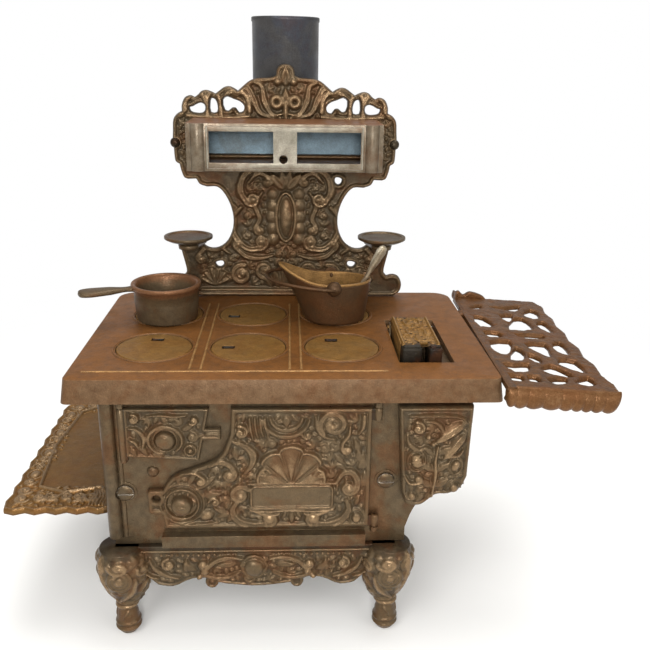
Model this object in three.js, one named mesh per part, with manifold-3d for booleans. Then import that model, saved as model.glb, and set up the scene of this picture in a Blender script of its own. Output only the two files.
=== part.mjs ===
import * as THREE from "three";
import { mergeVertices } from "three/addons/utils/BufferGeometryUtils.js";
import Module from "manifold-3d";

// A cast iron toy cooking range with its pots, shelves, high back and pipe.
// Sizes are in millimetres. X runs right from the middle of the hob, Y runs back from the
// hob's front edge and Z runs up from the floor.

const wasm = await Module();
wasm.setup();

// Fits that every piece shares
const seatGap = 0.3;
const pinGap = 0.3;
const overrun = 3;
const arcSides = 16;
const pinSides = 8;

// Heights of the stack: base, body, hob
const baseTop = 62;
const bodyHeight = 103.4;
const hobPlate = 4.5;
const bodyBottom = baseTop + seatGap;
const bodyTop = bodyBottom + bodyHeight;
const hobUnder = bodyTop + seatGap;
const hobTop = hobUnder + hobPlate;

// Hob plate
const hobWidth = 240;
const hobDepth = 161;
const hobSkirt = 13.6;
const hobSkirtWall = 3.6;
const hobFlare = 1.8;
const hobFrontCorner = 4;
const hobBackCorner = 12;
const hobLeft = -hobWidth / 2;
const hobRight = hobWidth / 2;
const skirtBottom = hobTop - hobSkirt;

// Well of the reservoir, from the right end, the front and the back of the hob
const reservoirMargin = 21.8;
const reservoirWidth = 32.2;
const reservoirBackMargin = 62.5;
const reservoirFront = 23.8;
const reservoirRight = hobRight - reservoirMargin;
const reservoirLeft = reservoirRight - reservoirWidth;
const reservoirBack = hobDepth - reservoirBackMargin;

// Lids over the six boiling holes, from the edges of the hob and of the well
const lidLeftMargin = 41.7;
const lidRightMargin = 31.7;
const lidFrontY = 49;
const lidBackMargin = 50;
const lidBridge = 11.3;
const lidStep = 2.9;
const lidThick = 2;
const lidPitchX = (reservoirLeft - lidRightMargin - hobLeft - lidLeftMargin) / 2;
const lidPitchY = hobDepth - lidBackMargin - lidFrontY;
const lidMiddleX = hobLeft + lidLeftMargin + lidPitchX;
const lidRadius = (Math.min(lidPitchX, lidPitchY) - lidBridge) / 2;
const lidPlugRadius = lidRadius - lidStep;
const lidSlotLength = 7;
const lidSlotWidth = 2.4;

// Middle of each lid's lifter slot in shares of its radius: front row, then back row
const lidSlotShares = [
  [[0, 0.58], [-0.54, 0], [-0.26, 0.5]],
  [[0.5, 0.2], [-0.55, -0.21], [0.2, 0.52]],
];

// Body box under the hob
const bodyInset = 20;
const bodyPastWell = 5.5;
const bodyBackInset = 5.8;
const bodyShift = 2.95;
const bodyLeft = hobLeft + bodyInset;
const bodyRight = reservoirLeft + bodyPastWell;
const bodyFront = 6;
const bodyBack = hobDepth - bodyBackInset;
const bodyWall = 3.4;
const bodyMiddle = (bodyLeft + bodyRight) / 2 - bodyShift;

// Box of the reservoir beside the oven
const casingEndInset = 14;
const casingPastWell = 5.5;
const casingDepth = 67.7;
const casingWall = 2.4;
const casingProud = 8.4;
const casingRight = hobRight - casingEndInset;
const casingBottom = bodyTop - casingDepth;
const casingBack = reservoirBack + casingPastWell;

// Column and mouldings of the front panel
const columnInset = 1;
const columnX = bodyLeft + columnInset;
const columnRadius = 4.2;
const beadInset = 6.6;
const beadX = bodyLeft + beadInset;
const beadRadius = 1.6;
const columnLift = 5.7;
const columnFoot = bodyBottom + columnLift;
const columnHead = skirtBottom - seatGap;
const ledgeLeftInset = 28.2;
const ledgeRightInset = 24.1;
const ledgeLeft = bodyLeft + ledgeLeftInset;
const ledgeRight = bodyRight - ledgeRightInset;
const ledgeLift = 8.3;
const ledgeTop = bodyBottom + ledgeLift;
const ledgeHeight = 7.6;
const ledgeReach = 6;
const bracketReach = 18;
const bracketLift = 9.2;
const bracketTop = casingBottom;
const bracketBottom = bodyBottom + bracketLift;
const bracketShares = [[0.2, 0.42], [0.52, 0.78]];

// Tie bolts that clamp the front to the rear
const boltLeftInset = 8.4;
const boltLeftLift = 35.6;
const boltRightInset = 12.9;
const boltRightLift = 42.1;
const boltLeftX = bodyLeft + boltLeftInset;
const boltLeftZ = bodyBottom + boltLeftLift;
const boltRightX = bodyRight - boltRightInset;
const boltRightZ = bodyBottom + boltRightLift;
const boltRadius = 1.9;
const boltHeadRadius = 5.2;
const boltHeadHeight = 2.2;
const boltSlotWidth = 1.5;
const boltSlotDepth = 1.1;
const boltBossRadius = 6.5;
const boltBossHeight = 0.8;
const nutAcross = 8;
const nutThick = 3.2;
const boltTail = 2;

// Fire door
const fireInset = 10.8;
const fireTopDrop = 13.7;
const fireHeight = 30;
const fireSlope = 2.6;
const fireWidth = 47.4;
const fireLean = 6.6;
const fireLeft = bodyLeft + fireInset;
const fireTop = bodyTop - fireTopDrop;
const fireBottomLeft = fireTop - fireHeight;
const fireBottomRight = fireBottomLeft - fireSlope;
const fireRightTop = fireLeft + fireWidth;
const fireRightBottom = fireRightTop - fireLean;
const fireTabReach = 6;
const fireTabLift = 10.6;
const fireTabHeight = 6.8;
const fireTabBottom = fireBottomLeft + fireTabLift;
const fireTabTop = fireTabBottom + fireTabHeight;
const fireMouthSide = 4.2;
const fireMouthTop = fireTop - fireMouthSide;
const fireMouthLeft = fireLeft + fireMouthSide;
const fireMouthRight = fireRightBottom - fireMouthSide / 2;
const fireMouthBottom = fireBottomLeft + fireMouthSide / 2;
const fireMouthCorner = 2.7;
const fireRosetteShares = [0.473, 0.36];
const fireRosetteX = fireLeft + fireWidth * fireRosetteShares[0];
const fireRosetteZ = fireBottomLeft + fireHeight * fireRosetteShares[1];
const fireRosetteRadius = 9.4;
const fireKnobRadius = 5.4;
const fireKnobHeight = 5;
const fireHingeOut = 1.4;
const fireHingeX = fireLeft - fireHingeOut;
const fireBarrel = 6;
const fireHingeRadius = 1.9;
const firePinRadius = 0.9;

// Nub under the fire door
const nubInset = 24.6;
const nubDrop = 10.8;
const nubX = bodyLeft + nubInset;
const nubZ = fireBottomLeft - nubDrop;
const nubRadius = 3.6;
const nubReach = 2.5;

// Oven door
const ovenLeftInset = 28.6;
const ovenRightInset = 22.1;
const ovenTopDrop = 13.7;
const ovenLift = 12.5;
const ovenLeft = bodyLeft + ovenLeftInset;
const ovenRight = bodyRight - ovenRightInset;
const ovenTop = bodyTop - ovenTopDrop;
const ovenBottom = bodyBottom + ovenLift;
const ovenWide = ovenRight - ovenLeft;
const ovenHigh = ovenTop - ovenBottom;
const doorPlate = 2.4;
const doorRim = 1;
const doorRimWidth = 2.2;
const doorBack = bodyFront - seatGap;
const ovenStepGap = 12;
const ovenShoulderWide = 13.8;
const ovenShoulderGap = 1.8;
const ovenStepX = fireRightTop + ovenStepGap;
const ovenShoulderX = ovenStepX - ovenShoulderWide;
const ovenShoulderZ = fireBottomRight - ovenShoulderGap;
const ovenMouthSide = 2.3;
const ovenMouthEdge = 5;
const ovenMouthLeft = ovenStepX + ovenMouthSide;
const ovenMouthRight = ovenRight - ovenMouthEdge;
const ovenMouthBottom = ovenBottom + ovenMouthEdge;
const ovenMouthTop = ovenTop - ovenMouthEdge;
const ovenMouthCorner = 4.5;
const rosetteShares = [0.1, 0.218];
const rosetteX = ovenLeft + ovenWide * rosetteShares[0];
const rosetteZ = ovenBottom + ovenHigh * rosetteShares[1];
const rosetteRadius = 10.8;
const rosetteHeight = 2.6;
const knobRadius = 6;
const knobHeight = 7.6;
const ovenTabReach = 7.6;
const ovenTabDown = 7.1;
const ovenTabUp = 8.9;
const ovenTabBottom = rosetteZ - ovenTabDown;
const ovenTabTop = rosetteZ + ovenTabUp;
const ovenTabHole = 2.2;
const cartoucheShares = { left: 0.419, right: 0.828, bottom: 0.152, top: 0.36 };
const cartoucheLeft = ovenLeft + ovenWide * cartoucheShares.left;
const cartoucheRight = ovenLeft + ovenWide * cartoucheShares.right;
const cartoucheBottom = ovenBottom + ovenHigh * cartoucheShares.bottom;
const cartoucheTop = ovenBottom + ovenHigh * cartoucheShares.top;
const cartoucheRise = 1.2;
const shellShares = { base: 0.378, height: 0.356, width: 0.37, turn: 0.1 };
const shellX = (cartoucheLeft + cartoucheRight) / 2;
const shellBase = ovenBottom + ovenHigh * shellShares.base;
const shellHeight = ovenHigh * shellShares.height;
const shellRibs = 5;
const shellSpread = 0.42;
const shellRise = 1.9;

// Outline of the oven door's left edge: shares of the step, of the rise and of the drop
const ovenStepShares = [[0.06, 0.55], [0.45, 0.16]];
const ovenLobeShares = [[0.36, 0.09], [0.72, 0.19], [0.96, 0.42], [1, 0.72]];
const ovenFootShare = 0.1;

// Hinge of the oven door
const ovenHingeOut = 3.2;
const ovenHingeX = ovenRight + ovenHingeOut;
const hingeRadius = 2.3;
const hingePinRadius = 1.1;
const ovenBarrel = 8;
const hingeLug = 3;
const hingeForward = 2.8;
const hingeAxisY = bodyFront - hingeForward;

// Firebox
const dividerGap = 5.5;
const dividerX = ovenMouthLeft - dividerGap;
const dividerThick = 2.6;
const grateDrop = 53.7;
const grateZ = bodyTop - grateDrop;
const grateThick = 2.8;
const grateSlots = 7;
const grateSlotWidth = 5;
const grateShelf = 3;
const grateMargin = 7;

// Front of the reservoir, its tank and its lid
const casingFrontInset = 7.9;
const casingFrontDrop = 12.3;
const casingFrontHeight = 63.4;
const casingFrontLeft = bodyRight - casingFrontInset;
const casingFrontTop = bodyTop - casingFrontDrop;
const casingFrontBottom = casingFrontTop - casingFrontHeight;
const casingBevelShare = 0.36;
const casingShares = [
  [[0, 1], [0.09, 0.16]],
  [[0.09, 0.16], [0.14, 0.03], [0.25, 0], [0.38, 0.01], [0.56, 0.11], [0.74, 0.12], [0.9, 0.18], [0.98, 0.3]],
  [[0.98, 0.3], [1, 1]],
];
const tankFlange = 2.6;
const tankSide = 7.4;
const tankFrontGap = 8.2;
const tankBackGap = 22.5;
const tankLeft = reservoirLeft + tankSide;
const tankRight = reservoirRight - tankSide;
const tankFront = reservoirFront + tankFrontGap;
const tankBack = reservoirBack - tankBackGap;
const tankDepth = 44;
const tankWall = 1.8;
const lidBoxLeftGap = 2;
const lidBoxRightGap = 6.8;
const lidBoxFrontGap = 2.2;
const lidBoxBackGap = 16.5;
const lidBoxLeft = reservoirLeft + lidBoxLeftGap;
const lidBoxRight = reservoirRight - lidBoxRightGap;
const lidBoxFront = reservoirFront + lidBoxFrontGap;
const lidBoxBack = reservoirBack - lidBoxBackGap;
const lidBoxRise = 7.5;
const lidBoxTop = hobTop + lidBoxRise;
const lidBoxSlope = 4;
const lidBoxWall = 2.2;
const lidBoxNotch = 4;
const lidBoxNotchDepth = 2.6;
const lidBoxNoseShare = 0.3;
const trunnionBackGap = 3.4;
const trunnionRise = 2.1;
const trunnionY = lidBoxBack - trunnionBackGap;
const trunnionZ = hobTop + trunnionRise;
const trunnionRadius = 1.1;
const trunnionReach = 2.4;
const earThick = 1.1;
const earHalf = 2.4;

// Base with cabriole legs
const baseRing = 5;
const baseLip = 3.2;
const baseRingWidth = 9;
const apronThick = 4;
const apronDepth = 28.6;
const apronBottom = baseTop - apronDepth;
const apronShift = 1.3;
const apronCentreX = bodyMiddle - apronShift;
const legInset = 6.55;
const legSpread = (bodyRight - bodyLeft) / 2 - legInset;
const legFrontY = 6.6;
const legBackInset = 9.2;
const legBackY = bodyBack - legBackInset;
const footRadius = 7.8;
const footHeight = 22;
const kneeRadius = 15.4;
const kneeBossShare = 0.6;
const kneeFaceShare = 0.88;
const legSides = 16;
const kneeBossRadius = 6.4;
const kneeBossHeight = 2.6;
const eggRadius = 8.4;
const eggHeight = 4.6;
const dropRadius = 4.1;
const dropSpacing = 51;
const dropLift = 3;
const dropZ = apronBottom + dropLift;

// High back
const backFoot = hobTop + seatGap;
const backInset = 9;
const backFront = hobDepth - backInset;
const backThick = 3.2;
const backHalf = 84.6;
const backHeight = 160;
const backFlangeDepth = 4.4;
const backFlangeThick = 2.4;
const backFlangeHalf = 62;
const screwX = 50;
const screwY = backFront + backThick + backFlangeDepth / 2;
const screwRadius = 1.6;
const screwHeadHeight = 1.6;
const waistRise = 1.4;

// Warming closet on the high back, hung down from its crest
const closetDown = 34.4;
const closetHigh = 29.2;
const closetDeep = 47;
const closetHalf = 61.5;
const closetFront = backFront - closetDeep;
const closetTop = backFoot + backHeight - closetDown;
const closetBottom = closetTop - closetHigh;
const closetWall = 2.2;
const closetFace = 2.4;
const windowInner = 7.4;
const windowOuter = 47.6;
const windowSill = 5.2;
const windowHead = 4.8;
const windowBottom = closetBottom + windowSill;
const windowTop = closetTop - windowHead;
const closetOpeningHalf = 55;
const pilasterX = 54.6;
const pilasterRadius = 4.6;
const pilasterShare = 0.36;
const knobHole = 2.7;
const knobHoleX = -1.1;
const knobHoleLift = 7.6;
const knobHoleZ = closetBottom + knobHoleLift;
const pegX = 58.2;
const pegRadius = 1.3;
const pegZ = (closetBottom + closetTop) / 2;
const linerThick = 0.8;
const linerHalf = 72;
const rivetX = 74.6;
const rivetLift = 12.4;
const rivetZ = closetBottom + rivetLift;
const rivetRadius = 3.6;
const rivetShank = 1.5;

// Medallion on the waist of the high back
const medallionDown = 38.2;
const medallionZ = closetBottom - medallionDown;
const medallionRx = 13;
const medallionRz = 19;

// Small round tea shelves that swivel on brackets of the high back
const armTopShare = 0.277;
const teaRise = 3.9;
const teaForward = 16;
const teaX = 66.6;
const teaY = backFront - teaForward;
const teaRadius = 16.6;
const teaTop = backFoot + backHeight * armTopShare + teaRise;
const teaThick = 3.4;
const teaDish = 0.9;
const teaEdge = 2.2;
const teaNeck = 6.6;
const teaNeckHeight = 2.2;
const teaPeg = 2;
const bracketThick = 3.4;
const bracketRadius = 6.8;
const bracketFlare = 1.5;
const teaHoleFoot = teaTop - teaThick - teaNeckHeight - bracketThick - overrun;

// Stove pipe and its collar
const pipeBehind = 20.4;
const pipeY = hobDepth + pipeBehind;
const pipeRadius = 23.4;
const pipeWall = 1.4;
const pipeHeight = 190.5;
const pipeTop = hobTop + pipeHeight;
const collarHeight = 9;
const collarWall = 2.6;
const tongueMargin = 5;

// Hooks that hang both side shelves
const hookWidth = 9;
const hookThick = 2.2;
const hookDrop = 8;
const hookBracket = 2.4;

// Pierced shelf on the right
const pierceGap = 4.6;
const pierceLeft = hobRight + pierceGap;
const pierceWidth = 67;
const pierceFront = -7;
const pierceLength = 167;
const pierceThick = 3;
const pierceSink = 1.9;
const pierceTop = hobTop - pierceSink;
const pierceDroop = 0.07;
const pierceLip = 12;
const pierceLipThick = 4;
const pierceRoll = 2.3;
const pierceTaper = 5.6;
const pierceSkew = 3.4;
const pierceWaves = 9;
const pierceHookShares = [0.245, 0.772];
const hookReach = pierceLeft - hobRight - hobFlare / 2 - seatGap;
const hookY = pierceHookShares.map((share) => pierceFront + pierceLength * share);
const upstandWide = 13;
const upstandDeep = 10;
const upstandHigh = 4.2;

// Solid hearth shelf on the left
const hearthGap = 4.4;
const hearthWidth = 61.2;
const hearthRight = bodyLeft - hearthGap;
const hearthLeft = hearthRight - hearthWidth;
const hearthFront = 13;
const hearthBack = hobDepth;
const hearthLift = 21.7;
const hearthTop = bodyBottom + hearthLift;
const hearthThick = 4.6;
const hearthRecess = 1.6;
const hearthBorder = 15;
const hearthHookShares = [0.236, 0.736];
const hearthHookY = hearthHookShares.map((share) => hearthFront + (hearthBack - hearthFront) * share);
const hearthCorner = 9.2;
const hearthFrontWaves = 5;
const hearthSideWaves = 9;

// Saucepan on the back left lid
const panForward = 7.5;
const panX = hobLeft + lidLeftMargin;
const panY = lidFrontY + lidPitchY - panForward;
const panFoot = hobTop + seatGap;
const panHeight = 24.6;
const panBaseRadius = 19.8;
const panRadius = 21;
const panRimRadius = 22.8;
const panRimHeight = 5;
const panWall = 2;
const panHandleAngle = 3.5;
const panHandleLength = 33;
const panHandleNeck = 2.3;
const panHandleHalf = 4.3;
const panHandleThick = 2.4;

// Coal scuttle on the back right lid, with its bail and shovel
const hodForward = 11;
const hodLeftOfLid = 1.7;
const hodX = reservoirLeft - lidRightMargin - hodLeftOfLid;
const hodY = lidFrontY + lidPitchY - hodForward;
const hodFoot = hobTop + seatGap;
const hodBaseRx = 19;
const hodBaseRy = 15.4;
const hodRimRx = 26.5;
const hodRimRy = 17.6;
const hodLean = 2.9;
const hodHeight = 28.6;
const hodSpoutReach = 8.4;
const hodSpoutRise = 11;
const hodWall = 1.8;
const hodSides = 24;
const earBall = 3.4;
const bailLength = 43.6;
const bailWire = 1.1;
const bailRise = 0.1;
const bailLeft = 1.6;
const bailX = hodX - bailLeft;
const bailHalf = hodRimRy + earBall * 1.7;
const bailDown = 2.38;
const bailZ = hodFoot + hodHeight - bailDown;
const shovelTilt = 0.5;
const shovelRight = 5.9;
const shovelLift = 2.7;
const shovelX = hodX + shovelRight;
const shovelZ = hodFoot + shovelLift;
const shovelLength = 54;
const shovelBladeLength = 22;
const shovelBladeHalf = 6.4;
const shovelHandleHalf = 2.7;
const shovelThick = 1.8;
const shovelGripRadius = 2.4;
const shovelGripHalf = 11.6;

// Colours and finishes
const iron = new THREE.MeshStandardMaterial({ color: 0x6b5a45, roughness: 0.55, metalness: 0.6 });
const rust = new THREE.MeshStandardMaterial({ color: 0x8a5e36, roughness: 0.7, metalness: 0.35 });
const olive = new THREE.MeshStandardMaterial({ color: 0x7e683c, roughness: 0.5, metalness: 0.55 });
const nickel = new THREE.MeshStandardMaterial({ color: 0x9a8f7a, roughness: 0.4, metalness: 0.75 });
const sheet = new THREE.MeshStandardMaterial({ color: 0x5f7a85, roughness: 0.5, metalness: 0.5 });
const steel = new THREE.MeshStandardMaterial({ color: 0x3e3c3e, roughness: 0.4, metalness: 0.7 });
const gold = new THREE.MeshStandardMaterial({ color: 0xb19a63, roughness: 0.35, metalness: 0.8 });

// Solids from three.js geometry

function solid(geometry) {
  const loose = geometry.index ? geometry.toNonIndexed() : geometry.clone();
  loose.deleteAttribute("normal");
  loose.deleteAttribute("uv");
  const merged = mergeVertices(loose);
  const index = merged.index.array;
  const kept = [];
  for (let i = 0; i < index.length; i += 3) {
    const [a, b, c] = [index[i], index[i + 1], index[i + 2]];
    if (a !== b && b !== c && c !== a) kept.push(a, b, c);
  }
  const vertProperties = merged.attributes.position.array;
  return new wasm.Manifold(new wasm.Mesh({ numProp: 3, vertProperties, triVerts: new Uint32Array(kept) }));
}

function join(...solids) {
  return solids.reduce((whole, piece) => whole.add(piece));
}

function cut(body, ...tools) {
  return tools.reduce((left, tool) => left.subtract(tool), body);
}

function block(x0, x1, y0, y1, z0, z1) {
  const box = new THREE.BoxGeometry(x1 - x0, y1 - y0, z1 - z0);
  return solid(box.translate((x0 + x1) / 2, (y0 + y1) / 2, (z0 + z1) / 2));
}

function shapeOf(points, holes = []) {
  const shape = new THREE.Shape(points.map(([x, y]) => new THREE.Vector2(x, y)));
  for (const hole of holes) shape.holes.push(new THREE.Path(hole.map(([x, y]) => new THREE.Vector2(x, y))));
  return shape;
}

// A plate lying level: its outline is in X and Y
function level(points, z0, z1, holes) {
  const geometry = new THREE.ExtrudeGeometry(shapeOf(points, holes), { depth: z1 - z0, bevelEnabled: false });
  return solid(geometry.translate(0, 0, z0));
}

// A plate standing upright across the stove: its outline is in X and Z
function upright(points, y0, y1, holes) {
  const geometry = new THREE.ExtrudeGeometry(shapeOf(points, holes), { depth: y1 - y0, bevelEnabled: false });
  return solid(geometry.rotateX(Math.PI / 2).translate(0, y1, 0));
}

// A plate standing upright along the stove: its outline is in Y and Z
function sideways(points, x0, x1, holes) {
  const geometry = new THREE.ExtrudeGeometry(shapeOf(points, holes), { depth: x1 - x0, bevelEnabled: false });
  geometry.rotateX(Math.PI / 2).rotateZ(Math.PI / 2);
  return solid(geometry.translate(x0, 0, 0));
}

// An upright plate whose front edge is rounded off by a bevel
function pillowed(points, y0, y1, bevel) {
  const inner = new THREE.ExtrudeGeometry(shapeOf(points), {
    depth: y1 - y0 - bevel,
    bevelThickness: bevel,
    bevelSize: bevel,
    bevelOffset: -bevel,
    bevelSegments: 3,
  });
  const whole = solid(inner.rotateX(Math.PI / 2).translate(0, y1, 0));
  const big = points.map(([x, z]) => [x, z]);
  const behind = upright(big, y1, y1 + bevel + overrun);
  return cut(whole, behind);
}

function rod(radius, length, sides, axis = "z") {
  const geometry = new THREE.CylinderGeometry(radius, radius, length, sides);
  if (axis === "z") geometry.rotateX(Math.PI / 2);
  if (axis === "x") geometry.rotateZ(Math.PI / 2);
  return geometry;
}

function pinZ(x, y, z0, z1, radius, sides = pinSides) {
  return solid(rod(radius, z1 - z0, sides).translate(x, y, (z0 + z1) / 2));
}

function pinY(x, z, y0, y1, radius, sides = pinSides) {
  return solid(rod(radius, y1 - y0, sides, "y").translate(x, (y0 + y1) / 2, z));
}

function pinX(y, z, x0, x1, radius, sides = pinSides) {
  return solid(rod(radius, x1 - x0, sides, "x").translate((x0 + x1) / 2, y, z));
}

// A turned solid: the profile is [radius, height] from the axis back to the axis
function turned(profile, sides = arcSides) {
  return new THREE.LatheGeometry(profile.map(([r, h]) => new THREE.Vector2(r, h)), sides);
}

// A turned boss on an upright face: its height runs towards the front
function bossOn(x, y, z, profile, sides = arcSides) {
  return solid(turned(profile, sides).rotateX(Math.PI).translate(x, y, z));
}

function turnedUp(x, y, z, profile, sides = arcSides) {
  return solid(turned(profile, sides).rotateX(Math.PI / 2).translate(x, y, z));
}

function ball(x, y, z, rx, ry = rx, rz = rx, sides = 16) {
  const geometry = new THREE.SphereGeometry(1, sides, sides / 2);
  return solid(geometry.scale(rx, ry, rz).translate(x, y, z));
}

// A skin over rings of the same count, each counter-clockwise seen from above
function loft(rings) {
  const count = rings[0].length;
  const points = rings.flat();
  const faces = [];
  for (let r = 0; r + 1 < rings.length; r++) {
    for (let i = 0; i < count; i++) {
      const a = r * count + i;
      const b = r * count + ((i + 1) % count);
      faces.push(a, b, b + count, a, b + count, a + count);
    }
  }
  const first = points.length;
  const last = first + 1;
  const start = (rings.length - 1) * count;
  points.push(middleOf(rings[0]), middleOf(rings[rings.length - 1]));
  for (let i = 0; i < count; i++) {
    const next = (i + 1) % count;
    faces.push(first, next, i, last, start + i, start + next);
  }
  const geometry = new THREE.BufferGeometry();
  geometry.setAttribute("position", new THREE.Float32BufferAttribute(points.flat(), 3));
  geometry.setIndex(faces);
  return solid(geometry);
}

function middleOf(ring) {
  const sum = ring.reduce((s, p) => [s[0] + p[0], s[1] + p[1], s[2] + p[2]], [0, 0, 0]);
  return sum.map((v) => v / ring.length);
}

function ovalRing(x, y, z, rx, ry, sides) {
  const ring = [];
  for (let i = 0; i < sides; i++) {
    const turn = (2 * Math.PI * i) / sides;
    ring.push([x + rx * Math.cos(turn), y + ry * Math.sin(turn), z]);
  }
  return ring;
}

// Smooth stretches that meet in cusps, each given by the points it runs through
function smoothPath(stretches, steps = 3) {
  const path = [];
  for (const points of stretches) {
    const curve = new THREE.CatmullRomCurve3(points.map(([x, y]) => new THREE.Vector3(x, y, 0)));
    const fine = points.length > 2 ? curve.getPoints((points.length - 1) * steps) : curve.getPoints(1);
    const places = fine.map((p) => [p.x, p.y]);
    path.push(...(path.length ? places.slice(1) : places));
  }
  return path;
}

function smoothLoop(points, steps = 3) {
  const curve = new THREE.CatmullRomCurve3(points.map(([x, y]) => new THREE.Vector3(x, y, 0)), true);
  return curve.getPoints(points.length * steps).slice(0, -1).map((p) => [p.x, p.y]);
}

function mirrored(half, middle = 0) {
  const other = half.map(([x, z]) => [2 * middle - x, z]).reverse();
  return [...half, ...other.filter(([x]) => Math.abs(x - middle) > overrun / arcSides)];
}

function roundedRectangle(x0, x1, y0, y1, frontCorner, backCorner = frontCorner, steps = 5) {
  const corners = [
    [x1 - frontCorner, y0 + frontCorner, frontCorner, -Math.PI / 2],
    [x1 - backCorner, y1 - backCorner, backCorner, 0],
    [x0 + backCorner, y1 - backCorner, backCorner, Math.PI / 2],
    [x0 + frontCorner, y0 + frontCorner, frontCorner, Math.PI],
  ];
  const points = [];
  for (const [x, y, r, from] of corners) {
    for (let i = 0; i <= steps; i++) {
      const turn = from + (i / steps) * (Math.PI / 2);
      points.push([x + r * Math.cos(turn), y + r * Math.sin(turn)]);
    }
  }
  return points;
}

const stove = new THREE.Group();

function piece(name, made, material) {
  const mesh = made.getMesh();
  const geometry = new THREE.BufferGeometry();
  geometry.setAttribute("position", new THREE.BufferAttribute(new Float32Array(mesh.vertProperties), 3));
  geometry.setIndex(new THREE.BufferAttribute(new Uint32Array(mesh.triVerts), 1));
  geometry.computeVertexNormals();
  const node = new THREE.Mesh(geometry, material.clone());
  node.name = name;
  stove.add(node);
  return node;
}

// Hob plate, its lids and the collar for the pipe

function lidPlace(column, row) {
  return [lidMiddleX + (column - 1) * lidPitchX, lidFrontY + row * lidPitchY];
}

function eachLid(make) {
  const made = [];
  for (let row = 0; row < 2; row++) {
    for (let column = 0; column < 3; column++) made.push(make(...lidPlace(column, row), column, row));
  }
  return made;
}

function hobSkin(inset, z0, z1) {
  const half = hobWidth / 2 - inset;
  const ringAt = (z, grow) =>
    roundedRectangle(-half - grow, half + grow, inset - grow, hobDepth - inset, hobFrontCorner, hobBackCorner)
      .map(([x, y]) => [x, y, z]);
  const share = (z) => (hobFlare * (hobTop - z)) / hobSkirt;
  return loft([ringAt(z0, share(z0)), ringAt(z1, share(z1))]);
}

function hookSocket(side, x, y, top) {
  const inner = hookThick + 2 * seatGap;
  const outer = inner + hookBracket;
  const half = hookWidth / 2 + seatGap;
  const low = top - hookDrop + seatGap;
  const shell = block(
    Math.min(x - side * overrun / 2, x + side * outer), Math.max(x - side * overrun / 2, x + side * outer),
    y - half - hookBracket, y + half + hookBracket, low, top,
  );
  const slot = block(
    Math.min(x, x + side * inner), Math.max(x, x + side * inner),
    y - half, y + half, low - overrun, top + overrun,
  );
  return { shell, slot };
}

function makeHob() {
  let plate = hobSkin(0, skirtBottom, hobTop);
  plate = plate.subtract(hobSkin(hobSkirtWall, skirtBottom - overrun, hobUnder));
  const tongueRadius = pipeRadius + tongueMargin;
  const tongue = join(
    pinZ(0, pipeY, hobUnder, hobTop, tongueRadius, arcSides * 2),
    block(-tongueRadius, tongueRadius, hobDepth - hobSkirtWall, pipeY, hobUnder, hobTop),
  );
  plate = join(plate, tongue);
  const collarOuter = pipeRadius - pipeWall - pinGap;
  plate = join(plate, pinZ(0, pipeY, hobUnder, hobTop + collarHeight, collarOuter, arcSides * 2));
  const collarBore = collarOuter - collarWall;
  plate = cut(plate, pinZ(0, pipeY, hobUnder - overrun, hobTop + collarHeight + overrun, collarBore, arcSides * 2));
  const holes = eachLid((x, y) => join(
    pinZ(x, y, hobTop - lidThick - seatGap, hobTop + overrun, lidRadius + seatGap, arcSides * 2),
    pinZ(x, y, hobUnder - overrun, hobTop, lidPlugRadius + seatGap, arcSides * 2),
  ));
  const well = block(
    reservoirLeft, reservoirRight, reservoirFront, reservoirBack, hobUnder - overrun, hobTop + overrun,
  );
  plate = cut(plate, ...holes, well);
  const edge = hobWidth / 2 + hobFlare / 2;
  const sockets = hookY.map((y) => hookSocket(1, edge, y, pierceTop - pierceThick - 2 * seatGap));
  plate = join(plate, ...sockets.map((s) => s.shell));
  plate = cut(plate, ...sockets.map((s) => s.slot));
  plate = cut(plate, ...[-1, 1].map((side) =>
    pinZ(side * screwX, screwY, hobUnder - overrun, hobTop + overrun, screwRadius + pinGap)));
  piece("hob_top", plate, rust);
}

function makeLids() {
  const columns = ["left", "middle", "right"];
  const rows = ["front", "back"];
  eachLid((x, y, column, row) => {
    const disc = pinZ(x, y, hobTop - lidThick, hobTop, lidRadius, arcSides * 2);
    const plug = pinZ(x, y, hobUnder + seatGap, hobTop - lidThick / 2, lidPlugRadius, arcSides * 2);
    const [shareX, shareY] = lidSlotShares[row][column];
    const slotX = x + lidRadius * shareX;
    const slotY = y + lidRadius * shareY;
    const slot = block(
      slotX - lidSlotLength / 2, slotX + lidSlotLength / 2,
      slotY - lidSlotWidth / 2, slotY + lidSlotWidth / 2, hobUnder - overrun, hobTop + overrun,
    );
    piece("lid_" + rows[row] + "_" + columns[column], cut(join(disc, plug), slot), olive);
  });
}

// Body castings

function frontOutline() {
  const rise = bracketTop - bracketBottom;
  const bend = smoothPath([[
    [bodyRight, bracketBottom],
    ...bracketShares.map(([out, up]) => [bodyRight + bracketReach * out, bracketBottom + rise * up]),
    [bodyRight + bracketReach, bracketTop],
  ]], 4);
  const edge = casingRight - casingWall;
  return [
    [bodyLeft, bodyBottom],
    [bodyRight, bodyBottom],
    ...bend,
    [edge, bracketTop],
    [edge, bodyTop],
    [bodyLeft, bodyTop],
  ];
}

function lugZ(x, y, z0, z1, radius) {
  return join(
    pinZ(x, y, z0, z1, radius),
    block(x - radius, x + radius, y, bodyFront + bodyWall / 2, z0, z1),
  );
}

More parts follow.
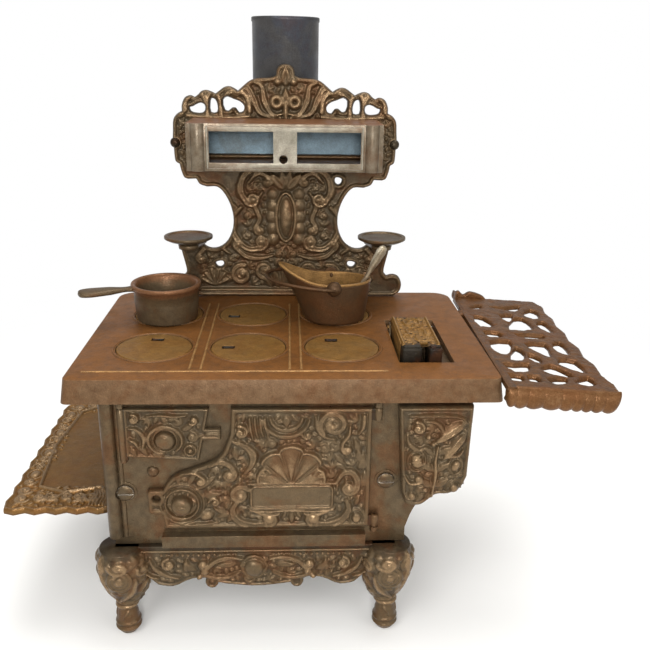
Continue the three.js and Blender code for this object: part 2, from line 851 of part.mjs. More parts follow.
function makeFront() {
  const back = bodyFront + bodyWall;
  const mouths = [
    roundedRectangle(ovenMouthLeft, ovenMouthRight, ovenMouthBottom, ovenMouthTop, ovenMouthCorner),
    roundedRectangle(fireMouthLeft, fireMouthRight, fireMouthBottom, fireMouthTop, fireMouthCorner),
  ];
  let panel = upright(frontOutline(), bodyFront, back, mouths);
  const column = cut(
    pinZ(columnX, bodyFront, columnFoot, columnHead, columnRadius, arcSides),
    block(columnX - columnRadius * 2, columnX + columnRadius * 2, back, back + columnRadius * 2, bodyBottom, hobTop),
  );
  const bead = pinZ(beadX, bodyFront, columnFoot, columnHead, beadRadius);
  const ledge = block(
    ledgeLeft, ledgeRight, bodyFront - ledgeReach, bodyFront + bodyWall / 2, ledgeTop - ledgeHeight, ledgeTop,
  );
  const nub = ball(nubX, bodyFront, nubZ, nubRadius, nubReach, nubRadius);
  const bosses = [[boltLeftX, boltLeftZ], [boltRightX, boltRightZ]].map(([x, z]) =>
    pinY(x, z, bodyFront - boltBossHeight, back, boltBossRadius, arcSides));
  const ovenTopLug = ovenTop + seatGap;
  const lugs = [
    lugZ(ovenHingeX, hingeAxisY, ovenTopLug, ovenTopLug + hingeLug, hingeRadius),
    lugZ(ovenHingeX, hingeAxisY, ovenBottom - seatGap - hingeLug, ovenBottom - seatGap, hingeRadius),
    lugZ(fireHingeX, hingeAxisY, fireTop + seatGap, fireTop + seatGap + hingeLug, fireHingeRadius),
    lugZ(fireHingeX, hingeAxisY, fireBottomLeft - seatGap - hingeLug, fireBottomLeft - seatGap, fireHingeRadius),
  ];
  panel = join(panel, column, bead, ledge, nub, ...bosses, ...lugs);
  const seat = bodyFront - boltBossHeight;
  const pins = [
    pinY(boltLeftX, boltLeftZ, seat - boltHeadRadius * 2, seat, boltHeadRadius + seatGap, arcSides),
    pinY(boltRightX, boltRightZ, seat - boltHeadRadius * 2, seat, boltHeadRadius + seatGap, arcSides),
    pinZ(ovenHingeX, hingeAxisY, ovenBottom - 2 * hingeLug, ovenTop + 2 * hingeLug, hingePinRadius + pinGap / 2),
    pinZ(fireHingeX, hingeAxisY, fireBottomLeft - 2 * hingeLug, fireTop + 2 * hingeLug, firePinRadius + pinGap / 2),
    pinY(boltLeftX, boltLeftZ, bodyFront - overrun, back + overrun, boltRadius + pinGap),
    pinY(boltRightX, boltRightZ, bodyFront - overrun, back + overrun, boltRadius + pinGap),
  ];
  piece("front_panel", cut(panel, ...pins), iron);
}

function makeEnds() {
  const y0 = bodyFront + bodyWall + seatGap;
  const y1 = bodyBack - bodyWall - seatGap;
  const left = block(bodyLeft, bodyLeft + bodyWall, y0, y1, bodyBottom, bodyTop);
  const ledge = block(
    bodyLeft + bodyWall / 2, bodyLeft + bodyWall + grateShelf, y0 + grateMargin, y1 - grateMargin,
    grateZ - grateShelf, grateZ - seatGap,
  );
  const sockets = hearthHookY.map((y) => hookSocket(-1, bodyLeft, y, hearthTop - hearthThick - seatGap));
  let leftEnd = join(left, ledge, ...sockets.map((s) => s.shell));
  leftEnd = cut(leftEnd, ...sockets.map((s) => s.slot));
  piece("left_end", leftEnd, iron);
  const notch = block(
    bodyRight - bodyWall - overrun, bodyRight + overrun, tankFront - tankWall - seatGap,
    tankBack + tankWall + seatGap, bodyTop - tankFlange - seatGap, bodyTop + overrun,
  );
  const right = block(bodyRight - bodyWall, bodyRight, y0, y1, bodyBottom, bodyTop);
  const seat = block(
    bodyRight - bodyWall - overrun, bodyRight + overrun, reservoirFront - 2 * seatGap,
    reservoirBack + 2 * seatGap, bodyTop - tankFlange - seatGap, bodyTop + overrun,
  );
  piece("right_end", cut(right, notch, seat), iron);
  let rear = block(bodyLeft, bodyRight, bodyBack - bodyWall, bodyBack, bodyBottom, bodyTop);
  rear = cut(rear, ...[[boltLeftX, boltLeftZ], [boltRightX, boltRightZ]].map(([x, z]) =>
    pinY(x, z, bodyBack - bodyWall - overrun, bodyBack + overrun, boltRadius + pinGap)));
  piece("rear_panel", rear, iron);
  piece("bottom_plate", block(
    bodyLeft + bodyWall + seatGap, bodyRight - bodyWall - seatGap, y0, y1, bodyBottom, bodyBottom + bodyWall,
  ), iron);
}

function makeFirebox() {
  const y0 = bodyFront + bodyWall + 2 * seatGap;
  const y1 = bodyBack - bodyWall - 2 * seatGap;
  const z0 = bodyBottom + bodyWall + seatGap;
  const wall = block(dividerX, dividerX + dividerThick, y0, y1, z0, bodyTop - 2 * seatGap);
  const ledge = block(dividerX - grateShelf, dividerX + dividerThick / 2, y0 + grateMargin, y1 - grateMargin,
    grateZ - grateShelf, grateZ - seatGap);
  piece("firebox_divider", join(wall, ledge), iron);
  const left = bodyLeft + bodyWall + seatGap;
  const right = dividerX - seatGap;
  const front = y0 + grateMargin;
  const back = y1 - grateMargin;
  const pitch = (back - front - grateSlotWidth) / grateSlots;
  const slots = [];
  for (let i = 0; i < grateSlots; i++) {
    const y = front + pitch * (i + 0.5);
    slots.push(roundedRectangle(left + grateMargin, right - grateMargin, y, y + grateSlotWidth, grateSlotWidth / 3));
  }
  const outline = roundedRectangle(left, right, front, back, grateSlotWidth / 2);
  piece("fire_grate", level(outline, grateZ, grateZ + grateThick, slots), iron);
}

function makeBolts() {
  const places = [["left", boltLeftX, boltLeftZ], ["right", boltRightX, boltRightZ]];
  for (const [side, x, z] of places) {
    const seat = bodyFront - boltBossHeight - seatGap;
    const head = bossOn(x, seat, z, [
      [0, 0],
      [boltHeadRadius, 0],
      [boltHeadRadius * 0.94, boltHeadHeight * 0.5],
      [boltHeadRadius * 0.68, boltHeadHeight * 0.88],
      [0, boltHeadHeight],
    ]);
    const slot = block(
      x - boltHeadRadius - overrun, x + boltHeadRadius + overrun,
      seat - boltHeadHeight - overrun, seat - boltHeadHeight + boltSlotDepth,
      z - boltSlotWidth / 2, z + boltSlotWidth / 2,
    );
    const shank = pinY(x, z, seat - boltHeadHeight / 3, bodyBack + seatGap + nutThick + boltTail, boltRadius);
    piece("tie_bolt_" + side, join(cut(head, slot), shank), iron);
    const nut = new THREE.CylinderGeometry(nutAcross / Math.sqrt(3), nutAcross / Math.sqrt(3), nutThick, 6);
    const place = solid(nut.translate(x, bodyBack + seatGap + nutThick / 2, z));
    const bore = pinY(x, z, bodyBack, bodyBack + nutThick + overrun, boltRadius + pinGap / 2);
    piece("tie_nut_" + side, cut(place, bore), iron);
  }
}

// Doors

function ovenOutline() {
  const rise = ovenTop - ovenShoulderZ;
  const drop = ovenShoulderZ - ovenBottom;
  const step = ovenStepX - ovenShoulderX;
  const lobe = ovenShoulderX - ovenLeft;
  const neck = ovenStepShares.map(([out, up]) => [ovenStepX - step * out, ovenShoulderZ + rise * up]);
  const round = ovenLobeShares.map(([out, down]) => [ovenShoulderX - lobe * out, ovenShoulderZ - drop * down]);
  return smoothPath([
    [[ovenRight, ovenBottom], [ovenRight, ovenTop]],
    [[ovenRight, ovenTop], [ovenStepX, ovenTop]],
    [[ovenStepX, ovenTop], neck[0]],
    [...neck, [ovenShoulderX, ovenShoulderZ], ...round],
    [round[round.length - 1], [ovenLeft + step * ovenFootShare, ovenBottom]],
  ], 4);
}

function fireOutline() {
  return [
    [fireLeft, fireBottomLeft],
    [fireRightBottom, fireBottomRight],
    [fireRightTop, fireTop],
    [fireLeft, fireTop],
  ];
}

// Each point of a counter-clockwise or clockwise outline moves inwards by the margin
function insetOutline(points, margin) {
  const area = points.reduce((sum, [x, z], i) => {
    const [nx, nz] = points[(i + 1) % points.length];
    return sum + x * nz - nx * z;
  }, 0);
  const way = area > 0 ? 1 : -1;
  return points.map(([x, z], i) => {
    const before = points[(i + points.length - 1) % points.length];
    const after = points[(i + 1) % points.length];
    const first = new THREE.Vector2(x - before[0], z - before[1]).normalize();
    const second = new THREE.Vector2(after[0] - x, after[1] - z).normalize();
    const mitre = 1 + first.dot(second);
    const shift = (way * margin) / Math.max(mitre, 1 / 2);
    return [x - (first.y + second.y) * shift, z + (first.x + second.x) * shift];
  });
}

// A ringed rosette with a round knob in its middle
function rosette(x, z, radius, height, knob, reach, front) {
  const foot = doorPlate / 2;
  return bossOn(x, front + foot, z, [
    [0, 0],
    [radius, 0],
    [radius, foot + height * 0.3],
    [radius * 0.88, foot + height * 0.46],
    [radius * 0.78, foot + height * 0.2],
    [knob * 1.08, foot + height * 0.2],
    [knob, foot + reach * 0.55],
    [knob * 0.72, foot + reach * 0.86],
    [knob * 0.3, foot + reach * 0.98],
    [0, foot + reach],
  ]);
}

function rimmedPlate(outline) {
  const front = doorBack - doorPlate;
  const plate = upright(outline, front, doorBack);
  const rim = upright(outline, front - doorRim, front + doorPlate / 2, [insetOutline(outline, doorRimWidth)]);
  return join(plate, rim);
}

function scallopShell(front) {
  const ribs = [];
  for (let i = 0; i < shellRibs; i++) {
    const turn = (i - (shellRibs - 1) / 2) * shellSpread;
    const long = (shellHeight / 2) * (1 - shellShares.turn * Math.abs(turn));
    const wide = shellHeight * shellSpread * shellShares.width;
    const geometry = new THREE.SphereGeometry(1, 12, 8);
    geometry.scale(wide, shellRise + doorPlate / 2, long).translate(0, 0, long);
    geometry.rotateY(turn).translate(shellX, front + doorPlate / 2, shellBase);
    ribs.push(solid(geometry));
  }
  const behind = block(
    shellX - shellHeight, shellX + shellHeight, front + doorPlate / 2, front + 2 * doorPlate + shellRise,
    shellBase - shellHeight, shellBase + 2 * shellHeight,
  );
  return cut(join(...ribs), behind);
}

function makeOvenDoor() {
  const front = doorBack - doorPlate;
  const outline = ovenOutline();
  const cartouche = upright(
    roundedRectangle(cartoucheLeft, cartoucheRight, cartoucheBottom, cartoucheTop, cartoucheRise),
    front - cartoucheRise, front + doorPlate / 2,
  );
  const tabOutline = roundedRectangle(
    ovenLeft - ovenTabReach, ovenLeft + ovenTabReach, ovenTabBottom, ovenTabTop, ovenTabHole,
  );
  const tab = upright(tabOutline, front + doorPlate / 3, doorBack);
  const z0 = ovenBottom;
  const barrels = [[z0, z0 + ovenBarrel], [ovenTop - ovenBarrel, ovenTop]].map(([low, high]) => join(
    pinZ(ovenHingeX, hingeAxisY, low, high, hingeRadius),
    block(
      ovenRight - doorRimWidth, ovenHingeX, hingeAxisY - hingeRadius / 2, hingeAxisY + hingeRadius / 2, low, high,
    ),
  ));
  let door = join(
    rimmedPlate(outline), tab, cartouche, scallopShell(front), ...barrels,
    rosette(rosetteX, rosetteZ, rosetteRadius, rosetteHeight, knobRadius, knobHeight, front),
  );
  const tabHoleZ = (ovenTabBottom + ovenTabTop) / 2 + ovenTabHole;
  door = cut(
    door,
    pinZ(ovenHingeX, hingeAxisY, ovenBottom - overrun, ovenTop + overrun, hingePinRadius + pinGap),
    pinY(ovenLeft - ovenTabReach / 3, tabHoleZ, front - overrun, bodyFront, ovenTabHole),
  );
  piece("oven_door", door, iron);
  const places = [
    ["lower", ovenBottom - seatGap - hingeLug, ovenBottom + ovenBarrel],
    ["upper", ovenTop - ovenBarrel, ovenTop + seatGap + hingeLug],
  ];
  for (const [name, low, high] of places) {
    piece("oven_pin_" + name, pinZ(ovenHingeX, hingeAxisY, low, high, hingePinRadius - pinGap / 3), steel);
  }
}

function makeFireDoor() {
  const front = doorBack - doorPlate;
  const outline = fireOutline();
  const tab = upright([
    [fireRightBottom - doorRimWidth, fireTabBottom],
    [fireRightTop + fireTabReach, fireTabBottom],
    [fireRightTop + fireTabReach, fireTabTop],
    [fireRightBottom - doorRimWidth, fireTabTop],
  ], front + doorPlate / 3, doorBack);
  const barrel = join(
    pinZ(fireHingeX, hingeAxisY, fireBottomLeft, fireTop, fireHingeRadius),
    block(
      fireHingeX, fireLeft + doorRimWidth, hingeAxisY - fireHingeRadius / 2, hingeAxisY + fireHingeRadius / 2,
      fireBottomLeft, fireTop,
    ),
  );
  const door = join(
    rimmedPlate(outline), tab, barrel,
    rosette(fireRosetteX, fireRosetteZ, fireRosetteRadius, rosetteHeight, fireKnobRadius, fireKnobHeight, front),
  );
  const bore = pinZ(fireHingeX, hingeAxisY, fireBottomLeft - overrun, fireTop + overrun, firePinRadius + pinGap);
  piece("fire_door", cut(door, bore), iron);
  const low = fireBottomLeft - seatGap - hingeLug;
  const high = fireTop + seatGap + hingeLug;
  piece("fire_door_pin", pinZ(fireHingeX, hingeAxisY, low, high, firePinRadius - pinGap / 3), steel);
}

// Reservoir

function casingOutline() {
  const width = casingRight - casingFrontLeft;
  return smoothPath(casingShares.map((stretch) => stretch.map(([along, up]) => [
    casingFrontLeft + width * along,
    casingFrontBottom + casingFrontHeight * up,
  ])));
}

function makeReservoir() {
  const bevel = casingProud * casingBevelShare;
  piece("reservoir_front", pillowed(casingOutline(), bodyFront - casingProud, bodyFront - seatGap, bevel), iron);
  const y0 = bodyFront + bodyWall + seatGap;
  const x0 = bodyRight + seatGap;
  const top = bodyTop - tankFlange - seatGap;
  const shell = block(x0, casingRight, y0, casingBack, casingBottom, top);
  const hollow = block(
    x0 - overrun, casingRight - casingWall, y0 - overrun, casingBack - casingWall,
    casingBottom + casingWall, top + overrun,
  );
  piece("reservoir_casing", cut(shell, hollow), iron);
  const flange = block(
    reservoirLeft - seatGap, reservoirRight + casingWall, reservoirFront, reservoirBack,
    bodyTop - tankFlange, bodyTop,
  );
  const well = block(
    tankLeft - tankWall, tankRight + tankWall, tankFront - tankWall, tankBack + tankWall,
    bodyTop - tankDepth, bodyTop,
  );
  const inside = block(tankLeft, tankRight, tankFront, tankBack, bodyTop - tankDepth + tankWall, bodyTop + overrun);
  const earHeight = trunnionZ + trunnionRadius + pinGap + earHalf / 2;
  const ears = [lidBoxLeft - seatGap - earThick, lidBoxRight + seatGap].map((x) => block(
    x, x + earThick, trunnionY - earHalf, trunnionY + earHalf, bodyTop - tankFlange / 2, earHeight,
  ));
  const bores = pinX(
    trunnionY, trunnionZ, lidBoxLeft - overrun * 2, lidBoxRight + overrun * 2, trunnionRadius + pinGap,
  );
  piece("reservoir_tank", cut(join(flange, well, ...ears), inside, bores), iron);
}

function makeReservoirLid() {
  const z0 = bodyTop + seatGap;
  const profile = [
    [lidBoxFront, z0],
    [trunnionY, z0],
    [lidBoxBack, z0 + lidBoxBack - trunnionY],
    [lidBoxBack, lidBoxTop],
    [lidBoxFront + lidBoxSlope, lidBoxTop],
    [lidBoxFront, z0 + (lidBoxTop - z0) * lidBoxNoseShare],
  ];
  const inner = [
    [lidBoxFront + lidBoxWall, z0 - overrun],
    [lidBoxBack - lidBoxWall, z0 - overrun],
    [lidBoxBack - lidBoxWall, lidBoxTop - lidBoxWall],
    [lidBoxFront + lidBoxSlope + lidBoxWall, lidBoxTop - lidBoxWall],
  ];
  const shell = sideways(profile, lidBoxLeft, lidBoxRight);
  const hollow = sideways(inner, lidBoxLeft + lidBoxWall, lidBoxRight - lidBoxWall);
  const middle = (lidBoxLeft + lidBoxRight) / 2 + lidBoxNotch / 2;
  const notch = block(
    middle - lidBoxNotch / 2, middle + lidBoxNotch / 2, lidBoxFront - overrun, lidBoxFront + lidBoxNotchDepth,
    z0 - overrun, lidBoxTop + overrun,
  );
  const pins = [
    pinX(trunnionY, trunnionZ, lidBoxLeft - trunnionReach, lidBoxLeft + lidBoxWall / 2, trunnionRadius),
    pinX(trunnionY, trunnionZ, lidBoxRight - lidBoxWall / 2, lidBoxRight + trunnionReach, trunnionRadius),
  ];
  piece("reservoir_lid", join(cut(shell, hollow, notch), ...pins), olive);
}

// Base with four cabriole legs

// Rings of a foot: height, then half widths, in shares of the foot's height and radius
const legShares = [
  [0, 0.58],
  [0.04, 0.8],
  [0.16, 0.97],
  [0.36, 1],
  [0.62, 0.92],
  [0.9, 0.8],
];

// Rings of a knee: height, radius and how far it leans inwards
const kneeShares = [
  [0.1, 0.62, 0.12],
  [0.3, 0.85, 0.08],
  [0.6, 1, 0],
  [0.82, 0.97, -0.04],
  [1, 0.8, -0.1],
];

function makeLeg(sideX, y, sideY) {
  const x = bodyMiddle + sideX * legSpread;
  const rings = legShares.map(([h, r]) =>
    ovalRing(x, y, footHeight * h, footRadius * r, footRadius * r, legSides));
  const rise = baseTop - footHeight;
  for (const [h, r, lean] of kneeShares) {
    const cx = x + sideX * kneeRadius * (-lean);
    const cy = y + sideY * kneeRadius * (-lean);
    rings.push(ovalRing(cx, cy, footHeight + rise * h, kneeRadius * r, kneeRadius * r, legSides));
  }
  return loft(rings);
}

const apronShares = [
  [[-1, 0.1], [-0.92, 0.5], [-0.8, 0.08], [-0.68, 0.02], [-0.52, 0.22], [-0.42, 0.24]],
  [[-0.42, 0.24], [-0.3, 0.1], [-0.1, 0.02], [0, 0]],
];

function apronOutline(half, middle) {
  const rise = baseTop - baseRing / 2 - apronBottom;
  const left = smoothPath(apronShares).map(([x, z]) => [middle + x * half, apronBottom + z * rise]);
  const right = left.map(([x, z]) => [2 * middle - x, z]).reverse();
  const top = baseTop - baseRing / 2;
  return [...left, ...right.slice(1), [middle + half, top], [middle - half, top]];
}

function makeBase() {
  const x0 = bodyMiddle - legSpread - footRadius + baseLip;
  const x1 = bodyMiddle + legSpread + footRadius - baseLip;
  const y0 = bodyFront - baseLip;
  const y1 = bodyBack + baseLip;
  let base = block(x0, x1, y0, y1, baseTop - baseRing, baseTop);
  base = cut(base, block(
    x0 + baseRingWidth, x1 - baseRingWidth, y0 + baseRingWidth, y1 - baseRingWidth,
    baseTop - baseRing - overrun, baseTop + overrun,
  ));
  const front = upright(apronOutline(legSpread - kneeRadius / 3, bodyMiddle), y0, y0 + apronThick);
  const rear = upright(apronOutline(legSpread - kneeRadius / 3, bodyMiddle), y1 - apronThick, y1);
  const sideHalf = (legBackY - legFrontY) / 2 - kneeRadius / 3;
  const sideMiddle = (legBackY + legFrontY) / 2;
  const sides = [[x0, x0 + apronThick], [x1 - apronThick, x1]].map(([a, b]) =>
    sideways(apronOutline(sideHalf, sideMiddle), a, b));
  const corners = [[-1, legFrontY, -1], [1, legFrontY, -1], [-1, legBackY, 1], [1, legBackY, 1]];
  const legs = corners.map((at) => makeLeg(...at));
  const kneeZ = footHeight + (baseTop - footHeight) * kneeBossShare;
  const kneeY = legFrontY - kneeRadius * kneeFaceShare;
  const bosses = [-1, 1].map((side) => bossOn(bodyMiddle + side * legSpread, kneeY, kneeZ, [
    [0, -kneeBossHeight],
    [kneeBossRadius, -kneeBossHeight],
    [kneeBossRadius, kneeBossHeight * 0.6],
    [kneeBossRadius * 0.8, kneeBossHeight * 0.75],
    [kneeBossRadius * 0.6, kneeBossHeight * 0.4],
    [kneeBossRadius * 0.4, kneeBossHeight * 0.95],
    [0, kneeBossHeight * 1.2],
  ]));
  const egg = ball(apronCentreX, y0, (baseTop + apronBottom) / 2, eggRadius, eggHeight, eggRadius * 0.92);
  const drops = [-1, 1].map((side) =>
    ball(apronCentreX + side * dropSpacing / 2, y0 + dropRadius / 3, dropZ, dropRadius));
  base = join(base, front, rear, ...sides, ...legs, ...bosses, egg, ...drops);
  piece("base", cut(base, block(
    x0 - kneeRadius * 2, x1 + kneeRadius * 2, y0 - kneeRadius * 2, y1 + kneeRadius * 2, baseTop, baseTop + kneeRadius,
  )), iron);
}

// High back: the right half of its outline in shares of its half width and height

const backHalfShares = [
  [[0, 0], [0.935, 0]],
  [[0.935, 0], [0.99, 0.025], [1, 0.056], [0.975, 0.088], [0.92, 0.1], [0.868, 0.094]],
  [[0.868, 0.094], [0.842, 0.113], [0.857, 0.163], [0.878, 0.213], [0.887, 0.277]],
  [[0.887, 0.277], [0.714, 0.277]],
  [
    [0.714, 0.277], [0.697, 0.245], [0.645, 0.223], [0.563, 0.224], [0.486, 0.256], [0.441, 0.314], [0.436, 0.363],
    [0.461, 0.42], [0.515, 0.472], [0.563, 0.493], [0.643, 0.493],
  ],
  [[0.643, 0.493], [0.707, 0.506], [0.729, 0.527]],
  [[0.729, 0.527], [0.824, 0.531], [0.849, 0.563], [0.86, 0.59]],
  [
    [0.86, 0.59], [0.891, 0.602], [0.898, 0.633], [0.9, 0.665], [0.905, 0.687], [0.9, 0.73], [0.893, 0.774],
    [0.861, 0.798], [0.823, 0.809],
  ],
  [[0.823, 0.809], [0.822, 0.832], [0.796, 0.863], [0.749, 0.873], [0.717, 0.866]],
  [[0.717, 0.866], [0.69, 0.876], [0.663, 0.89], [0.624, 0.895], [0.585, 0.889], [0.553, 0.881]],
  [[0.553, 0.881], [0.519, 0.894], [0.48, 0.908], [0.44, 0.911], [0.402, 0.903], [0.376, 0.894]],
  [[0.376, 0.894], [0.336, 0.912], [0.283, 0.934], [0.231, 0.944], [0.178, 0.946], [0.106, 0.95], [0.076, 0.957]],
  [[0.076, 0.957], [0.067, 0.983], [0.034, 0.999], [0, 1.002]],
];

// Openings of the high back: middle, width and height in shares, and the loop's own form
const beanShares = [
  [-0.5, 0.05], [-0.42, -0.35], [-0.1, -0.5], [0.32, -0.48], [0.5, -0.2], [0.48, 0.3], [0.25, 0.5],
  [-0.05, 0.35], [-0.3, 0.12],
];
const slotShares = [[-0.42, -0.5], [0.42, -0.48], [0.5, 0], [0.2, 0.42], [-0.3, 0.5], [-0.5, 0.1]];
const scrollShares = [
  [-0.5, 0.3], [-0.42, -0.35], [-0.25, -0.4], [-0.08, -0.2], [0.1, -0.22], [0.25, -0.5], [0.45, -0.42],
  [0.5, -0.1], [0.3, 0.2], [0, 0.35], [-0.3, 0.5],
];
const ovalShares = [[-0.5, 0.15], [-0.3, -0.4], [0.1, -0.5], [0.45, -0.15], [0.4, 0.35], [0, 0.4]];

const backHoleShares = [
  { side: 0, loop: beanShares, middle: [0.698, 0.823], size: [0.12, 0.04] },
  { side: 0, loop: slotShares, middle: [0.567, 0.834], size: [0.056, 0.056] },
  { side: 0, loop: scrollShares, middle: [0.41, 0.838], size: [0.165, 0.062] },
  { side: 0, loop: ovalShares, middle: [0.558, 0.15], size: [0.07, 0.03] },
  { side: 1, loop: ovalShares, middle: [0.434, 0.524], size: [0.06, 0.034] },
];

function backOpenings() {
  const holes = [];
  for (const { side, loop, middle, size } of backHoleShares) {
    for (const way of side ? [side] : [-1, 1]) {
      const points = loop.map(([x, z]) => [
        way * backHalf * (middle[0] - x * size[0]),
        backFoot + backHeight * (middle[1] + z * size[1]),
      ]);
      holes.push(smoothLoop(points, 2));
    }
  }
  holes.push([
    [-closetOpeningHalf, windowBottom],
    [closetOpeningHalf, windowBottom],
    [closetOpeningHalf, windowTop],
    [-closetOpeningHalf, windowTop],
  ]);
  return holes;
}

function makeHighBack() {
  const half = smoothPath(backHalfShares).map(([x, z]) => [x * backHalf, backFoot + z * backHeight]);
  const outline = mirrored(half);
  const rearFace = backFront + backThick;
  let back = upright(outline, backFront, rearFace, backOpenings());
  const flange = block(
    -backFlangeHalf, backFlangeHalf, rearFace - backThick / 2, rearFace + backFlangeDepth,
    backFoot, backFoot + backFlangeThick,
  );
  const medallion = solid(new THREE.SphereGeometry(1, 24, 12)
    .scale(medallionRx, backThick / 2 + waistRise, medallionRz)
    .translate(0, backFront + backThick / 2, medallionZ));
  back = join(back, flange, teaBracket(-1), teaBracket(1), cut(medallion, block(
    -backHalf, backHalf, rearFace - seatGap, rearFace + backThick * 2, backFoot, backFoot + backHeight,
  )));
  const bores = [-1, 1].flatMap((side) => [
    pinZ(side * screwX, screwY, backFoot - overrun, backFoot + backFlangeThick + overrun, screwRadius + pinGap),
    pinY(side * rivetX, rivetZ, backFront - overrun, rearFace + overrun, rivetShank + pinGap),
    pinY(side * pegX, pegZ, backFront - overrun, rearFace + overrun, pegRadius + pinGap),
  ]);
  const pegHoles = [-1, 1].map((side) => pinZ(side * teaX, teaY, teaHoleFoot, teaTop, teaPeg + pinGap));
  const pipeRoom = pinZ(0, pipeY, backFoot - overrun, backFoot + backHeight, pipeRadius + 2 * seatGap, arcSides * 2);
  piece("high_back", cut(back, ...bores, ...pegHoles, pipeRoom), iron);
}

function makeBackFasteners() {
  for (const [name, side] of [["left", -1], ["right", 1]]) {
    const head = backFoot + backFlangeThick + seatGap;
    const radius = backFlangeDepth / 2 - seatGap;
    const screw = join(
      pinZ(side * screwX, screwY, head, head + screwHeadHeight, radius),
      pinZ(side * screwX, screwY, hobUnder - screwHeadHeight, head + screwHeadHeight / 2, screwRadius),
    );
    piece("back_screw_" + name, screw, steel);
    const seat = backFront - seatGap;
    const dome = ball(side * rivetX, seat, rivetZ, rivetRadius);
    const behind = backFront + backThick + seatGap;
    const rivet = join(
      dome.subtract(block(
        side * rivetX - 2 * rivetRadius, side * rivetX + 2 * rivetRadius, seat, seat + 2 * rivetRadius,
        rivetZ - 2 * rivetRadius, rivetZ + 2 * rivetRadius,
      )),
      pinY(side * rivetX, rivetZ, seat - rivetRadius / 2, behind + rivetShank, rivetShank),
      pinY(side * rivetX, rivetZ, behind, behind + rivetShank / 2, rivetShank * 1.6),
    );
    piece("closet_rivet_" + name, rivet, steel);
  }
}

function makeCloset() {
  const back = backFront - seatGap;
  let shell = block(-closetHalf, closetHalf, closetFront, back, closetBottom, closetTop);
  shell = cut(shell, block(
    -closetHalf + closetWall, closetHalf - closetWall, closetFront + closetFace, back + overrun,
    closetBottom + closetWall, closetTop - closetWall,
  ));
  const windows = [-1, 1].map((side) => block(
    Math.min(side * windowInner, side * windowOuter), Math.max(side * windowInner, side * windowOuter),
    closetFront - overrun, closetFront + closetFace + overrun, windowBottom, windowTop,
  ));
  const hole = pinY(knobHoleX, knobHoleZ, closetFront - overrun, closetFront + closetFace + overrun, knobHole, 16);
  const pilasters = [-1, 1].map((side) => pinZ(
    side * pilasterX, closetFront + pilasterRadius * pilasterShare, closetBottom, closetTop,
    pilasterRadius, arcSides,
  ));
  const inside = block(
    -closetHalf, closetHalf, closetFront + closetFace, back + overrun,
    closetBottom + closetWall, closetTop - closetWall,
  );
  const pegs = [-1, 1].map((side) => join(
    block(side * pegX - closetWall, side * pegX + closetWall, back - closetWall * 2, back,
      closetBottom + closetWall / 2, closetTop - closetWall / 2),
    pinY(side * pegX, pegZ, back - closetWall, backFront + backThick + 2 * seatGap + linerThick, pegRadius),
  ));
  const posts = pilasters.map((p) => p.subtract(inside));
  piece("closet", join(cut(join(shell, ...posts), ...windows, hole), ...pegs), nickel);
  const linerFront = backFront + backThick + seatGap;
  const liner = block(
    -linerHalf, linerHalf, linerFront, linerFront + linerThick, closetBottom + closetWall, closetTop - closetWall,
  );
  const bores = [-1, 1].map((side) =>
    pinY(side * pegX, pegZ, linerFront - overrun, linerFront + overrun, pegRadius + pinGap));
  piece("closet_liner", cut(liner, ...bores), sheet);
}

function teaBracket(side) {
  const top = teaTop - teaThick - teaNeckHeight - seatGap;
  const x = side * teaX;
  const arm = level([
    [x - bracketRadius, teaY],
    [x + bracketRadius, teaY],
    [x + bracketRadius * bracketFlare, backFront + backThick / 2],
    [x - bracketRadius * bracketFlare, backFront + backThick / 2],
  ], top - bracketThick, top);
  return join(arm, pinZ(x, teaY, top - bracketThick, top, bracketRadius, arcSides));
}

function makeTeaShelves() {
  const under = teaThick + teaNeckHeight;
  for (const [name, side] of [["left", -1], ["right", 1]]) {
    const peg = under + seatGap + bracketThick;
    piece("tea_shelf_" + name, turnedUp(side * teaX, teaY, teaTop, [
      [0, -peg],
      [teaPeg, -peg],
      [teaPeg, -under],
      [teaNeck, -under],
      [teaNeck, -teaThick],
      [teaRadius - teaThick, -teaThick],
      [teaRadius, -teaThick / 2],
      [teaRadius, 0],
      [teaRadius - teaEdge, 0],
      [teaRadius - teaEdge - teaDish, -teaDish],
      [0, -teaDish],
    ], arcSides * 2), rust);
  }
}

function makePipe() {
  const low = hobTop + seatGap;
  const tube = pinZ(0, pipeY, low, pipeTop, pipeRadius, arcSides * 2);
  const bore = pinZ(0, pipeY, low - overrun, pipeTop + overrun, pipeRadius - pipeWall, arcSides * 2);
  piece("stove_pipe", cut(tube, bore), steel);
}

// Shelves at the sides

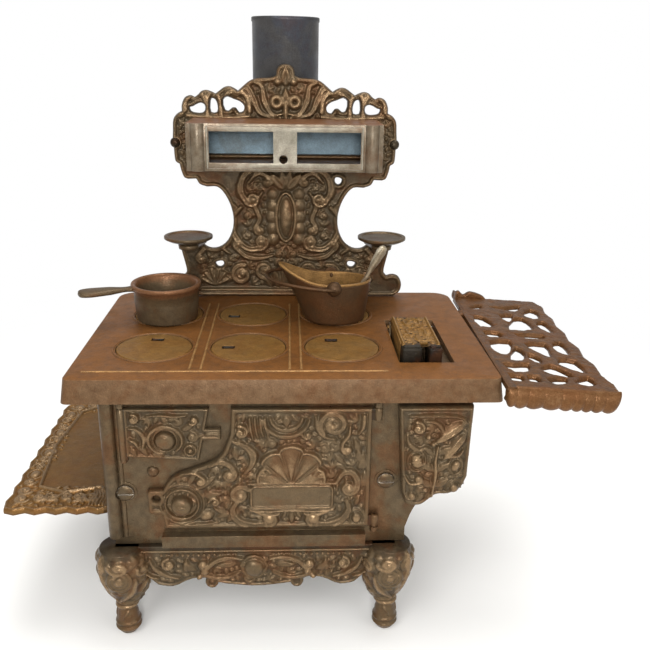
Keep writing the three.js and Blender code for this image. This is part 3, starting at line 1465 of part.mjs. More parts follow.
// Openings of the pierced shelf: corners in shares of its width and length
const pierceShares = [
  [[0.12, 0.85], [0.25, 0.89], [0.24, 0.85], [0.14, 0.83]],
  [[0.36, 0.87], [0.53, 0.88], [0.7, 0.91], [0.6, 0.84], [0.48, 0.85]],
  [[0.67, 0.8], [0.8, 0.87], [0.85, 0.84], [0.81, 0.77], [0.74, 0.75]],
  [[0.39, 0.76], [0.53, 0.78], [0.43, 0.69]],
  [[0.1, 0.73], [0.18, 0.72], [0.23, 0.62], [0.1, 0.61]],
  [[0.52, 0.73], [0.61, 0.74], [0.65, 0.68], [0.62, 0.61], [0.38, 0.59]],
  [[0.73, 0.69], [0.8, 0.71], [0.83, 0.66], [0.81, 0.58], [0.74, 0.62]],
  [[0.09, 0.54], [0.22, 0.54], [0.24, 0.5], [0.11, 0.49]],
  [[0.4, 0.53], [0.67, 0.54], [0.66, 0.51], [0.46, 0.5]],
  [[0.08, 0.43], [0.27, 0.45], [0.24, 0.38], [0.14, 0.31], [0.08, 0.32]],
  [[0.42, 0.43], [0.61, 0.44], [0.6, 0.37], [0.56, 0.31], [0.48, 0.35]],
  [[0.7, 0.45], [0.78, 0.47], [0.8, 0.42], [0.76, 0.34], [0.69, 0.37]],
  [[0.29, 0.38], [0.33, 0.33], [0.25, 0.26], [0.16, 0.26]],
  [[0.37, 0.32], [0.44, 0.29], [0.41, 0.24], [0.35, 0.27]],
  [[0.06, 0.21], [0.16, 0.21], [0.28, 0.22], [0.23, 0.16], [0.12, 0.15]],
  [[0.37, 0.18], [0.49, 0.22], [0.56, 0.19], [0.61, 0.13], [0.46, 0.14]],
  [[0.64, 0.29], [0.76, 0.28], [0.76, 0.17], [0.59, 0.24]],
  [[0.03, 0.11], [0.14, 0.11], [0.13, 0.07], [0.04, 0.07]],
  [[0.2, 0.11], [0.27, 0.11], [0.28, 0.07], [0.2, 0.07]],
  [[0.36, 0.09], [0.53, 0.11], [0.49, 0.07], [0.4, 0.06]],
  [[0.59, 0.08], [0.74, 0.13], [0.76, 0.08], [0.68, 0.06]],
];

// Outer edge of the pierced shelf: its lobes in shares of its width and length
const pierceEdgeShares = [
  [0.93, 0.08], [0.9, 0.16], [0.93, 0.25], [0.9, 0.33], [0.94, 0.42], [0.91, 0.5], [0.95, 0.59], [0.93, 0.67],
  [0.97, 0.76], [0.95, 0.84], [0.99, 0.92],
];

function pierceHole(corners) {
  return smoothLoop(corners.map(([u, v]) => [u * pierceWidth, v * pierceLength]), 2);
}

function pierceOutline() {
  const corner = pierceRoll * 2;
  return [
    [-pierceSkew, 0],
    [pierceWidth - pierceTaper - corner, 0],
    [pierceWidth - pierceTaper, corner],
    ...smoothPath([pierceEdgeShares.map(([u, v]) => [u * pierceWidth, v * pierceLength])], 2),
    [pierceWidth - corner, pierceLength],
    [corner, pierceLength],
    [0, pierceLength - corner],
  ];
}

// The wavy lip that hangs from the front of the shelf
function pierceLipOutline() {
  const steps = pierceWaves * 4;
  const long = pierceWidth - pierceTaper + pierceSkew;
  const line = [];
  for (let i = 0; i <= steps; i++) {
    const along = i / steps;
    const hang = pierceLip * (0.86 + 0.14 * Math.cos(2 * Math.PI * pierceWaves * along + Math.PI));
    line.push([long * along - pierceSkew, -hang]);
  }
  return [...line, [long - pierceSkew - pierceRoll, 0], [pierceRoll - pierceSkew, 0]];
}

function makePiercedShelf() {
  const plate = level(pierceOutline(), -pierceThick, 0, pierceShares.map(pierceHole));
  const bevel = pierceLipThick * casingBevelShare;
  const lip = pillowed(pierceLipOutline(), 0, pierceLipThick, bevel);
  const upstand = block(0, upstandWide, pierceLength - upstandDeep, pierceLength, -pierceThick / 2, upstandHigh);
  const arms = hookY.map((y) => {
    const from = y - pierceFront;
    return block(
      -hookReach, overrun * 2, from - hookWidth / 2, from + hookWidth / 2, -pierceThick, -pierceThick / 4,
    );
  });
  const shelf = solidTurned(join(plate, lip, upstand, ...arms));
  const edge = hobRight + hobFlare / 2 + seatGap;
  const tongues = hookY.map((y) => block(
    edge, edge + hookThick, y - hookWidth / 2, y + hookWidth / 2, pierceTop - pierceThick - hookDrop,
    pierceTop - pierceThick / 2,
  ));
  piece("pierced_shelf", join(shelf, ...tongues), rust);
}

// The shelf droops a little towards its outer edge, about its inner edge
function solidTurned(shelf) {
  const mesh = shelf.getMesh();
  const geometry = new THREE.BufferGeometry();
  geometry.setAttribute("position", new THREE.BufferAttribute(new Float32Array(mesh.vertProperties), 3));
  geometry.setIndex(new THREE.BufferAttribute(new Uint32Array(mesh.triVerts), 1));
  return solid(geometry.rotateY(pierceDroop).translate(pierceLeft, pierceFront, pierceTop));
}

// A wavy edge: places along it and how far each stands out
function waves(count, steps, height) {
  const places = [];
  for (let i = 0; i <= count * steps; i++) {
    const along = i / (count * steps);
    places.push([along, (height / 2) * (1 - Math.cos(2 * Math.PI * count * along))]);
  }
  return places;
}

function makeHearthShelf() {
  const length = hearthBack - hearthCorner - hearthFront;
  const front = waves(hearthFrontWaves, 4, hearthThick / 2)
    .map(([along, out]) => [hearthLeft + hearthWidth * along, hearthFront - out]);
  const side = waves(hearthSideWaves, 4, hearthThick / 3)
    .map(([along, out]) => [hearthLeft - out, hearthFront + length * along]);
  const outline = [
    ...front,
    [hearthRight, hearthBack],
    [hearthLeft + hearthCorner, hearthBack],
    ...side.slice(1).reverse(),
  ];
  const shelf = level(outline, hearthTop - hearthThick, hearthTop);
  const panel = block(
    hearthLeft + hearthBorder, hearthRight - hearthBorder / 2,
    hearthFront + hearthBorder * 1.6, hearthBack - hearthBorder * 1.4,
    hearthTop - hearthRecess, hearthTop + overrun,
  );
  const tongueEdge = bodyLeft - seatGap - hookThick;
  const tongues = hearthHookY.map((y) => join(
    block(tongueEdge, tongueEdge + hookThick, y - hookWidth / 2, y + hookWidth / 2,
      hearthTop - hearthThick - hookDrop, hearthTop - hearthRecess),
    block(hearthRight - hookThick, tongueEdge + hookThick, y - hookWidth / 2, y + hookWidth / 2,
      hearthTop - hearthThick, hearthTop - hearthRecess),
  ));
  piece("hearth_shelf", join(cut(shelf, panel), ...tongues), olive);
}

// Pots and tools

function makePan() {
  const body = turnedUp(panX, panY, panFoot, [
    [0, 0],
    [panBaseRadius - panWall / 2, 0],
    [panBaseRadius, panWall / 2],
    [panRadius, panHeight - panRimHeight],
    [panRimRadius, panHeight - panRimHeight + panWall / 3],
    [panRimRadius, panHeight],
    [panRadius, panHeight],
    [panBaseRadius - panWall / 2, panWall],
    [0, panWall],
  ], arcSides * 2);
  const tip = panRimRadius + panHandleLength;
  const start = panRimRadius - panWall;
  const half = smoothPath([[
    [start, panHandleNeck * 1.3],
    [start + (tip - start) * 0.18, panHandleNeck],
    [start + (tip - start) * 0.5, panHandleHalf * 0.8],
    [start + (tip - start) * 0.8, panHandleHalf],
    [start + (tip - start) * 0.96, panHandleHalf * 0.62],
    [tip, 0],
  ]]);
  const outline = [...half, ...half.slice(0, -1).map(([x, y]) => [x, -y]).reverse()];
  const top = panFoot + panHeight - panWall / 4;
  const geometry = new THREE.ExtrudeGeometry(shapeOf(outline), { depth: panHandleThick, bevelEnabled: false });
  geometry.rotateZ(panHandleAngle).translate(panX, panY, top - panHandleThick);
  piece("saucepan", join(body, solid(geometry)), iron);
}

function hodRings(inset, foot, lift) {
  const levelShares = [0, 0.34, 0.7, 1];
  return levelShares.map((s) => {
    const ring = [];
    for (let i = 0; i < hodSides; i++) {
      const turn = (2 * Math.PI * i) / hodSides;
      const spout = Math.pow(Math.max(0, -Math.cos(turn)), 3) * Math.pow(s, 1.5);
      const swell = Math.pow(s, 0.8);
      const rx = hodBaseRx + (hodRimRx - hodBaseRx) * swell - inset + hodSpoutReach * spout;
      const ry = hodBaseRy + (hodRimRy - hodBaseRy) * swell - inset;
      const top = hodHeight + hodSpoutRise * Math.pow(Math.max(0, -Math.cos(turn)), 3) + lift;
      const height = foot + s * (top - foot);
      ring.push([hodX - hodLean * s + rx * Math.cos(turn), hodY + ry * Math.sin(turn), hodFoot + height]);
    }
    return ring;
  });
}

function makeScuttle() {
  let hod = loft(hodRings(0, 0, 0)).subtract(loft(hodRings(hodWall, hodWall, overrun / 4)));
  hod = hod.subtract(loft(hodRings(hodWall, hodHeight, overrun * 2)));
  const ears = [-1, 1].map((side) => ball(bailX, hodY + side * (hodRimRy + earBall / 5), bailZ, earBall));
  hod = join(hod, ...ears);
  const reach = hodRimRy + earBall * 3;
  const bore = pinY(bailX, bailZ, hodY - reach, hodY + reach, bailWire + pinGap);
  piece("scuttle", hod.subtract(bore), iron);
}

function makeBail() {
  const inner = hodRimRy - hodWall * 2;
  const points = [];
  const bend = 12;
  for (let i = 0; i <= bend; i++) {
    const turn = (Math.PI * i) / bend;
    points.push(new THREE.Vector3(-bailLength * Math.sin(turn) ** 0.7, -bailHalf * Math.cos(turn), 0));
  }
  const section = new THREE.Shape();
  section.absarc(0, 0, bailWire, 0, 2 * Math.PI);
  const geometry = new THREE.ExtrudeGeometry(section, {
    steps: 30, bevelEnabled: false, curveSegments: 4, extrudePath: new THREE.CatmullRomCurve3(points),
  });
  const bow = solid(geometry.rotateY(bailRise).translate(bailX, hodY, bailZ));
  const pins = [
    pinY(bailX, bailZ, hodY - bailHalf - bailWire / 2, hodY - inner, bailWire),
    pinY(bailX, bailZ, hodY + inner, hodY + bailHalf + bailWire / 2, bailWire),
  ];
  piece("scuttle_bail", join(bow, ...pins), iron);
}

function makeShovel() {
  const blade = [
    [-shovelBladeHalf * 0.8, 0], [shovelBladeHalf * 0.8, 0], [shovelBladeHalf, shovelBladeLength * 0.8],
    [shovelHandleHalf * 0.7, shovelBladeLength], [-shovelHandleHalf * 0.7, shovelBladeLength],
    [-shovelBladeHalf, shovelBladeLength * 0.8],
  ];
  const grip = smoothPath([[
    [shovelHandleHalf * 0.7, shovelBladeLength * 0.9],
    [shovelHandleHalf * 0.75, shovelBladeLength + (shovelLength - shovelBladeLength) * 0.4],
    [shovelHandleHalf, shovelBladeLength + (shovelLength - shovelBladeLength) * 0.8],
    [shovelHandleHalf * 0.8, shovelLength * 0.985],
    [0, shovelLength],
  ]]);
  const handle = [...grip, ...grip.slice(0, -1).map(([x, y]) => [-x, y]).reverse()];
  const flat = (outline) => new THREE.ExtrudeGeometry(shapeOf(outline), { depth: shovelThick, bevelEnabled: false });
  const grips = new THREE.SphereGeometry(1, pinSides, pinSides / 2)
    .scale(shovelHandleHalf, shovelGripRadius, shovelGripHalf)
    .translate(0, 0, shovelLength - shovelGripHalf);
  const place = (geometry) => geometry.rotateZ(Math.PI / 2).rotateY(shovelTilt).translate(shovelX, hodY, shovelZ);
  const parts = [blade, handle].map((outline) =>
    solid(place(flat(outline).translate(0, 0, -shovelThick / 2).rotateX(Math.PI / 2))));
  piece("shovel", join(...parts, solid(place(grips))), gold);
}

makeHob();
makeLids();
makeFront();
makeEnds();
makeFirebox();
makeBolts();
makeOvenDoor();
makeFireDoor();
makeReservoir();
makeReservoirLid();
makeBase();
makeHighBack();
makeBackFasteners();
makeCloset();
makeTeaShelves();
makePipe();
makePiercedShelf();
makeHearthShelf();
makePan();
makeScuttle();
makeBail();
makeShovel();

// The part's own frame: the middle of its outer box, on the floor
const outer = new THREE.Box3().setFromObject(stove);
stove.position.set(-(outer.min.x + outer.max.x) / 2, -(outer.min.y + outer.max.y) / 2, -outer.min.z);

export default stove;
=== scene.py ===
"""The looks of a toy cast iron cooking range, laid out as a Blender add-on and run as a script.

Drawing sizes are in millimetres: X from the middle of the hob, Y from its front edge, Z from the floor.
"""

from math import atan2, cos, pi, radians, sin

import bmesh
import bpy
import numpy as np
from bpy.props import FloatProperty, FloatVectorProperty, IntProperty, PointerProperty
from mathutils import Matrix, Vector
from mathutils.geometry import delaunay_2d_cdt


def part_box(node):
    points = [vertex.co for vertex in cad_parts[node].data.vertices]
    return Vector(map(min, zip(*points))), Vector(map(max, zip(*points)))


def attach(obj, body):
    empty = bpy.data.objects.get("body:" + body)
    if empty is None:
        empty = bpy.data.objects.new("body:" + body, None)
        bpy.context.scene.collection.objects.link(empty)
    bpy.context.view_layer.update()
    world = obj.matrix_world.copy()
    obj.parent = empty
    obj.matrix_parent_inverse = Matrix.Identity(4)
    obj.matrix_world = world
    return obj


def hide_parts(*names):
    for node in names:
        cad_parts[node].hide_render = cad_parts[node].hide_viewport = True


bl_info = {
    "name": "Toy Cooking Range",
    "version": (1, 0, 0),
    "blender": (4, 5, 0),
    "location": "3D View > Sidebar > Range",
    "description": "Builds the looks of a toy cast iron cooking range over its frame",
    "category": "Object",
}

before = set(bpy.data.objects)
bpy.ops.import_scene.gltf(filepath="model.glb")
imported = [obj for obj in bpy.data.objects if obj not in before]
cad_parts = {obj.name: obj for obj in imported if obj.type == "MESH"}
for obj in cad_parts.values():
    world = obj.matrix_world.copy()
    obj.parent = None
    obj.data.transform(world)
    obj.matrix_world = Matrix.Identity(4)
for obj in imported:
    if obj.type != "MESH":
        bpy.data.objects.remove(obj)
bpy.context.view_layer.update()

MM = 0.001
TAU = 2 * pi
FAR = 1e4  # a limit in millimetres that no part of the stove reaches

# Where a plate is cut to find its outline, from its rear, in shares of its thickness
SECTION_SHARE = 0.27

# Where the drawing's zero stands in the frame, from the middle front lid
LID_MIDDLE = (-22.0, 49.0)
lid_low, lid_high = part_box("lid_front_middle")
ZERO_X = (lid_low.x + lid_high.x) / 2 - LID_MIDDLE[0] * MM
ZERO_Y = (lid_low.y + lid_high.y) / 2 - LID_MIDDLE[1] * MM


def in_frame(points):
    """Drawing millimetres to frame metres."""
    places = np.asarray(points, dtype=float).reshape(-1, 3) * MM
    return places + np.array([ZERO_X, ZERO_Y, 0.0])


def spot(place):
    """One place in drawing millimetres as a vector in the frame."""
    return Vector(in_frame(place)[0])


# Lines and outlines

def full_turn(count):
    """Even angles all round."""
    return np.linspace(0, TAU, count, endpoint=False)


def smooth(points, steps=6, closed=False):
    """A smooth line through the points."""
    pts = np.asarray(points, dtype=float)
    if len(pts) < 3:
        return pts
    if closed:
        pts = np.vstack([pts[-1], pts, pts[0], pts[1]])
    else:
        pts = np.vstack([2 * pts[0] - pts[1], pts, 2 * pts[-1] - pts[-2]])
    t = np.linspace(0, 1, steps, endpoint=False)[:, None]
    path = []
    for a, b, c, d in zip(pts, pts[1:], pts[2:], pts[3:]):
        path.append(0.5 * (2 * b + (c - a) * t + (2 * a - 5 * b + 4 * c - d) * t ** 2
                           + (3 * b - a - 3 * c + d) * t ** 3))
    path = np.vstack(path)
    return path if closed else np.vstack([path, pts[-2]])


def circle(x, y, rx, ry=None, count=96):
    turn = full_turn(count)
    return np.stack([x + rx * np.cos(turn), y + (ry or rx) * np.sin(turn)], axis=1)


def rounded(x0, x1, y0, y1, r, steps=6):
    """A rectangle with round corners, counter-clockwise."""
    corners = [(x1 - r, y0 + r, -0.25), (x1 - r, y1 - r, 0.0), (x0 + r, y1 - r, 0.25), (x0 + r, y0 + r, 0.5)]
    points = []
    for x, y, turn in corners:
        for i in range(steps + 1):
            a = (turn + 0.25 * i / steps) * TAU
            points.append((x + r * cos(a), y + r * sin(a)))
    return np.array(points)


def nearest(points, loops):
    """Distance from each point to the loops (above 0 inside) and the nearest place on them."""
    best = np.full(len(points), 1e9)
    place = np.zeros_like(points)
    inside = np.zeros(len(points), dtype=bool)
    for loop in loops:
        loop = np.asarray(loop, dtype=float)
        for a, b in zip(loop, np.roll(loop, -1, axis=0)):
            edge = b - a
            length = edge @ edge
            if length < 1e-12:
                continue
            t = np.clip(((points - a) @ edge) / length, 0, 1)
            near = a + t[:, None] * edge
            d = np.hypot(*(points - near).T)
            closer = d < best
            best[closer] = d[closer]
            place[closer] = near[closer]
            if edge[1] != 0:
                crosses = (a[1] > points[:, 1]) != (b[1] > points[:, 1])
                at = a[0] + (points[:, 1] - a[1]) * edge[0] / edge[1]
                inside ^= crosses & (points[:, 0] < at)
    return np.where(inside, best, -best), place


# Sizes of the curls, leaves and buds that fill a place
BIG_TO_SMALL = (4.6, 3.4, 2.5, 1.8, 1.3)
SMALL = BIG_TO_SMALL[1:]


class Relief:
    """Ornament drawn on a grid over a flat sheet. Heights are shares of its rise, in millimetres."""

    def __init__(self, x0, x1, y0, y1, cell):
        self.cell = cell
        xs = np.arange(x0, x1 + cell, cell)
        ys = np.arange(y0, y1 + cell, cell)
        self.u, self.v = np.meshgrid(xs, ys, indexing="ij")
        self.h = np.zeros_like(self.u)
        self.depth = np.full_like(self.u, 99.0)
        self.rise = 1

    def within(self, loops):
        """Remembers how far each place is inside the outlines."""
        self.depth, self.near = nearest(np.stack([self.u.ravel(), self.v.ravel()], axis=1), loops)
        self.depth = self.depth.reshape(self.u.shape)
        return self

    def window(self, x0, x1, y0, y1):
        xs, ys = self.u[:, 0], self.v[0]
        return (slice(np.searchsorted(xs, x0), np.searchsorted(xs, x1)),
                slice(np.searchsorted(ys, y0), np.searchsorted(ys, y1)))

    def raise_to(self, area, height):
        self.h[area] = np.maximum(self.h[area], height * self.rise)

    def ribbon(self, points, wide, height, hollow=0.0, steps=6, closed=False):
        """A band along a line: wide is its half width at the start, middle and end."""
        path = smooth(points, steps, closed)
        if closed:
            path = np.vstack([path, path[0]])
        widths = (wide, wide, wide) if np.isscalar(wide) else wide
        big = max(widths)
        area = self.window(path[:, 0].min() - big, path[:, 0].max() + big,
                           path[:, 1].min() - big, path[:, 1].max() + big)
        u, v = self.u[area], self.v[area]
        if u.size == 0:
            return
        run = np.concatenate([[0], np.cumsum(np.hypot(*np.diff(path, axis=0).T))])
        run /= max(run[-1], 1e-9)
        ratio = np.full(u.shape, 9.0)
        for a, b, s, e in zip(path, path[1:], run, run[1:]):
            edge = b - a
            length = max(edge @ edge, 1e-12)
            t = np.clip(((u - a[0]) * edge[0] + (v - a[1]) * edge[1]) / length, 0, 1)
            d = np.hypot(u - a[0] - t * edge[0], v - a[1] - t * edge[1])
            w = np.interp(s + (e - s) * t, (0, 0.5, 1), widths)
            ratio = np.minimum(ratio, d / np.maximum(w, 1e-3))
        body = np.sqrt(np.clip(1 - ratio ** 2, 0, 1))
        dip = 1 - hollow * np.clip(1 - (ratio / 0.6) ** 2, 0, 1)
        self.raise_to(area, height * body * dip)

    def spiral(self, x, y, radius, turns, start, wide, height, way=1, hollow=0.0):
        """A scroll that curls inwards from its radius to an eye. Start and turns are in full turns."""
        count = int(10 * abs(turns)) + 4
        t = np.linspace(0, 1, count)
        turn = (start + way * turns * t) * TAU
        r = radius * (1 - 0.86 * t ** 0.85)
        line = np.stack([x + r * np.cos(turn), y + r * np.sin(turn)], axis=1)
        self.ribbon(line, (wide, wide * 0.85, wide * 0.55), height, hollow, steps=3)
        self.boss(line[-1][0], line[-1][1], wide * 1.25, wide * 1.25, height * 1.15)

    def scroll(self, points, wide, height, radius, turns=1.1, way=1, hollow=0.0):
        """A stem that ends in a curl of the radius; way 1 curls to the left of its run."""
        pts = smooth(points, 6)
        run = pts[-1] - pts[-3]
        run /= max(np.hypot(*run), 1e-9)
        side = np.array([-run[1], run[0]]) * way
        middle = pts[-1] + side * radius
        start = atan2(*(pts[-1] - middle)[::-1]) / TAU
        self.ribbon(points, (wide * 0.5, wide, wide), height, hollow)
        self.spiral(middle[0], middle[1], radius, turns, start, wide, height, way, hollow)

    def boss(self, x, y, rx, ry, height, turn=0.0):
        area = self.window(x - max(rx, ry), x + max(rx, ry), y - max(rx, ry), y + max(rx, ry))
        du, dv = self.u[area] - x, self.v[area] - y
        c, s = cos(turn), sin(turn)
        ratio = np.hypot((du * c + dv * s) / rx, (dv * c - du * s) / ry)
        self.raise_to(area, height * np.sqrt(np.clip(1 - ratio ** 2, 0, 1)))

    def ring(self, x, y, rx, wide, height, ry=None):
        self.ribbon(circle(x, y, rx, ry, 20), wide, height, steps=3, closed=True)

    def petal(self, x, y, turn, length, wide, height, fold=0.35):
        """A leaf from its root along the turn, given in full turns, folded along its middle."""
        reach = length + wide
        area = self.window(x - reach, x + reach, y - reach, y + reach)
        du, dv = self.u[area] - x, self.v[area] - y
        c, s = cos(turn * TAU), sin(turn * TAU)
        along = (du * c + dv * s) / length
        across = np.abs(dv * c - du * s)
        inside = (along > 0) & (along < 1)
        share = np.clip(along, 1e-4, 1 - 1e-4)
        half = wide * np.sin(pi * share ** 0.75) + 1e-6
        ratio = across / half
        body = np.sqrt(np.clip(1 - ratio ** 2, 0, 1)) * (0.55 + 0.45 * share)
        crease = 1 - fold * np.clip(1 - ratio / 0.45, 0, 1)
        self.raise_to(area, np.where(inside & (ratio < 1), height * body * crease, 0))

    def shell(self, x, y, radius, ribs, spread, height, turn=0.25):
        """A scallop shell: ribs fan out from its root to a scalloped rim."""
        area = self.window(x - radius * 1.2, x + radius * 1.2, y - radius * 1.2, y + radius * 1.2)
        du, dv = self.u[area] - x, self.v[area] - y
        away = np.hypot(du, dv)
        angle = (np.arctan2(dv, du) / TAU - turn + 0.5) % 1 - 0.5
        step = 2 * spread / ribs
        rib = np.clip((angle + spread) / step, 0, ribs - 1e-6)
        place = rib % 1 - 0.5
        side = np.abs(np.floor(rib) - (ribs - 1) / 2) / max((ribs - 1) / 2, 1)
        edge = radius * (1 - 0.2 * side ** 1.5) * (0.88 + 0.12 * np.sqrt(np.clip(1 - (2 * place) ** 2, 0, 1)))
        share = away / edge
        dish = 0.06 + 0.66 * np.sqrt(np.clip(1 - (2.5 * place) ** 2, 0, 1)) * np.clip(1 - share ** 6, 0, 1)
        rim = np.exp(-((share - 0.92) / 0.06) ** 2) * 0.85
        ridge = 0.8 * np.exp(-((np.abs(place) - 0.5) / 0.075) ** 2) * np.clip(share * 2, 0, 1)
        inside = (np.abs(angle) < spread) & (share < 1)
        fall = np.clip((1 - share) / 0.05, 0, 1)
        self.raise_to(area, np.where(inside, height * np.maximum(np.maximum(dish, rim), ridge) * fall, 0))

    def panel(self, loop, height, rim=0.0, rim_wide=1.0):
        """A bare raised field, with or without a rim."""
        loop = np.asarray(loop, dtype=float)
        area = self.window(loop[:, 0].min(), loop[:, 0].max(), loop[:, 1].min(), loop[:, 1].max())
        u, v = self.u[area], self.v[area]
        d, _ = nearest(np.stack([u.ravel(), v.ravel()], axis=1), [loop])
        d = d.reshape(u.shape)
        level = height * np.clip(d / 0.8, 0, 1)
        edge = rim * np.sqrt(np.clip(1 - ((d - rim_wide) / rim_wide) ** 2, 0, 1))
        self.h[area] = np.where(d > 0, (level + edge) * self.rise, self.h[area])

    def fill(self, area, height, seed, margin=1.4, sizes=BIG_TO_SMALL, heart=(0, 0)):
        """Packs the bare places with curls, leaves and buds that run round the heart."""
        made = np.random.default_rng(seed)
        here = np.zeros(self.h.shape, dtype=bool)
        here[self.window(*area)] = True
        here &= self.depth > margin
        for size in sizes:
            reach = max(int(round(size / self.cell)), 1)
            busy = (self.h > 0.22 * height * self.rise) | ~here
            total = np.pad(busy.cumsum(axis=0).cumsum(axis=1), ((1, 0), (1, 0)))
            side = 2 * reach + 1
            if min(self.h.shape) <= side:
                continue
            count = total[side:, side:] - total[:-side, side:] - total[side:, :-side] + total[:-side, :-side]
            room = np.argwhere(count == 0) + reach
            made.shuffle(room)
            taken = np.zeros(self.h.shape, dtype=bool)
            for i, j in room:
                if taken[i, j]:
                    continue
                taken[max(i - 2 * reach, 0):i + 2 * reach, max(j - 2 * reach, 0):j + 2 * reach] = True
                self.filler(self.u[i, j], self.v[i, j], size, height * made.uniform(0.8, 1.0), heart, made)

    def filler(self, x, y, size, height, heart, made):
        """One curl, leaf spray, leaf or bud of a size."""
        flow = atan2(y - heart[1], x - heart[0]) / TAU + 0.25
        way = 1 if made.random() < 0.5 else -1
        if size > 3.0:
            self.spiral(x, y, size * 1.05, 1.5, flow, size * 0.3, height, way, 0.25)
            self.petal(x, y, flow + 0.25 * way, size * 2.0, size * 0.36, height * 0.8)
        elif size > 2.2:
            root_x, root_y = x - size * cos(flow * TAU), y - size * sin(flow * TAU)
            for turn in (-0.11, 0.0, 0.11):
                self.petal(root_x, root_y, flow + turn * way, size * 2.3, size * 0.42, height)
        elif size > 1.5:
            turn = flow + 0.12 * way
            self.petal(x - size * 1.3 * cos(turn * TAU), y - size * 1.3 * sin(turn * TAU), turn,
                       size * 2.6, size * 0.75, height)
        else:
            self.boss(x, y, size * 1.25, size * 0.95, height * 0.8, flow * TAU)

    def age(self, softer, *pits):
        """Rounds the ornament off, then adds the uneven skin: amount, spacing and seed of each noise."""
        for _ in range(softer):
            for axis in (0, 1):
                h = np.pad(self.h, [(1, 1) if a == axis else (0, 0) for a in (0, 1)], mode="edge")
                low = h[:-2] if axis == 0 else h[:, :-2]
                mid = h[1:-1] if axis == 0 else h[:, 1:-1]
                high = h[2:] if axis == 0 else h[:, 2:]
                self.h = (low + 2 * mid + high) / 4
        for amount, spacing, seed in pits:
            self.pit(amount, spacing, seed)

    def pit(self, amount, spacing, seed):
        """The uneven skin of an old casting: soft noise of one spacing."""
        made = np.random.default_rng(seed)
        nx = int((self.u.max() - self.u.min()) / spacing) + 3
        ny = int((self.v.max() - self.v.min()) / spacing) + 3
        coarse = made.normal(0, 1, (nx, ny))
        x = (self.u - self.u.min()) / spacing
        y = (self.v - self.v.min()) / spacing
        i, j = x.astype(int), y.astype(int)
        fx, fy = x - i, y - j
        fx, fy = fx * fx * (3 - 2 * fx), fy * fy * (3 - 2 * fy)
        low = coarse[i, j] * (1 - fy) + coarse[i, j + 1] * fy
        high = coarse[i + 1, j] * (1 - fy) + coarse[i + 1, j + 1] * fy
        self.h += amount * (low * (1 - fx) + high * fx)


# Meshes

def placed(name, data):
    """A new object in the scene."""
    made = bpy.data.objects.new(name, data)
    bpy.context.scene.collection.objects.link(made)
    return made


def set_relief(mesh, values):
    """Gives every vertex the value that its finish turns into hollows and worn places."""
    layer = mesh.attributes.get("relief") or mesh.attributes.new("relief", "FLOAT", "POINT")
    layer.data.foreach_set("value", np.broadcast_to(values, len(mesh.vertices)).astype(float).copy())


def vertex_data(mesh):
    """The vertices' places in frame metres and their relief values."""
    co, values = np.zeros(len(mesh.vertices) * 3), np.full(len(mesh.vertices), 0.3)
    mesh.vertices.foreach_get("co", co)
    if "relief" in mesh.attributes:
        mesh.attributes["relief"].data.foreach_get("value", values)
    return co.reshape(-1, 3), values


def new_piece(name, verts, faces, flat_from=None, relief=0.35):
    """A mesh object from places in drawing millimetres."""
    mesh = bpy.data.meshes.new(name)
    mesh.from_pydata(in_frame(verts).tolist(), [], faces)
    smooth_flags = np.ones(len(mesh.polygons), dtype=bool)
    if flat_from is not None:
        smooth_flags[flat_from:] = False
    mesh.polygons.foreach_set("use_smooth", smooth_flags)
    set_relief(mesh, relief)
    mesh.validate()
    mesh.update()
    return placed(name, mesh)


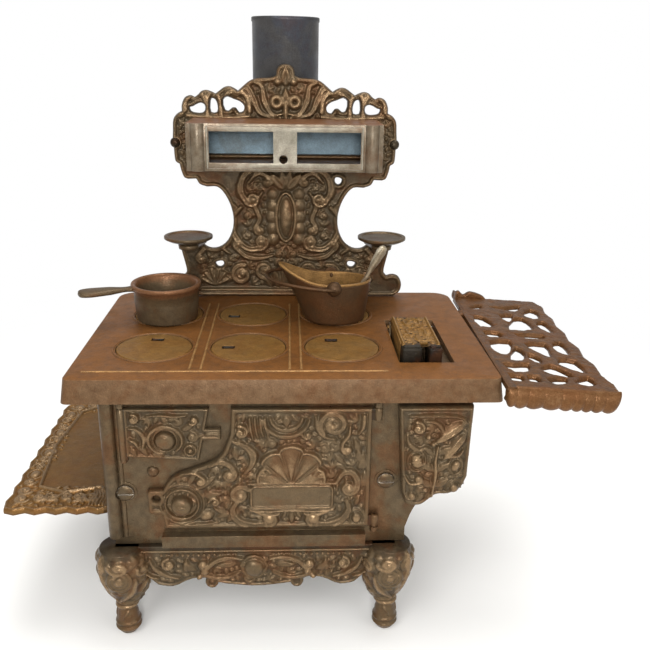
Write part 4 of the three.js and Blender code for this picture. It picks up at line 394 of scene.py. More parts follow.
def cast(name, relief, loops, place, thick, round_edge=0.8, fade=1.2, top=3.0, rim=None, bulge=None, ground=0.12):
    """A closed casting: the relief on its face, rounded edges, a wall and a flat rear.

    place turns (u, v, height over the rear) into drawing millimetres. A rim is a half width and a
    height of the bead along every edge; bulge is the swell of the face at a distance from the edge.
    """
    shape = relief.u.shape
    points = np.stack([relief.u.ravel(), relief.v.ravel()], axis=1)
    d, near = relief.depth.ravel(), relief.near
    grid = relief.depth
    middle = (grid[:-1, :-1] + grid[1:, :-1] + grid[:-1, 1:] + grid[1:, 1:]) / 4
    i, j = np.nonzero(middle > 0)
    rows = shape[1]
    quads = np.stack([i * rows + j, (i + 1) * rows + j, (i + 1) * rows + j + 1, i * rows + j + 1], axis=1)
    edges = np.concatenate([quads[:, [0, 1]], quads[:, [1, 2]], quads[:, [2, 3]], quads[:, [3, 0]]])
    keys = edges.min(axis=1) * len(points) + edges.max(axis=1)
    _, first, counts = np.unique(keys, return_index=True, return_counts=True)
    border = edges[first[counts == 1]]
    on_rim = np.unique(border)
    points[on_rim] = near[on_rim]
    depth = np.clip(d, 0, None)
    depth[on_rim] = 0
    used = np.unique(quads)
    index = np.full(len(points), -1)
    index[used] = np.arange(len(used))
    h = relief.h.ravel() * np.clip(depth / fade, 0, 1)
    if rim:
        half, rise = rim
        h = np.maximum(h, rise * np.sqrt(np.clip(1 - ((depth - half) / half) ** 2, 0, 1)))
    body = thick if bulge is None else thick + bulge(depth)
    drop = round_edge * (1 - np.sqrt(np.clip(1 - (1 - np.clip(depth / round_edge, 0, 1)) ** 2, 0, 1)))
    height = body + h - drop
    front = place(points[used, 0], points[used, 1], height[used])
    rim_index = np.full(len(points), -1)
    rim_index[on_rim] = len(used) + np.arange(len(on_rim))
    behind = place(points[on_rim, 0], points[on_rim, 1], np.zeros(len(on_rim)))
    verts = np.vstack([front, behind])
    probe = place([0, 1, 0], [0, 0, 1], [0, 0, 0])
    outward = place(0, 0, 1)[0] - probe[0]
    flip = np.cross(probe[1] - probe[0], probe[2] - probe[0]) @ outward < 0
    face_quads = index[quads][:, ::-1] if flip else index[quads]
    walls = np.stack([index[border[:, 1]], index[border[:, 0]], rim_index[border[:, 0]], rim_index[border[:, 1]]],
                     axis=1)
    walls = walls[:, ::-1] if flip else walls
    places, rear = flat_rear(points[on_rim], border, on_rim, loops)
    rear = len(verts) + (rear if flip else rear[:, ::-1])
    verts = np.vstack([verts, place(places[:, 0], places[:, 1], np.zeros(len(places)))])
    faces = face_quads.tolist() + walls.tolist() + rear.tolist()
    value = np.full(len(verts), 0.15)
    value[:len(used)] = ground + (1 - ground) * np.clip(h[used] / top, 0, 1)
    return new_piece(name, verts, faces, flat_from=len(face_quads), relief=value)


def flat_rear(places, border, on_rim, loops):
    """Triangles between the border's points, with the holes left open."""
    order = {vert: i for i, vert in enumerate(on_rim.tolist())}
    edges = [(order[a], order[b]) for a, b in border.tolist()]
    found, _, made, _, _, _ = delaunay_2d_cdt([Vector(p) for p in places], edges, [], 1, 1e-6)
    found = np.array([tuple(p) for p in found])
    triangles = np.array([tuple(face) for face in made])
    inside, _ = nearest(found[triangles].mean(axis=1), loops)
    triangles = triangles[inside > 0]
    a, b, c = (found[triangles[:, i]] for i in range(3))
    turn = (b[:, 0] - a[:, 0]) * (c[:, 1] - a[:, 1]) - (b[:, 1] - a[:, 1]) * (c[:, 0] - a[:, 0])
    triangles[turn < 0] = triangles[turn < 0][:, ::-1]
    return found, triangles


def skin_faces(rings, count):
    """Quads between rings of the same count."""
    return [(i * count + k, i * count + (k + 1) % count, (i + 1) * count + (k + 1) % count, (i + 1) * count + k)
            for i in range(rings - 1) for k in range(count)]


def revolve(name, profile, x, y, z, count=96, axis="z"):
    """A turned solid from (radius, height) pairs that start and end on the axis or close."""
    prof = np.asarray(profile, dtype=float)
    turn = full_turn(count)
    r, h = prof[:, 0][:, None], prof[:, 1][:, None]
    c, s = np.cos(turn)[None], np.sin(turn)[None]
    ones = np.ones_like(c)
    if axis == "z":
        verts = np.stack([x + r * c, y + r * s, z + h * ones], axis=-1)
    elif axis == "y":
        verts = np.stack([x + r * c, y - h * ones, z + r * s], axis=-1)
    else:
        verts = np.stack([x + h * ones, y + r * c, z + r * s], axis=-1)
    return closed(new_piece(name, verts.reshape(-1, 3), skin_faces(len(prof), count)))


def loft(name, rings, relief=0.35):
    """A skin over rings of the same count, with flat ends."""
    rings = [np.asarray(ring, dtype=float) for ring in rings]
    count = len(rings[0])
    faces = skin_faces(len(rings), count)
    faces.append(tuple(range(count))[::-1])
    faces.append(tuple(range((len(rings) - 1) * count, len(rings) * count)))
    return new_piece(name, np.vstack(rings), faces, relief=relief)


def closed(piece, merge=MM / 100):
    """Welds what coincides, and turns the faces outwards."""
    bm = bmesh.new()
    bm.from_mesh(piece.data)
    bmesh.ops.remove_doubles(bm, verts=bm.verts, dist=merge)
    bmesh.ops.dissolve_degenerate(bm, edges=bm.edges, dist=merge / 10)
    bmesh.ops.recalc_face_normals(bm, faces=bm.faces)
    bm.to_mesh(piece.data)
    bm.free()
    return piece


def sharpen(piece, degrees=40):
    """Keeps edges crisp where faces meet at more than the angle."""
    piece.data.set_sharp_from_angle(angle=radians(degrees))
    return piece


def box(name, x0, x1, y0, y1, z0, z1, bevel=0.5):
    """A block with softened edges."""
    bm = bmesh.new()
    bmesh.ops.create_cube(bm, size=1.0)
    low, high = in_frame([[x0, y0, z0], [x1, y1, z1]])
    for v in bm.verts:
        v.co = Vector([(low[i] + high[i]) / 2 + v.co[i] * (high[i] - low[i]) for i in range(3)])
    bmesh.ops.bevel(bm, geom=bm.edges[:] + bm.verts[:], offset=bevel * MM, segments=3, profile=0.5, affect="EDGES")
    for f in bm.faces:
        f.smooth = True
    bm.faces.ensure_lookup_table()
    mesh = bpy.data.meshes.new(name)
    bm.to_mesh(mesh)
    bm.free()
    set_relief(mesh, 0)
    return sharpen(placed(name, mesh), 30)


def unit(vector):
    v = np.asarray(vector, dtype=float)
    return v / np.linalg.norm(v)


class Plane:
    """A drawing plane: its zero, its two directions and the way out of the face."""

    def __init__(self, zero, across, up, out):
        self.zero = np.asarray(zero, dtype=float)
        self.across, self.up, self.out = unit(across), unit(up), unit(out)

    def __call__(self, u, v, h):
        return self.zero + np.outer(u, self.across) + np.outer(v, self.up) + np.outer(h, self.out)


def facing_front(y_rear):
    return Plane((0, y_rear, 0), (1, 0, 0), (0, 0, 1), (0, -1, 0))


def facing_side(x_rear, side):
    return Plane((x_rear, 0, 0), (0, 1, 0), (0, 0, 1), (side, 0, 0))


def lying(z_low):
    return Plane((0, 0, z_low), (1, 0, 0), (0, 1, 0), (0, 0, 1))


def extent(node):
    """A node's box in drawing millimetres: x0, x1, y0, y1, z0, z1."""
    low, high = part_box(node)
    zero = (ZERO_X, ZERO_Y, 0.0)
    return [(corner[i] - zero[i]) / MM for i in range(3) for corner in (low, high)]


def section(node, plane, height):
    """The outlines of a node where a plane at the height cuts it, largest first."""
    bm = bmesh.new()
    bm.from_mesh(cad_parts[node].data)
    bmesh.ops.remove_doubles(bm, verts=bm.verts, dist=MM / 500)
    zero = spot(plane(0, 0, height))
    cut = bmesh.ops.bisect_plane(bm, geom=bm.verts[:] + bm.edges[:] + bm.faces[:], dist=MM / 10000,
                                 plane_co=zero, plane_no=Vector(plane.out))["geom_cut"]
    links = {}
    for edge in (g for g in cut if isinstance(g, bmesh.types.BMEdge)):
        a, b = edge.verts
        links.setdefault(a, []).append(b)
        links.setdefault(b, []).append(a)
    base = np.array(in_frame(plane.zero)[0])
    loops = []
    while links:
        start = next(iter(links))
        line, here = [start], start
        while links.get(here):
            there = links[here].pop()
            links[there].remove(here)
            if not links[here]:
                del links[here]
            here = there
            if here is start:
                break
            line.append(here)
        for vert in [v for v in line if not links.get(v, True)]:
            links.pop(vert, None)
        away = (np.array([v.co[:] for v in line]) - base) / MM
        loops.append(np.stack([away @ plane.across, away @ plane.up], axis=1))
    bm.free()
    loops = [loop for loop in loops if len(loop) > 2]
    return sorted(loops, key=lambda loop: -np.ptp(loop[:, 0]) * np.ptp(loop[:, 1]))


def between(loop, left=-FAR, right=FAR, low=-FAR, high=FAR):
    """An outline held between limits."""
    return np.stack([np.clip(loop[:, 0], left, right), np.clip(loop[:, 1], low, high)], axis=1)


def outline_relief(loops, cell):
    """An empty relief that covers the outlines."""
    every = np.vstack(loops)
    (x0, y0), (x1, y1) = every.min(axis=0) - 2 * cell, every.max(axis=0) + 2 * cell
    return Relief(x0, x1, y0, y1, cell).within(loops)


HARD_ANGLE = radians(32)


def softened(node, edge, name):
    """A copy of a node's solid with softened edges; the relief value marks the worn edges."""
    bm = bmesh.new()
    bm.from_mesh(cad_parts[node].data)
    bmesh.ops.remove_doubles(bm, verts=bm.verts, dist=MM / 200)
    bmesh.ops.dissolve_limit(bm, angle_limit=radians(0.8), verts=bm.verts, edges=bm.edges)
    hard = [e for e in bm.edges if len(e.link_faces) == 2 and e.calc_face_angle(0) > HARD_ANGLE]
    made = bmesh.ops.bevel(bm, geom=hard, offset=edge * MM, offset_type="OFFSET", segments=2, profile=0.6,
                           affect="EDGES", clamp_overlap=True)
    fresh = set(made["faces"])
    layer = bm.verts.layers.float.new("relief")
    for vert in bm.verts:
        worn = bool(vert.link_faces) and all(face in fresh for face in vert.link_faces)
        vert[layer] = 1.0 if worn else 0.2
    for face in bm.faces:
        face.smooth = True
    mesh = bpy.data.meshes.new(name)
    bm.to_mesh(mesh)
    bm.free()
    mesh.validate()
    return sharpen(placed(name, mesh), 38)


def mark(piece, rule):
    """Sets a piece's relief value by a rule of the place in drawing millimetres."""
    places, values = vertex_data(piece.data)
    x, y, z = ((places - in_frame((0, 0, 0))[0]) / MM).T
    set_relief(piece.data, rule(x, y, z, values))
    return piece


def joined(name, pieces):
    """Several pieces as one mesh, with their relief and their smooth faces."""
    verts, faces, relief, flags, start = [], [], [], [], 0
    for piece in pieces:
        mesh = piece.data
        places, values = vertex_data(mesh)
        verts.append(places)
        relief.append(values)
        faces += [[start + i for i in polygon.vertices] for polygon in mesh.polygons]
        flags += [polygon.use_smooth for polygon in mesh.polygons]
        start += len(mesh.vertices)
        bpy.data.objects.remove(piece)
        bpy.data.meshes.remove(mesh)
    made = bpy.data.meshes.new(name)
    made.from_pydata(np.vstack(verts).tolist(), [], faces)
    made.polygons.foreach_set("use_smooth", flags)
    set_relief(made, np.concatenate(relief))
    made.update()
    return placed(name, made)


# Geometry Nodes trees

class Tree:
    """A short way to write a node tree."""

    def __init__(self, tree):
        self.tree = tree

    def node(self, kind, values=None, **settings):
        made = self.tree.nodes.new(kind)
        for key, value in settings.items():
            setattr(made, key, value)
        self.fill(made, values or {})
        return made

    def fill(self, node, values):
        """Gives a node's inputs their values, or links them where the value is an output."""
        for key, value in values.items():
            if isinstance(value, bpy.types.NodeSocket):
                self.tree.links.new(value, node.inputs[key])
            else:
                node.inputs[key].default_value = value

    def math(self, operation, a, b=0.0):
        return self.node("ShaderNodeMath", {0: a, 1: b}, operation=operation).outputs[0]


def geometry_tree(name, inputs):
    tree = bpy.data.node_groups.new(name, "GeometryNodeTree")
    face = tree.interface
    face.new_socket("Geometry", in_out="INPUT", socket_type="NodeSocketGeometry")
    for label, kind, value in inputs:
        made = face.new_socket(label, in_out="INPUT", socket_type=kind)
        if value is not None:
            made.default_value = value
    face.new_socket("Geometry", in_out="OUTPUT", socket_type="NodeSocketGeometry")
    short = Tree(tree)
    return short, short.node("NodeGroupInput"), short.node("NodeGroupOutput")


def finish_tree(short, made, group, out):
    """Every tree ends as real, smooth geometry with its material."""
    real = short.node("GeometryNodeRealizeInstances", {0: made})
    soft = short.node("GeometryNodeSetShadeSmooth", {"Geometry": real.outputs[0]})
    last = short.node("GeometryNodeSetMaterial", {"Geometry": soft.outputs[0], "Material": group.outputs["Material"]})
    short.fill(out, {0: last.outputs[0]})


def tree_of_beads():
    """Flattened balls at an even spacing along every line."""
    short, group, out = geometry_tree("Beads along a line", [
        ("Spacing", "NodeSocketFloat", 0.004), ("Radius", "NodeSocketFloat", 0.001),
        ("Material", "NodeSocketMaterial", None)])
    spread = short.node("GeometryNodeResampleCurve", mode="LENGTH")
    short.fill(spread, {"Curve": group.outputs["Geometry"], "Length": group.outputs["Spacing"]})
    ball = short.node("GeometryNodeMeshUVSphere", {"Segments": 14, "Rings": 8, "Radius": group.outputs["Radius"]})
    beads = short.node("GeometryNodeInstanceOnPoints", {"Points": spread.outputs[0],
                                                        "Instance": ball.outputs["Mesh"]})
    finish_tree(short, beads.outputs[0], group, out)
    return short.tree


def tree_of_mouldings():
    """A half-round moulding along every line, with closed ends."""
    short, group, out = geometry_tree("Moulding along a line", [
        ("Half width", "NodeSocketFloat", 0.0006), ("Rise", "NodeSocketFloat", 0.0005),
        ("Material", "NodeSocketMaterial", None)])
    circle_node = short.node("GeometryNodeCurvePrimitiveCircle", {"Resolution": 12, "Radius": 1.0})
    shape = short.node("ShaderNodeCombineXYZ", {0: group.outputs["Half width"], 1: group.outputs["Rise"], 2: 1.0})
    sized = short.node("GeometryNodeTransform", {"Geometry": circle_node.outputs[0], "Scale": shape.outputs[0]})
    swept = short.node("GeometryNodeCurveToMesh", {"Curve": group.outputs["Geometry"],
                                                    "Profile Curve": sized.outputs[0], "Fill Caps": True})
    finish_tree(short, swept.outputs[0], group, out)
    return short.tree


def tree_of_lip():
    """A rolled lip: a flattened tube along X whose skin swells into flutes and whose ends close."""
    short, group, out = geometry_tree("Fluted lip", [
        ("Length", "NodeSocketFloat", 0.065), ("Depth", "NodeSocketFloat", 0.012),
        ("Thickness", "NodeSocketFloat", 0.004), ("Flutes", "NodeSocketFloat", 9.0),
        ("Material", "NodeSocketMaterial", None)])
    grid = short.node("GeometryNodeMeshGrid", {"Size X": 1.0, "Size Y": 1.0, "Vertices X": 217, "Vertices Y": 49})
    place = short.node("GeometryNodeInputPosition")
    split = short.node("ShaderNodeSeparateXYZ", {0: place.outputs[0]})
    m = short.math
    along = m("ADD", split.outputs[0], 0.5)
    turn = m("MULTIPLY", m("ADD", split.outputs[1], 0.5), TAU)
    uneven = m("ADD", along, m("MULTIPLY", m("SINE", m("MULTIPLY", along, 9.0)), 0.035))
    wave = m("ABSOLUTE", m("SINE", m("MULTIPLY", m("MULTIPLY", uneven, group.outputs["Flutes"]), pi)))
    swell = m("ADD", 0.84, m("MULTIPLY", m("SQRT", wave), 0.16))
    off = m("ABSOLUTE", m("SUBTRACT", m("MULTIPLY", along, 2.0), 1.0))
    close = m("SQRT", m("MAXIMUM", m("SUBTRACT", 1.0, m("POWER", off, 24.0)), 0.0))
    half = m("MULTIPLY", m("MULTIPLY", group.outputs["Thickness"], 0.5), m("MULTIPLY", swell, close))
    y = m("MULTIPLY", half, m("COSINE", turn))
    hang = m("MULTIPLY", group.outputs["Depth"], m("MULTIPLY", m("ADD", 0.9, m("MULTIPLY", wave, 0.1)), close))
    z = m("MULTIPLY", m("MULTIPLY", hang, 0.5), m("SUBTRACT", m("SINE", turn), 1.0))
    x = m("MULTIPLY", along, group.outputs["Length"])
    point = short.node("ShaderNodeCombineXYZ", {0: x, 1: y, 2: z})
    moved = short.node("GeometryNodeSetPosition", {"Geometry": grid.outputs["Mesh"], "Position": point.outputs[0]})
    sealed = short.node("GeometryNodeMergeByDistance", {"Geometry": moved.outputs[0], "Distance": MM / 100})
    finish_tree(short, sealed.outputs[0], group, out)
    return short.tree


def lines_object(name, lines):
    """Lines in drawing millimetres as one curve object."""
    curve = bpy.data.curves.new(name, "CURVE")
    curve.dimensions = "3D"
    curve.twist_mode = "Z_UP"
    for line in lines:
        places = in_frame(line)
        spline = curve.splines.new("POLY")
        spline.points.add(len(places) - 1)
        spline.points.foreach_set("co", np.hstack([places, np.ones((len(places), 1))]).ravel())
    return placed(name, curve)


def points_object(name, points):
    mesh = bpy.data.meshes.new(name)
    mesh.from_pydata(in_frame(points).tolist(), [], [])
    return placed(name, mesh)


def grown(name, source, tree, values, worn=0.75):
    """The plain mesh that a tree makes from a source, with one relief value all over."""
    modifier = source.modifiers.new("shape", "NODES")
    modifier.node_group = tree
    for item in tree.interface.items_tree:
        if item.item_type == "SOCKET" and item.in_out == "INPUT" and item.name in values:
            modifier[item.identifier] = values[item.name]
    bpy.context.view_layer.update()
    seen = source.evaluated_get(bpy.context.evaluated_depsgraph_get())
    mesh = bpy.data.meshes.new_from_object(seen)
    if not mesh.polygons:
        raise RuntimeError("nothing grew for " + name)
    mesh.name = name
    if "relief" not in mesh.attributes:
        set_relief(mesh, worn)
    made = placed(name, mesh)
    bpy.data.objects.remove(source)
    return closed(made, MM / 1000)


# Colours and sizes that a user would change

def shade(r, g, b):
    """A screen colour, 0 to 255, as a shader's colour."""
    return tuple(c / 255 / 12.92 if c <= 10 else ((c / 255 + 0.055) / 1.055) ** 2.4 for c in (r, g, b))


def colour(name, text, r, g, b):
    return FloatVectorProperty(name=name, description=text, subtype="COLOR", size=3, min=0, max=1,
                               default=shade(r, g, b))


def length(name, text, size):
    return FloatProperty(name=name, description=text, unit="LENGTH", min=0, default=size * MM, precision=5)


class RangeColours(bpy.types.PropertyGroup):
    """Colours of the castings and sheets"""
    iron_deep: colour("Iron, hollows", "Iron at the bottom of the ornament", 44, 34, 24)
    iron_body: colour("Iron, body", "Brown of the castings", 89, 72, 51)
    iron_worn: colour("Iron, worn", "Rubbed high places of the castings", 124, 101, 74)
    patina: colour("Patina", "Grey bloom on old iron", 90, 82, 66)
    rust: colour("Rust", "Orange brown rust", 108, 66, 36)
    hob_deep: colour("Hob, hollows", "Hob plate in its corners", 79, 48, 21)
    hob_body: colour("Hob, body", "Hob plate", 111, 70, 31)
    # Painted shade: near-black for the lids, in full on their slot walls for the shade down in the lifter slots, in
    # part on their low edges
    soot: colour("Lid shade", "Black of the lifter slots", 16, 12, 9)
    hob_side: colour("Hob, skirt", "Rosy grey skirt of the hob plate", 100, 76, 53)
    hob_worn: colour("Hob, worn", "Edges of the hob plate", 158, 122, 76)
    lid_body: colour("Lid, body", "Olive brown of the lids", 114, 82, 39)
    closet_deep: colour("Closet, stains", "Brown stains on the warming closet", 87, 67, 46)
    closet_body: colour("Closet, body", "Dull plating of the warming closet", 137, 131, 117)
    closet_worn: colour("Closet, bright", "Bright ridges of the warming closet", 187, 181, 170)
    liner_body: colour("Liner", "Blue grey sheet behind the closet", 122, 142, 152)
    pipe_body: colour("Pipe", "Dark sheet of the pipe", 60, 62, 68)
    pan_body: colour("Saucepan", "Grey brown of the saucepan", 82, 66, 46)
    pan_inside: colour("Saucepan, inside", "Orange rust in the saucepan and on its rim", 112, 76, 50)
    scuttle_body: colour("Scuttle", "Dark brown of the scuttle", 71, 50, 31)
    scuttle_inside: colour("Scuttle, inside", "Worn gold inside the scuttle", 138, 104, 60)
    shovel_body: colour("Shovel", "Pale metal of the shovel", 152, 140, 117)
    shelf_body: colour("Lattice shelf", "Rusty brown of the lattice shelf", 97, 64, 35)
    hearth_body: colour("Hearth shelf", "Olive brown of the hearth shelf", 108, 77, 39)
    steel_body: colour("Steel", "Dark steel of pins and screws", 84, 78, 72)
    floor: colour("Floor", "Pale floor and backdrop", 236, 235, 232)


class RangeSizes(bpy.types.PropertyGroup):
    """Sizes of the ornament and of the edges"""
    fine: length("Fine grid", "Grid of the door ornament", 0.4)
    middle: length("Middle grid", "Grid of the larger ornament", 0.5)
    edge: length("Soft edge", "Rounding of the plain castings' edges", 0.5)
    thin_edge: length("Thin edge", "Rounding of sheet edges", 0.22)
    rise: length("Ornament", "Height of the ornament on doors and aprons", 3.3)
    bead: length("Bead", "Radius of the beads along the base", 0.9)
    bead_step: length("Bead step", "Distance from bead to bead", 3.1)
    line: length("Moulding", "Half width of the thin lines on the hob", 0.7)
    skin: length("Casting skin", "Depth of the rough skin of the castings", 0.3)
    flutes: IntProperty(name="Flutes", description="Flutes of the lattice shelf's lip", min=3, max=24, default=9)


def mm(value):
    return value / MM


# Finishes

def shader_tree(name, inputs, outputs):
    group = bpy.data.node_groups.new(name, "ShaderNodeTree")
    for label, kind, value in inputs:
        made = group.interface.new_socket(label, in_out="INPUT", socket_type=kind)
        if value is not None:
            made.default_value = value
    for label, kind in outputs:
        group.interface.new_socket(label, in_out="OUTPUT", socket_type=kind)
    short = Tree(group)
    return short, short.node("NodeGroupInput").outputs, short.node("NodeGroupOutput")


def noise(short, vector, scale, detail=4.0, rough=0.55, distortion=0.0):
    made = short.node("ShaderNodeTexNoise", {"Vector": vector, "Scale": scale, "Detail": detail,
                                             "Roughness": rough, "Distortion": distortion})
    return made.outputs["Fac"]


def ramp(short, value, low, high, to_low=0.0, to_high=1.0):
    made = short.node("ShaderNodeMapRange", {"Value": value, "From Min": low, "From Max": high,
                                             "To Min": to_low, "To Max": to_high})
    made.interpolation_type = "SMOOTHSTEP"
    return made.outputs[0]


def blended(short, amount, first, second):
    made = short.node("ShaderNodeMix", data_type="RGBA", clamp_factor=True)
    short.fill(made, {0: amount, 6: first, 7: second})
    return made.outputs[2]


def old_iron_group():
    """Colour of an old casting: dark hollows, brown body, rubbed high places, bloom and rust."""
    short, at, out = shader_tree("Old iron colour", [
        ("Vector", "NodeSocketVector", None), ("Relief", "NodeSocketFloat", 0.35),
        ("Hollows", "NodeSocketColor", None), ("Body", "NodeSocketColor", None), ("Worn", "NodeSocketColor", None),
        ("Bloom", "NodeSocketColor", None), ("Rust", "NodeSocketColor", None),
        ("Bloom amount", "NodeSocketFloat", 0.4), ("Rust amount", "NodeSocketFloat", 0.2),
        ("Wear", "NodeSocketFloat", 0.5), ("Facing", "NodeSocketVector", None), ("Settled", "NodeSocketFloat", 0.0),
        ("Settled colour", "NodeSocketColor", None)],
        [("Color", "NodeSocketColor"), ("Wear mask", "NodeSocketFloat")])
    wide = noise(short, at["Vector"], 38.0, 5.0, 0.6, 0.6)
    near = noise(short, at["Vector"], 190.0, 5.0, 0.62)
    fine = noise(short, at["Vector"], 1300.0, 3.0, 0.6)
    m = short.math
    level_here = m("ADD", at["Relief"], m("MULTIPLY", m("SUBTRACT", near, 0.5), 0.26))
    body = blended(short, ramp(short, level_here, 0.0, 0.3), at["Hollows"], at["Body"])
    low = m("SUBTRACT", 1.0, m("MULTIPLY", ramp(short, level_here, 0.25, 0.7), 0.55))
    bloom = m("MULTIPLY", m("MULTIPLY", ramp(short, wide, 0.42, 0.62), low), at["Bloom amount"])
    body = blended(short, bloom, body, at["Bloom"])
    spots = m("MULTIPLY", ramp(short, m("ADD", wide, m("MULTIPLY", near, 0.5)), 0.78, 0.6), at["Rust amount"])
    body = blended(short, spots, body, at["Rust"])
    facing = short.node("ShaderNodeSeparateXYZ", {0: at["Facing"]})
    upward = m("MULTIPLY", ramp(short, facing.outputs[2], 0.55, 0.9), at["Settled"])
    body = blended(short, m("MULTIPLY", upward, ramp(short, near, 0.2, 0.55, 0.55, 1.0)), body,
                   at["Settled colour"])
    edge = m("SUBTRACT", 1.02, m("MULTIPLY", at["Wear"], 0.6))
    rubbed = ramp(short, m("ADD", level_here, m("MULTIPLY", m("SUBTRACT", fine, 0.5), 0.3)),
                  edge, m("ADD", edge, 0.3))
    rubbed = m("MULTIPLY", rubbed, 0.85)
    body = blended(short, rubbed, body, at["Worn"])
    grain = ramp(short, fine, 0.25, 0.75, 0.84, 1.14)
    tone = m("MULTIPLY", grain, ramp(short, near, 0.2, 0.8, 0.84, 1.14))
    made = short.node("ShaderNodeVectorMath", {0: body, "Scale": tone}, operation="SCALE")
    short.fill(out, {"Color": made.outputs[0], "Wear mask": rubbed})
    return short.tree


def casting_skin_group():
    """Height and shine of a sand-cast skin: grains, soft dents and small pits."""
    short, at, out = shader_tree("Casting skin", [
        ("Vector", "NodeSocketVector", None), ("Grain size", "NodeSocketFloat", 1.0),
        ("Pits", "NodeSocketFloat", 0.4)],
        [("Height", "NodeSocketFloat"), ("Shine", "NodeSocketFloat")])
    m = short.math
    place = short.node("ShaderNodeVectorMath", {0: at["Vector"], "Scale": at["Grain size"]},
                       operation="SCALE").outputs[0]
    soft = noise(short, place, 260.0, 4.0, 0.55)
    grains = noise(short, place, 1500.0, 3.0, 0.6)
    cells = short.node("ShaderNodeTexVoronoi", {"Vector": place, "Scale": 420.0})
    pit = m("MULTIPLY", ramp(short, cells.outputs["Distance"], 0.32, 0.1), at["Pits"])
    height = m("SUBTRACT", m("ADD", m("MULTIPLY", soft, 0.6), m("MULTIPLY", grains, 0.4)), m("MULTIPLY", pit, 0.5))
    short.fill(out, {"Height": height, "Shine": noise(short, place, 90.0, 5.0, 0.6)})
    return short.tree


def shared_group(name, maker):
    return bpy.data.node_groups.get(name) or maker()


# Each finish: its material slot, the colours of its hollows, body and worn places, then bloom, rust, wear,
# metal, roughness, depth of the cast skin, pits, what settles on top and its colour
FINISHES = {
    "old_iron": ("body_iron", "iron_deep", "iron_body", "iron_worn",
        0.3, 0.3, 0.6, 0.5, 0.34, 1, 0.4, 0, "rust"),
    "hob_plate_iron": ("hob_iron", "hob_deep", "hob_side", "hob_worn",
        0.12, 0.15, 0.5, 0.3, 0.42, 1, 0.4, 0.9, "hob_body"),
    # The lids' hollows colour is painted shade, near-black for their slots and low edges
    "lid_iron_olive": ("lid_iron", "soot", "lid_body", "hob_worn",
        0.15, 0.2, 0.35, 0.3, 0.44, 1, 0.4, 0, "rust"),
    "closet_plating": ("closet_plate", "closet_deep", "closet_body", "closet_worn",
        0.35, 0.12, 0.5, 0.3, 0.36, 0.5, 0.2, 0.85, "rust"),
    "blue_liner_sheet": ("", "pipe_body", "liner_body", "closet_worn",
        0.5, 0.05, 0.2, 0.15, 0.4, 0.4, 0.1, 0, "rust"),
    "pipe_sheet_steel": ("pipe_steel", "iron_deep", "pipe_body", "closet_body",
        0.3, 0.12, 0.4, 0.5, 0.38, 0.4, 0.2, 0, "rust"),
    "saucepan_iron": ("pan_iron", "iron_deep", "pan_body", "pan_inside",
        0.3, 0.25, 0.55, 0.35, 0.42, 1, 0.4, 0, "rust"),
    "scuttle_iron": ("pan_iron", "iron_deep", "scuttle_body", "scuttle_inside",
        0.1, 0.2, 0.45, 0.4, 0.4, 1, 0.4, 0, "rust"),
    "shovel_metal": ("pale_metal", "hob_deep", "shovel_body", "closet_worn",
        0.1, 0.2, 0.5, 0.55, 0.34, 0.5, 0.4, 0, "rust"),
    "lattice_shelf_iron": ("shelf_iron", "iron_deep", "shelf_body", "iron_worn",
        0.08, 0.25, 0.5, 0.4, 0.36, 1.2, 0.4, 0, "rust"),
    "hearth_shelf_iron": ("hearth_iron", "iron_deep", "hearth_body", "iron_worn",
        0.15, 0.2, 0.75, 0.4, 0.36, 1, 0.4, 0, "rust"),
    "dark_pin_steel": ("dark_steel", "iron_deep", "steel_body", "closet_worn",
        0.3, 0.15, 0.6, 0.6, 0.34, 0.4, 0.2, 0, "rust"),
    "worn_bolt_steel": ("worn_bolt", "iron_deep", "iron_body", "closet_worn",
        0.3, 0.2, 0.65, 0.6, 0.36, 0.5, 0.4, 0, "rust"),
}
FINISHES["old_iron_plain"] = FINISHES["old_iron"]

# The relief value of the finishes that have the same one everywhere
PLAIN = {"old_iron_plain": 0.25, "blue_liner_sheet": 0.4}
SHINE_SPREAD = 0.16


def finish(name):
    """One finish of the stove. Its relief value is the mesh's own, or the same everywhere."""
    if name in bpy.data.materials:
        return bpy.data.materials[name]
    scene = bpy.context.scene
    _, *shades, bloom, rust, wear, metal, rough, skin, pits, settled, settled_shade = FINISHES[name]
    hollows, body, worn, dust = ((*getattr(scene.range_colours, shade), 1) for shade in (*shades, settled_shade))
    made = bpy.data.materials.new(name)
    made.use_nodes = True
    made.diffuse_color = body
    made.node_tree.nodes.clear()
    short = Tree(made.node_tree)
    where = short.node("ShaderNodeTexCoord")
    values = {"Vector": where.outputs["Object"], "Facing": where.outputs["Normal"], "Settled": settled,
              "Settled colour": dust, "Hollows": hollows, "Body": body, "Worn": worn,
              "Bloom": (*scene.range_colours.patina, 1), "Rust": (*scene.range_colours.rust, 1),
              "Bloom amount": bloom, "Rust amount": rust, "Wear": wear}
    if name in PLAIN:
        values["Relief"] = PLAIN[name]
    else:
        values["Relief"] = short.node("ShaderNodeAttribute", attribute_name="relief").outputs["Fac"]
    paint = short.node("ShaderNodeGroup", node_tree=shared_group("Old iron colour", old_iron_group))
    short.fill(paint, values)
    cast_skin = short.node("ShaderNodeGroup", node_tree=shared_group("Casting skin", casting_skin_group))
    short.fill(cast_skin, {"Vector": where.outputs["Object"], "Grain size": 1.0, "Pits": pits})
    shine = ramp(short, cast_skin.outputs["Shine"], 0.25, 0.75, rough + SHINE_SPREAD / 2, rough - SHINE_SPREAD / 2)
    bump = short.node("ShaderNodeBump", {"Height": cast_skin.outputs["Height"], "Strength": min(skin, 1.0),
                                         "Distance": scene.range_sizes.skin * max(skin, 1.0)})
    shader = short.node("ShaderNodeBsdfPrincipled", {
        "Metallic": metal, "Specular IOR Level": 0.15, "Base Color": paint.outputs["Color"],
        "Roughness": short.math("SUBTRACT", shine, short.math("MULTIPLY", paint.outputs["Wear mask"], 0.08)),
        "Normal": bump.outputs[0]})
    short.node("ShaderNodeOutputMaterial", {"Surface": shader.outputs[0]})
    return made


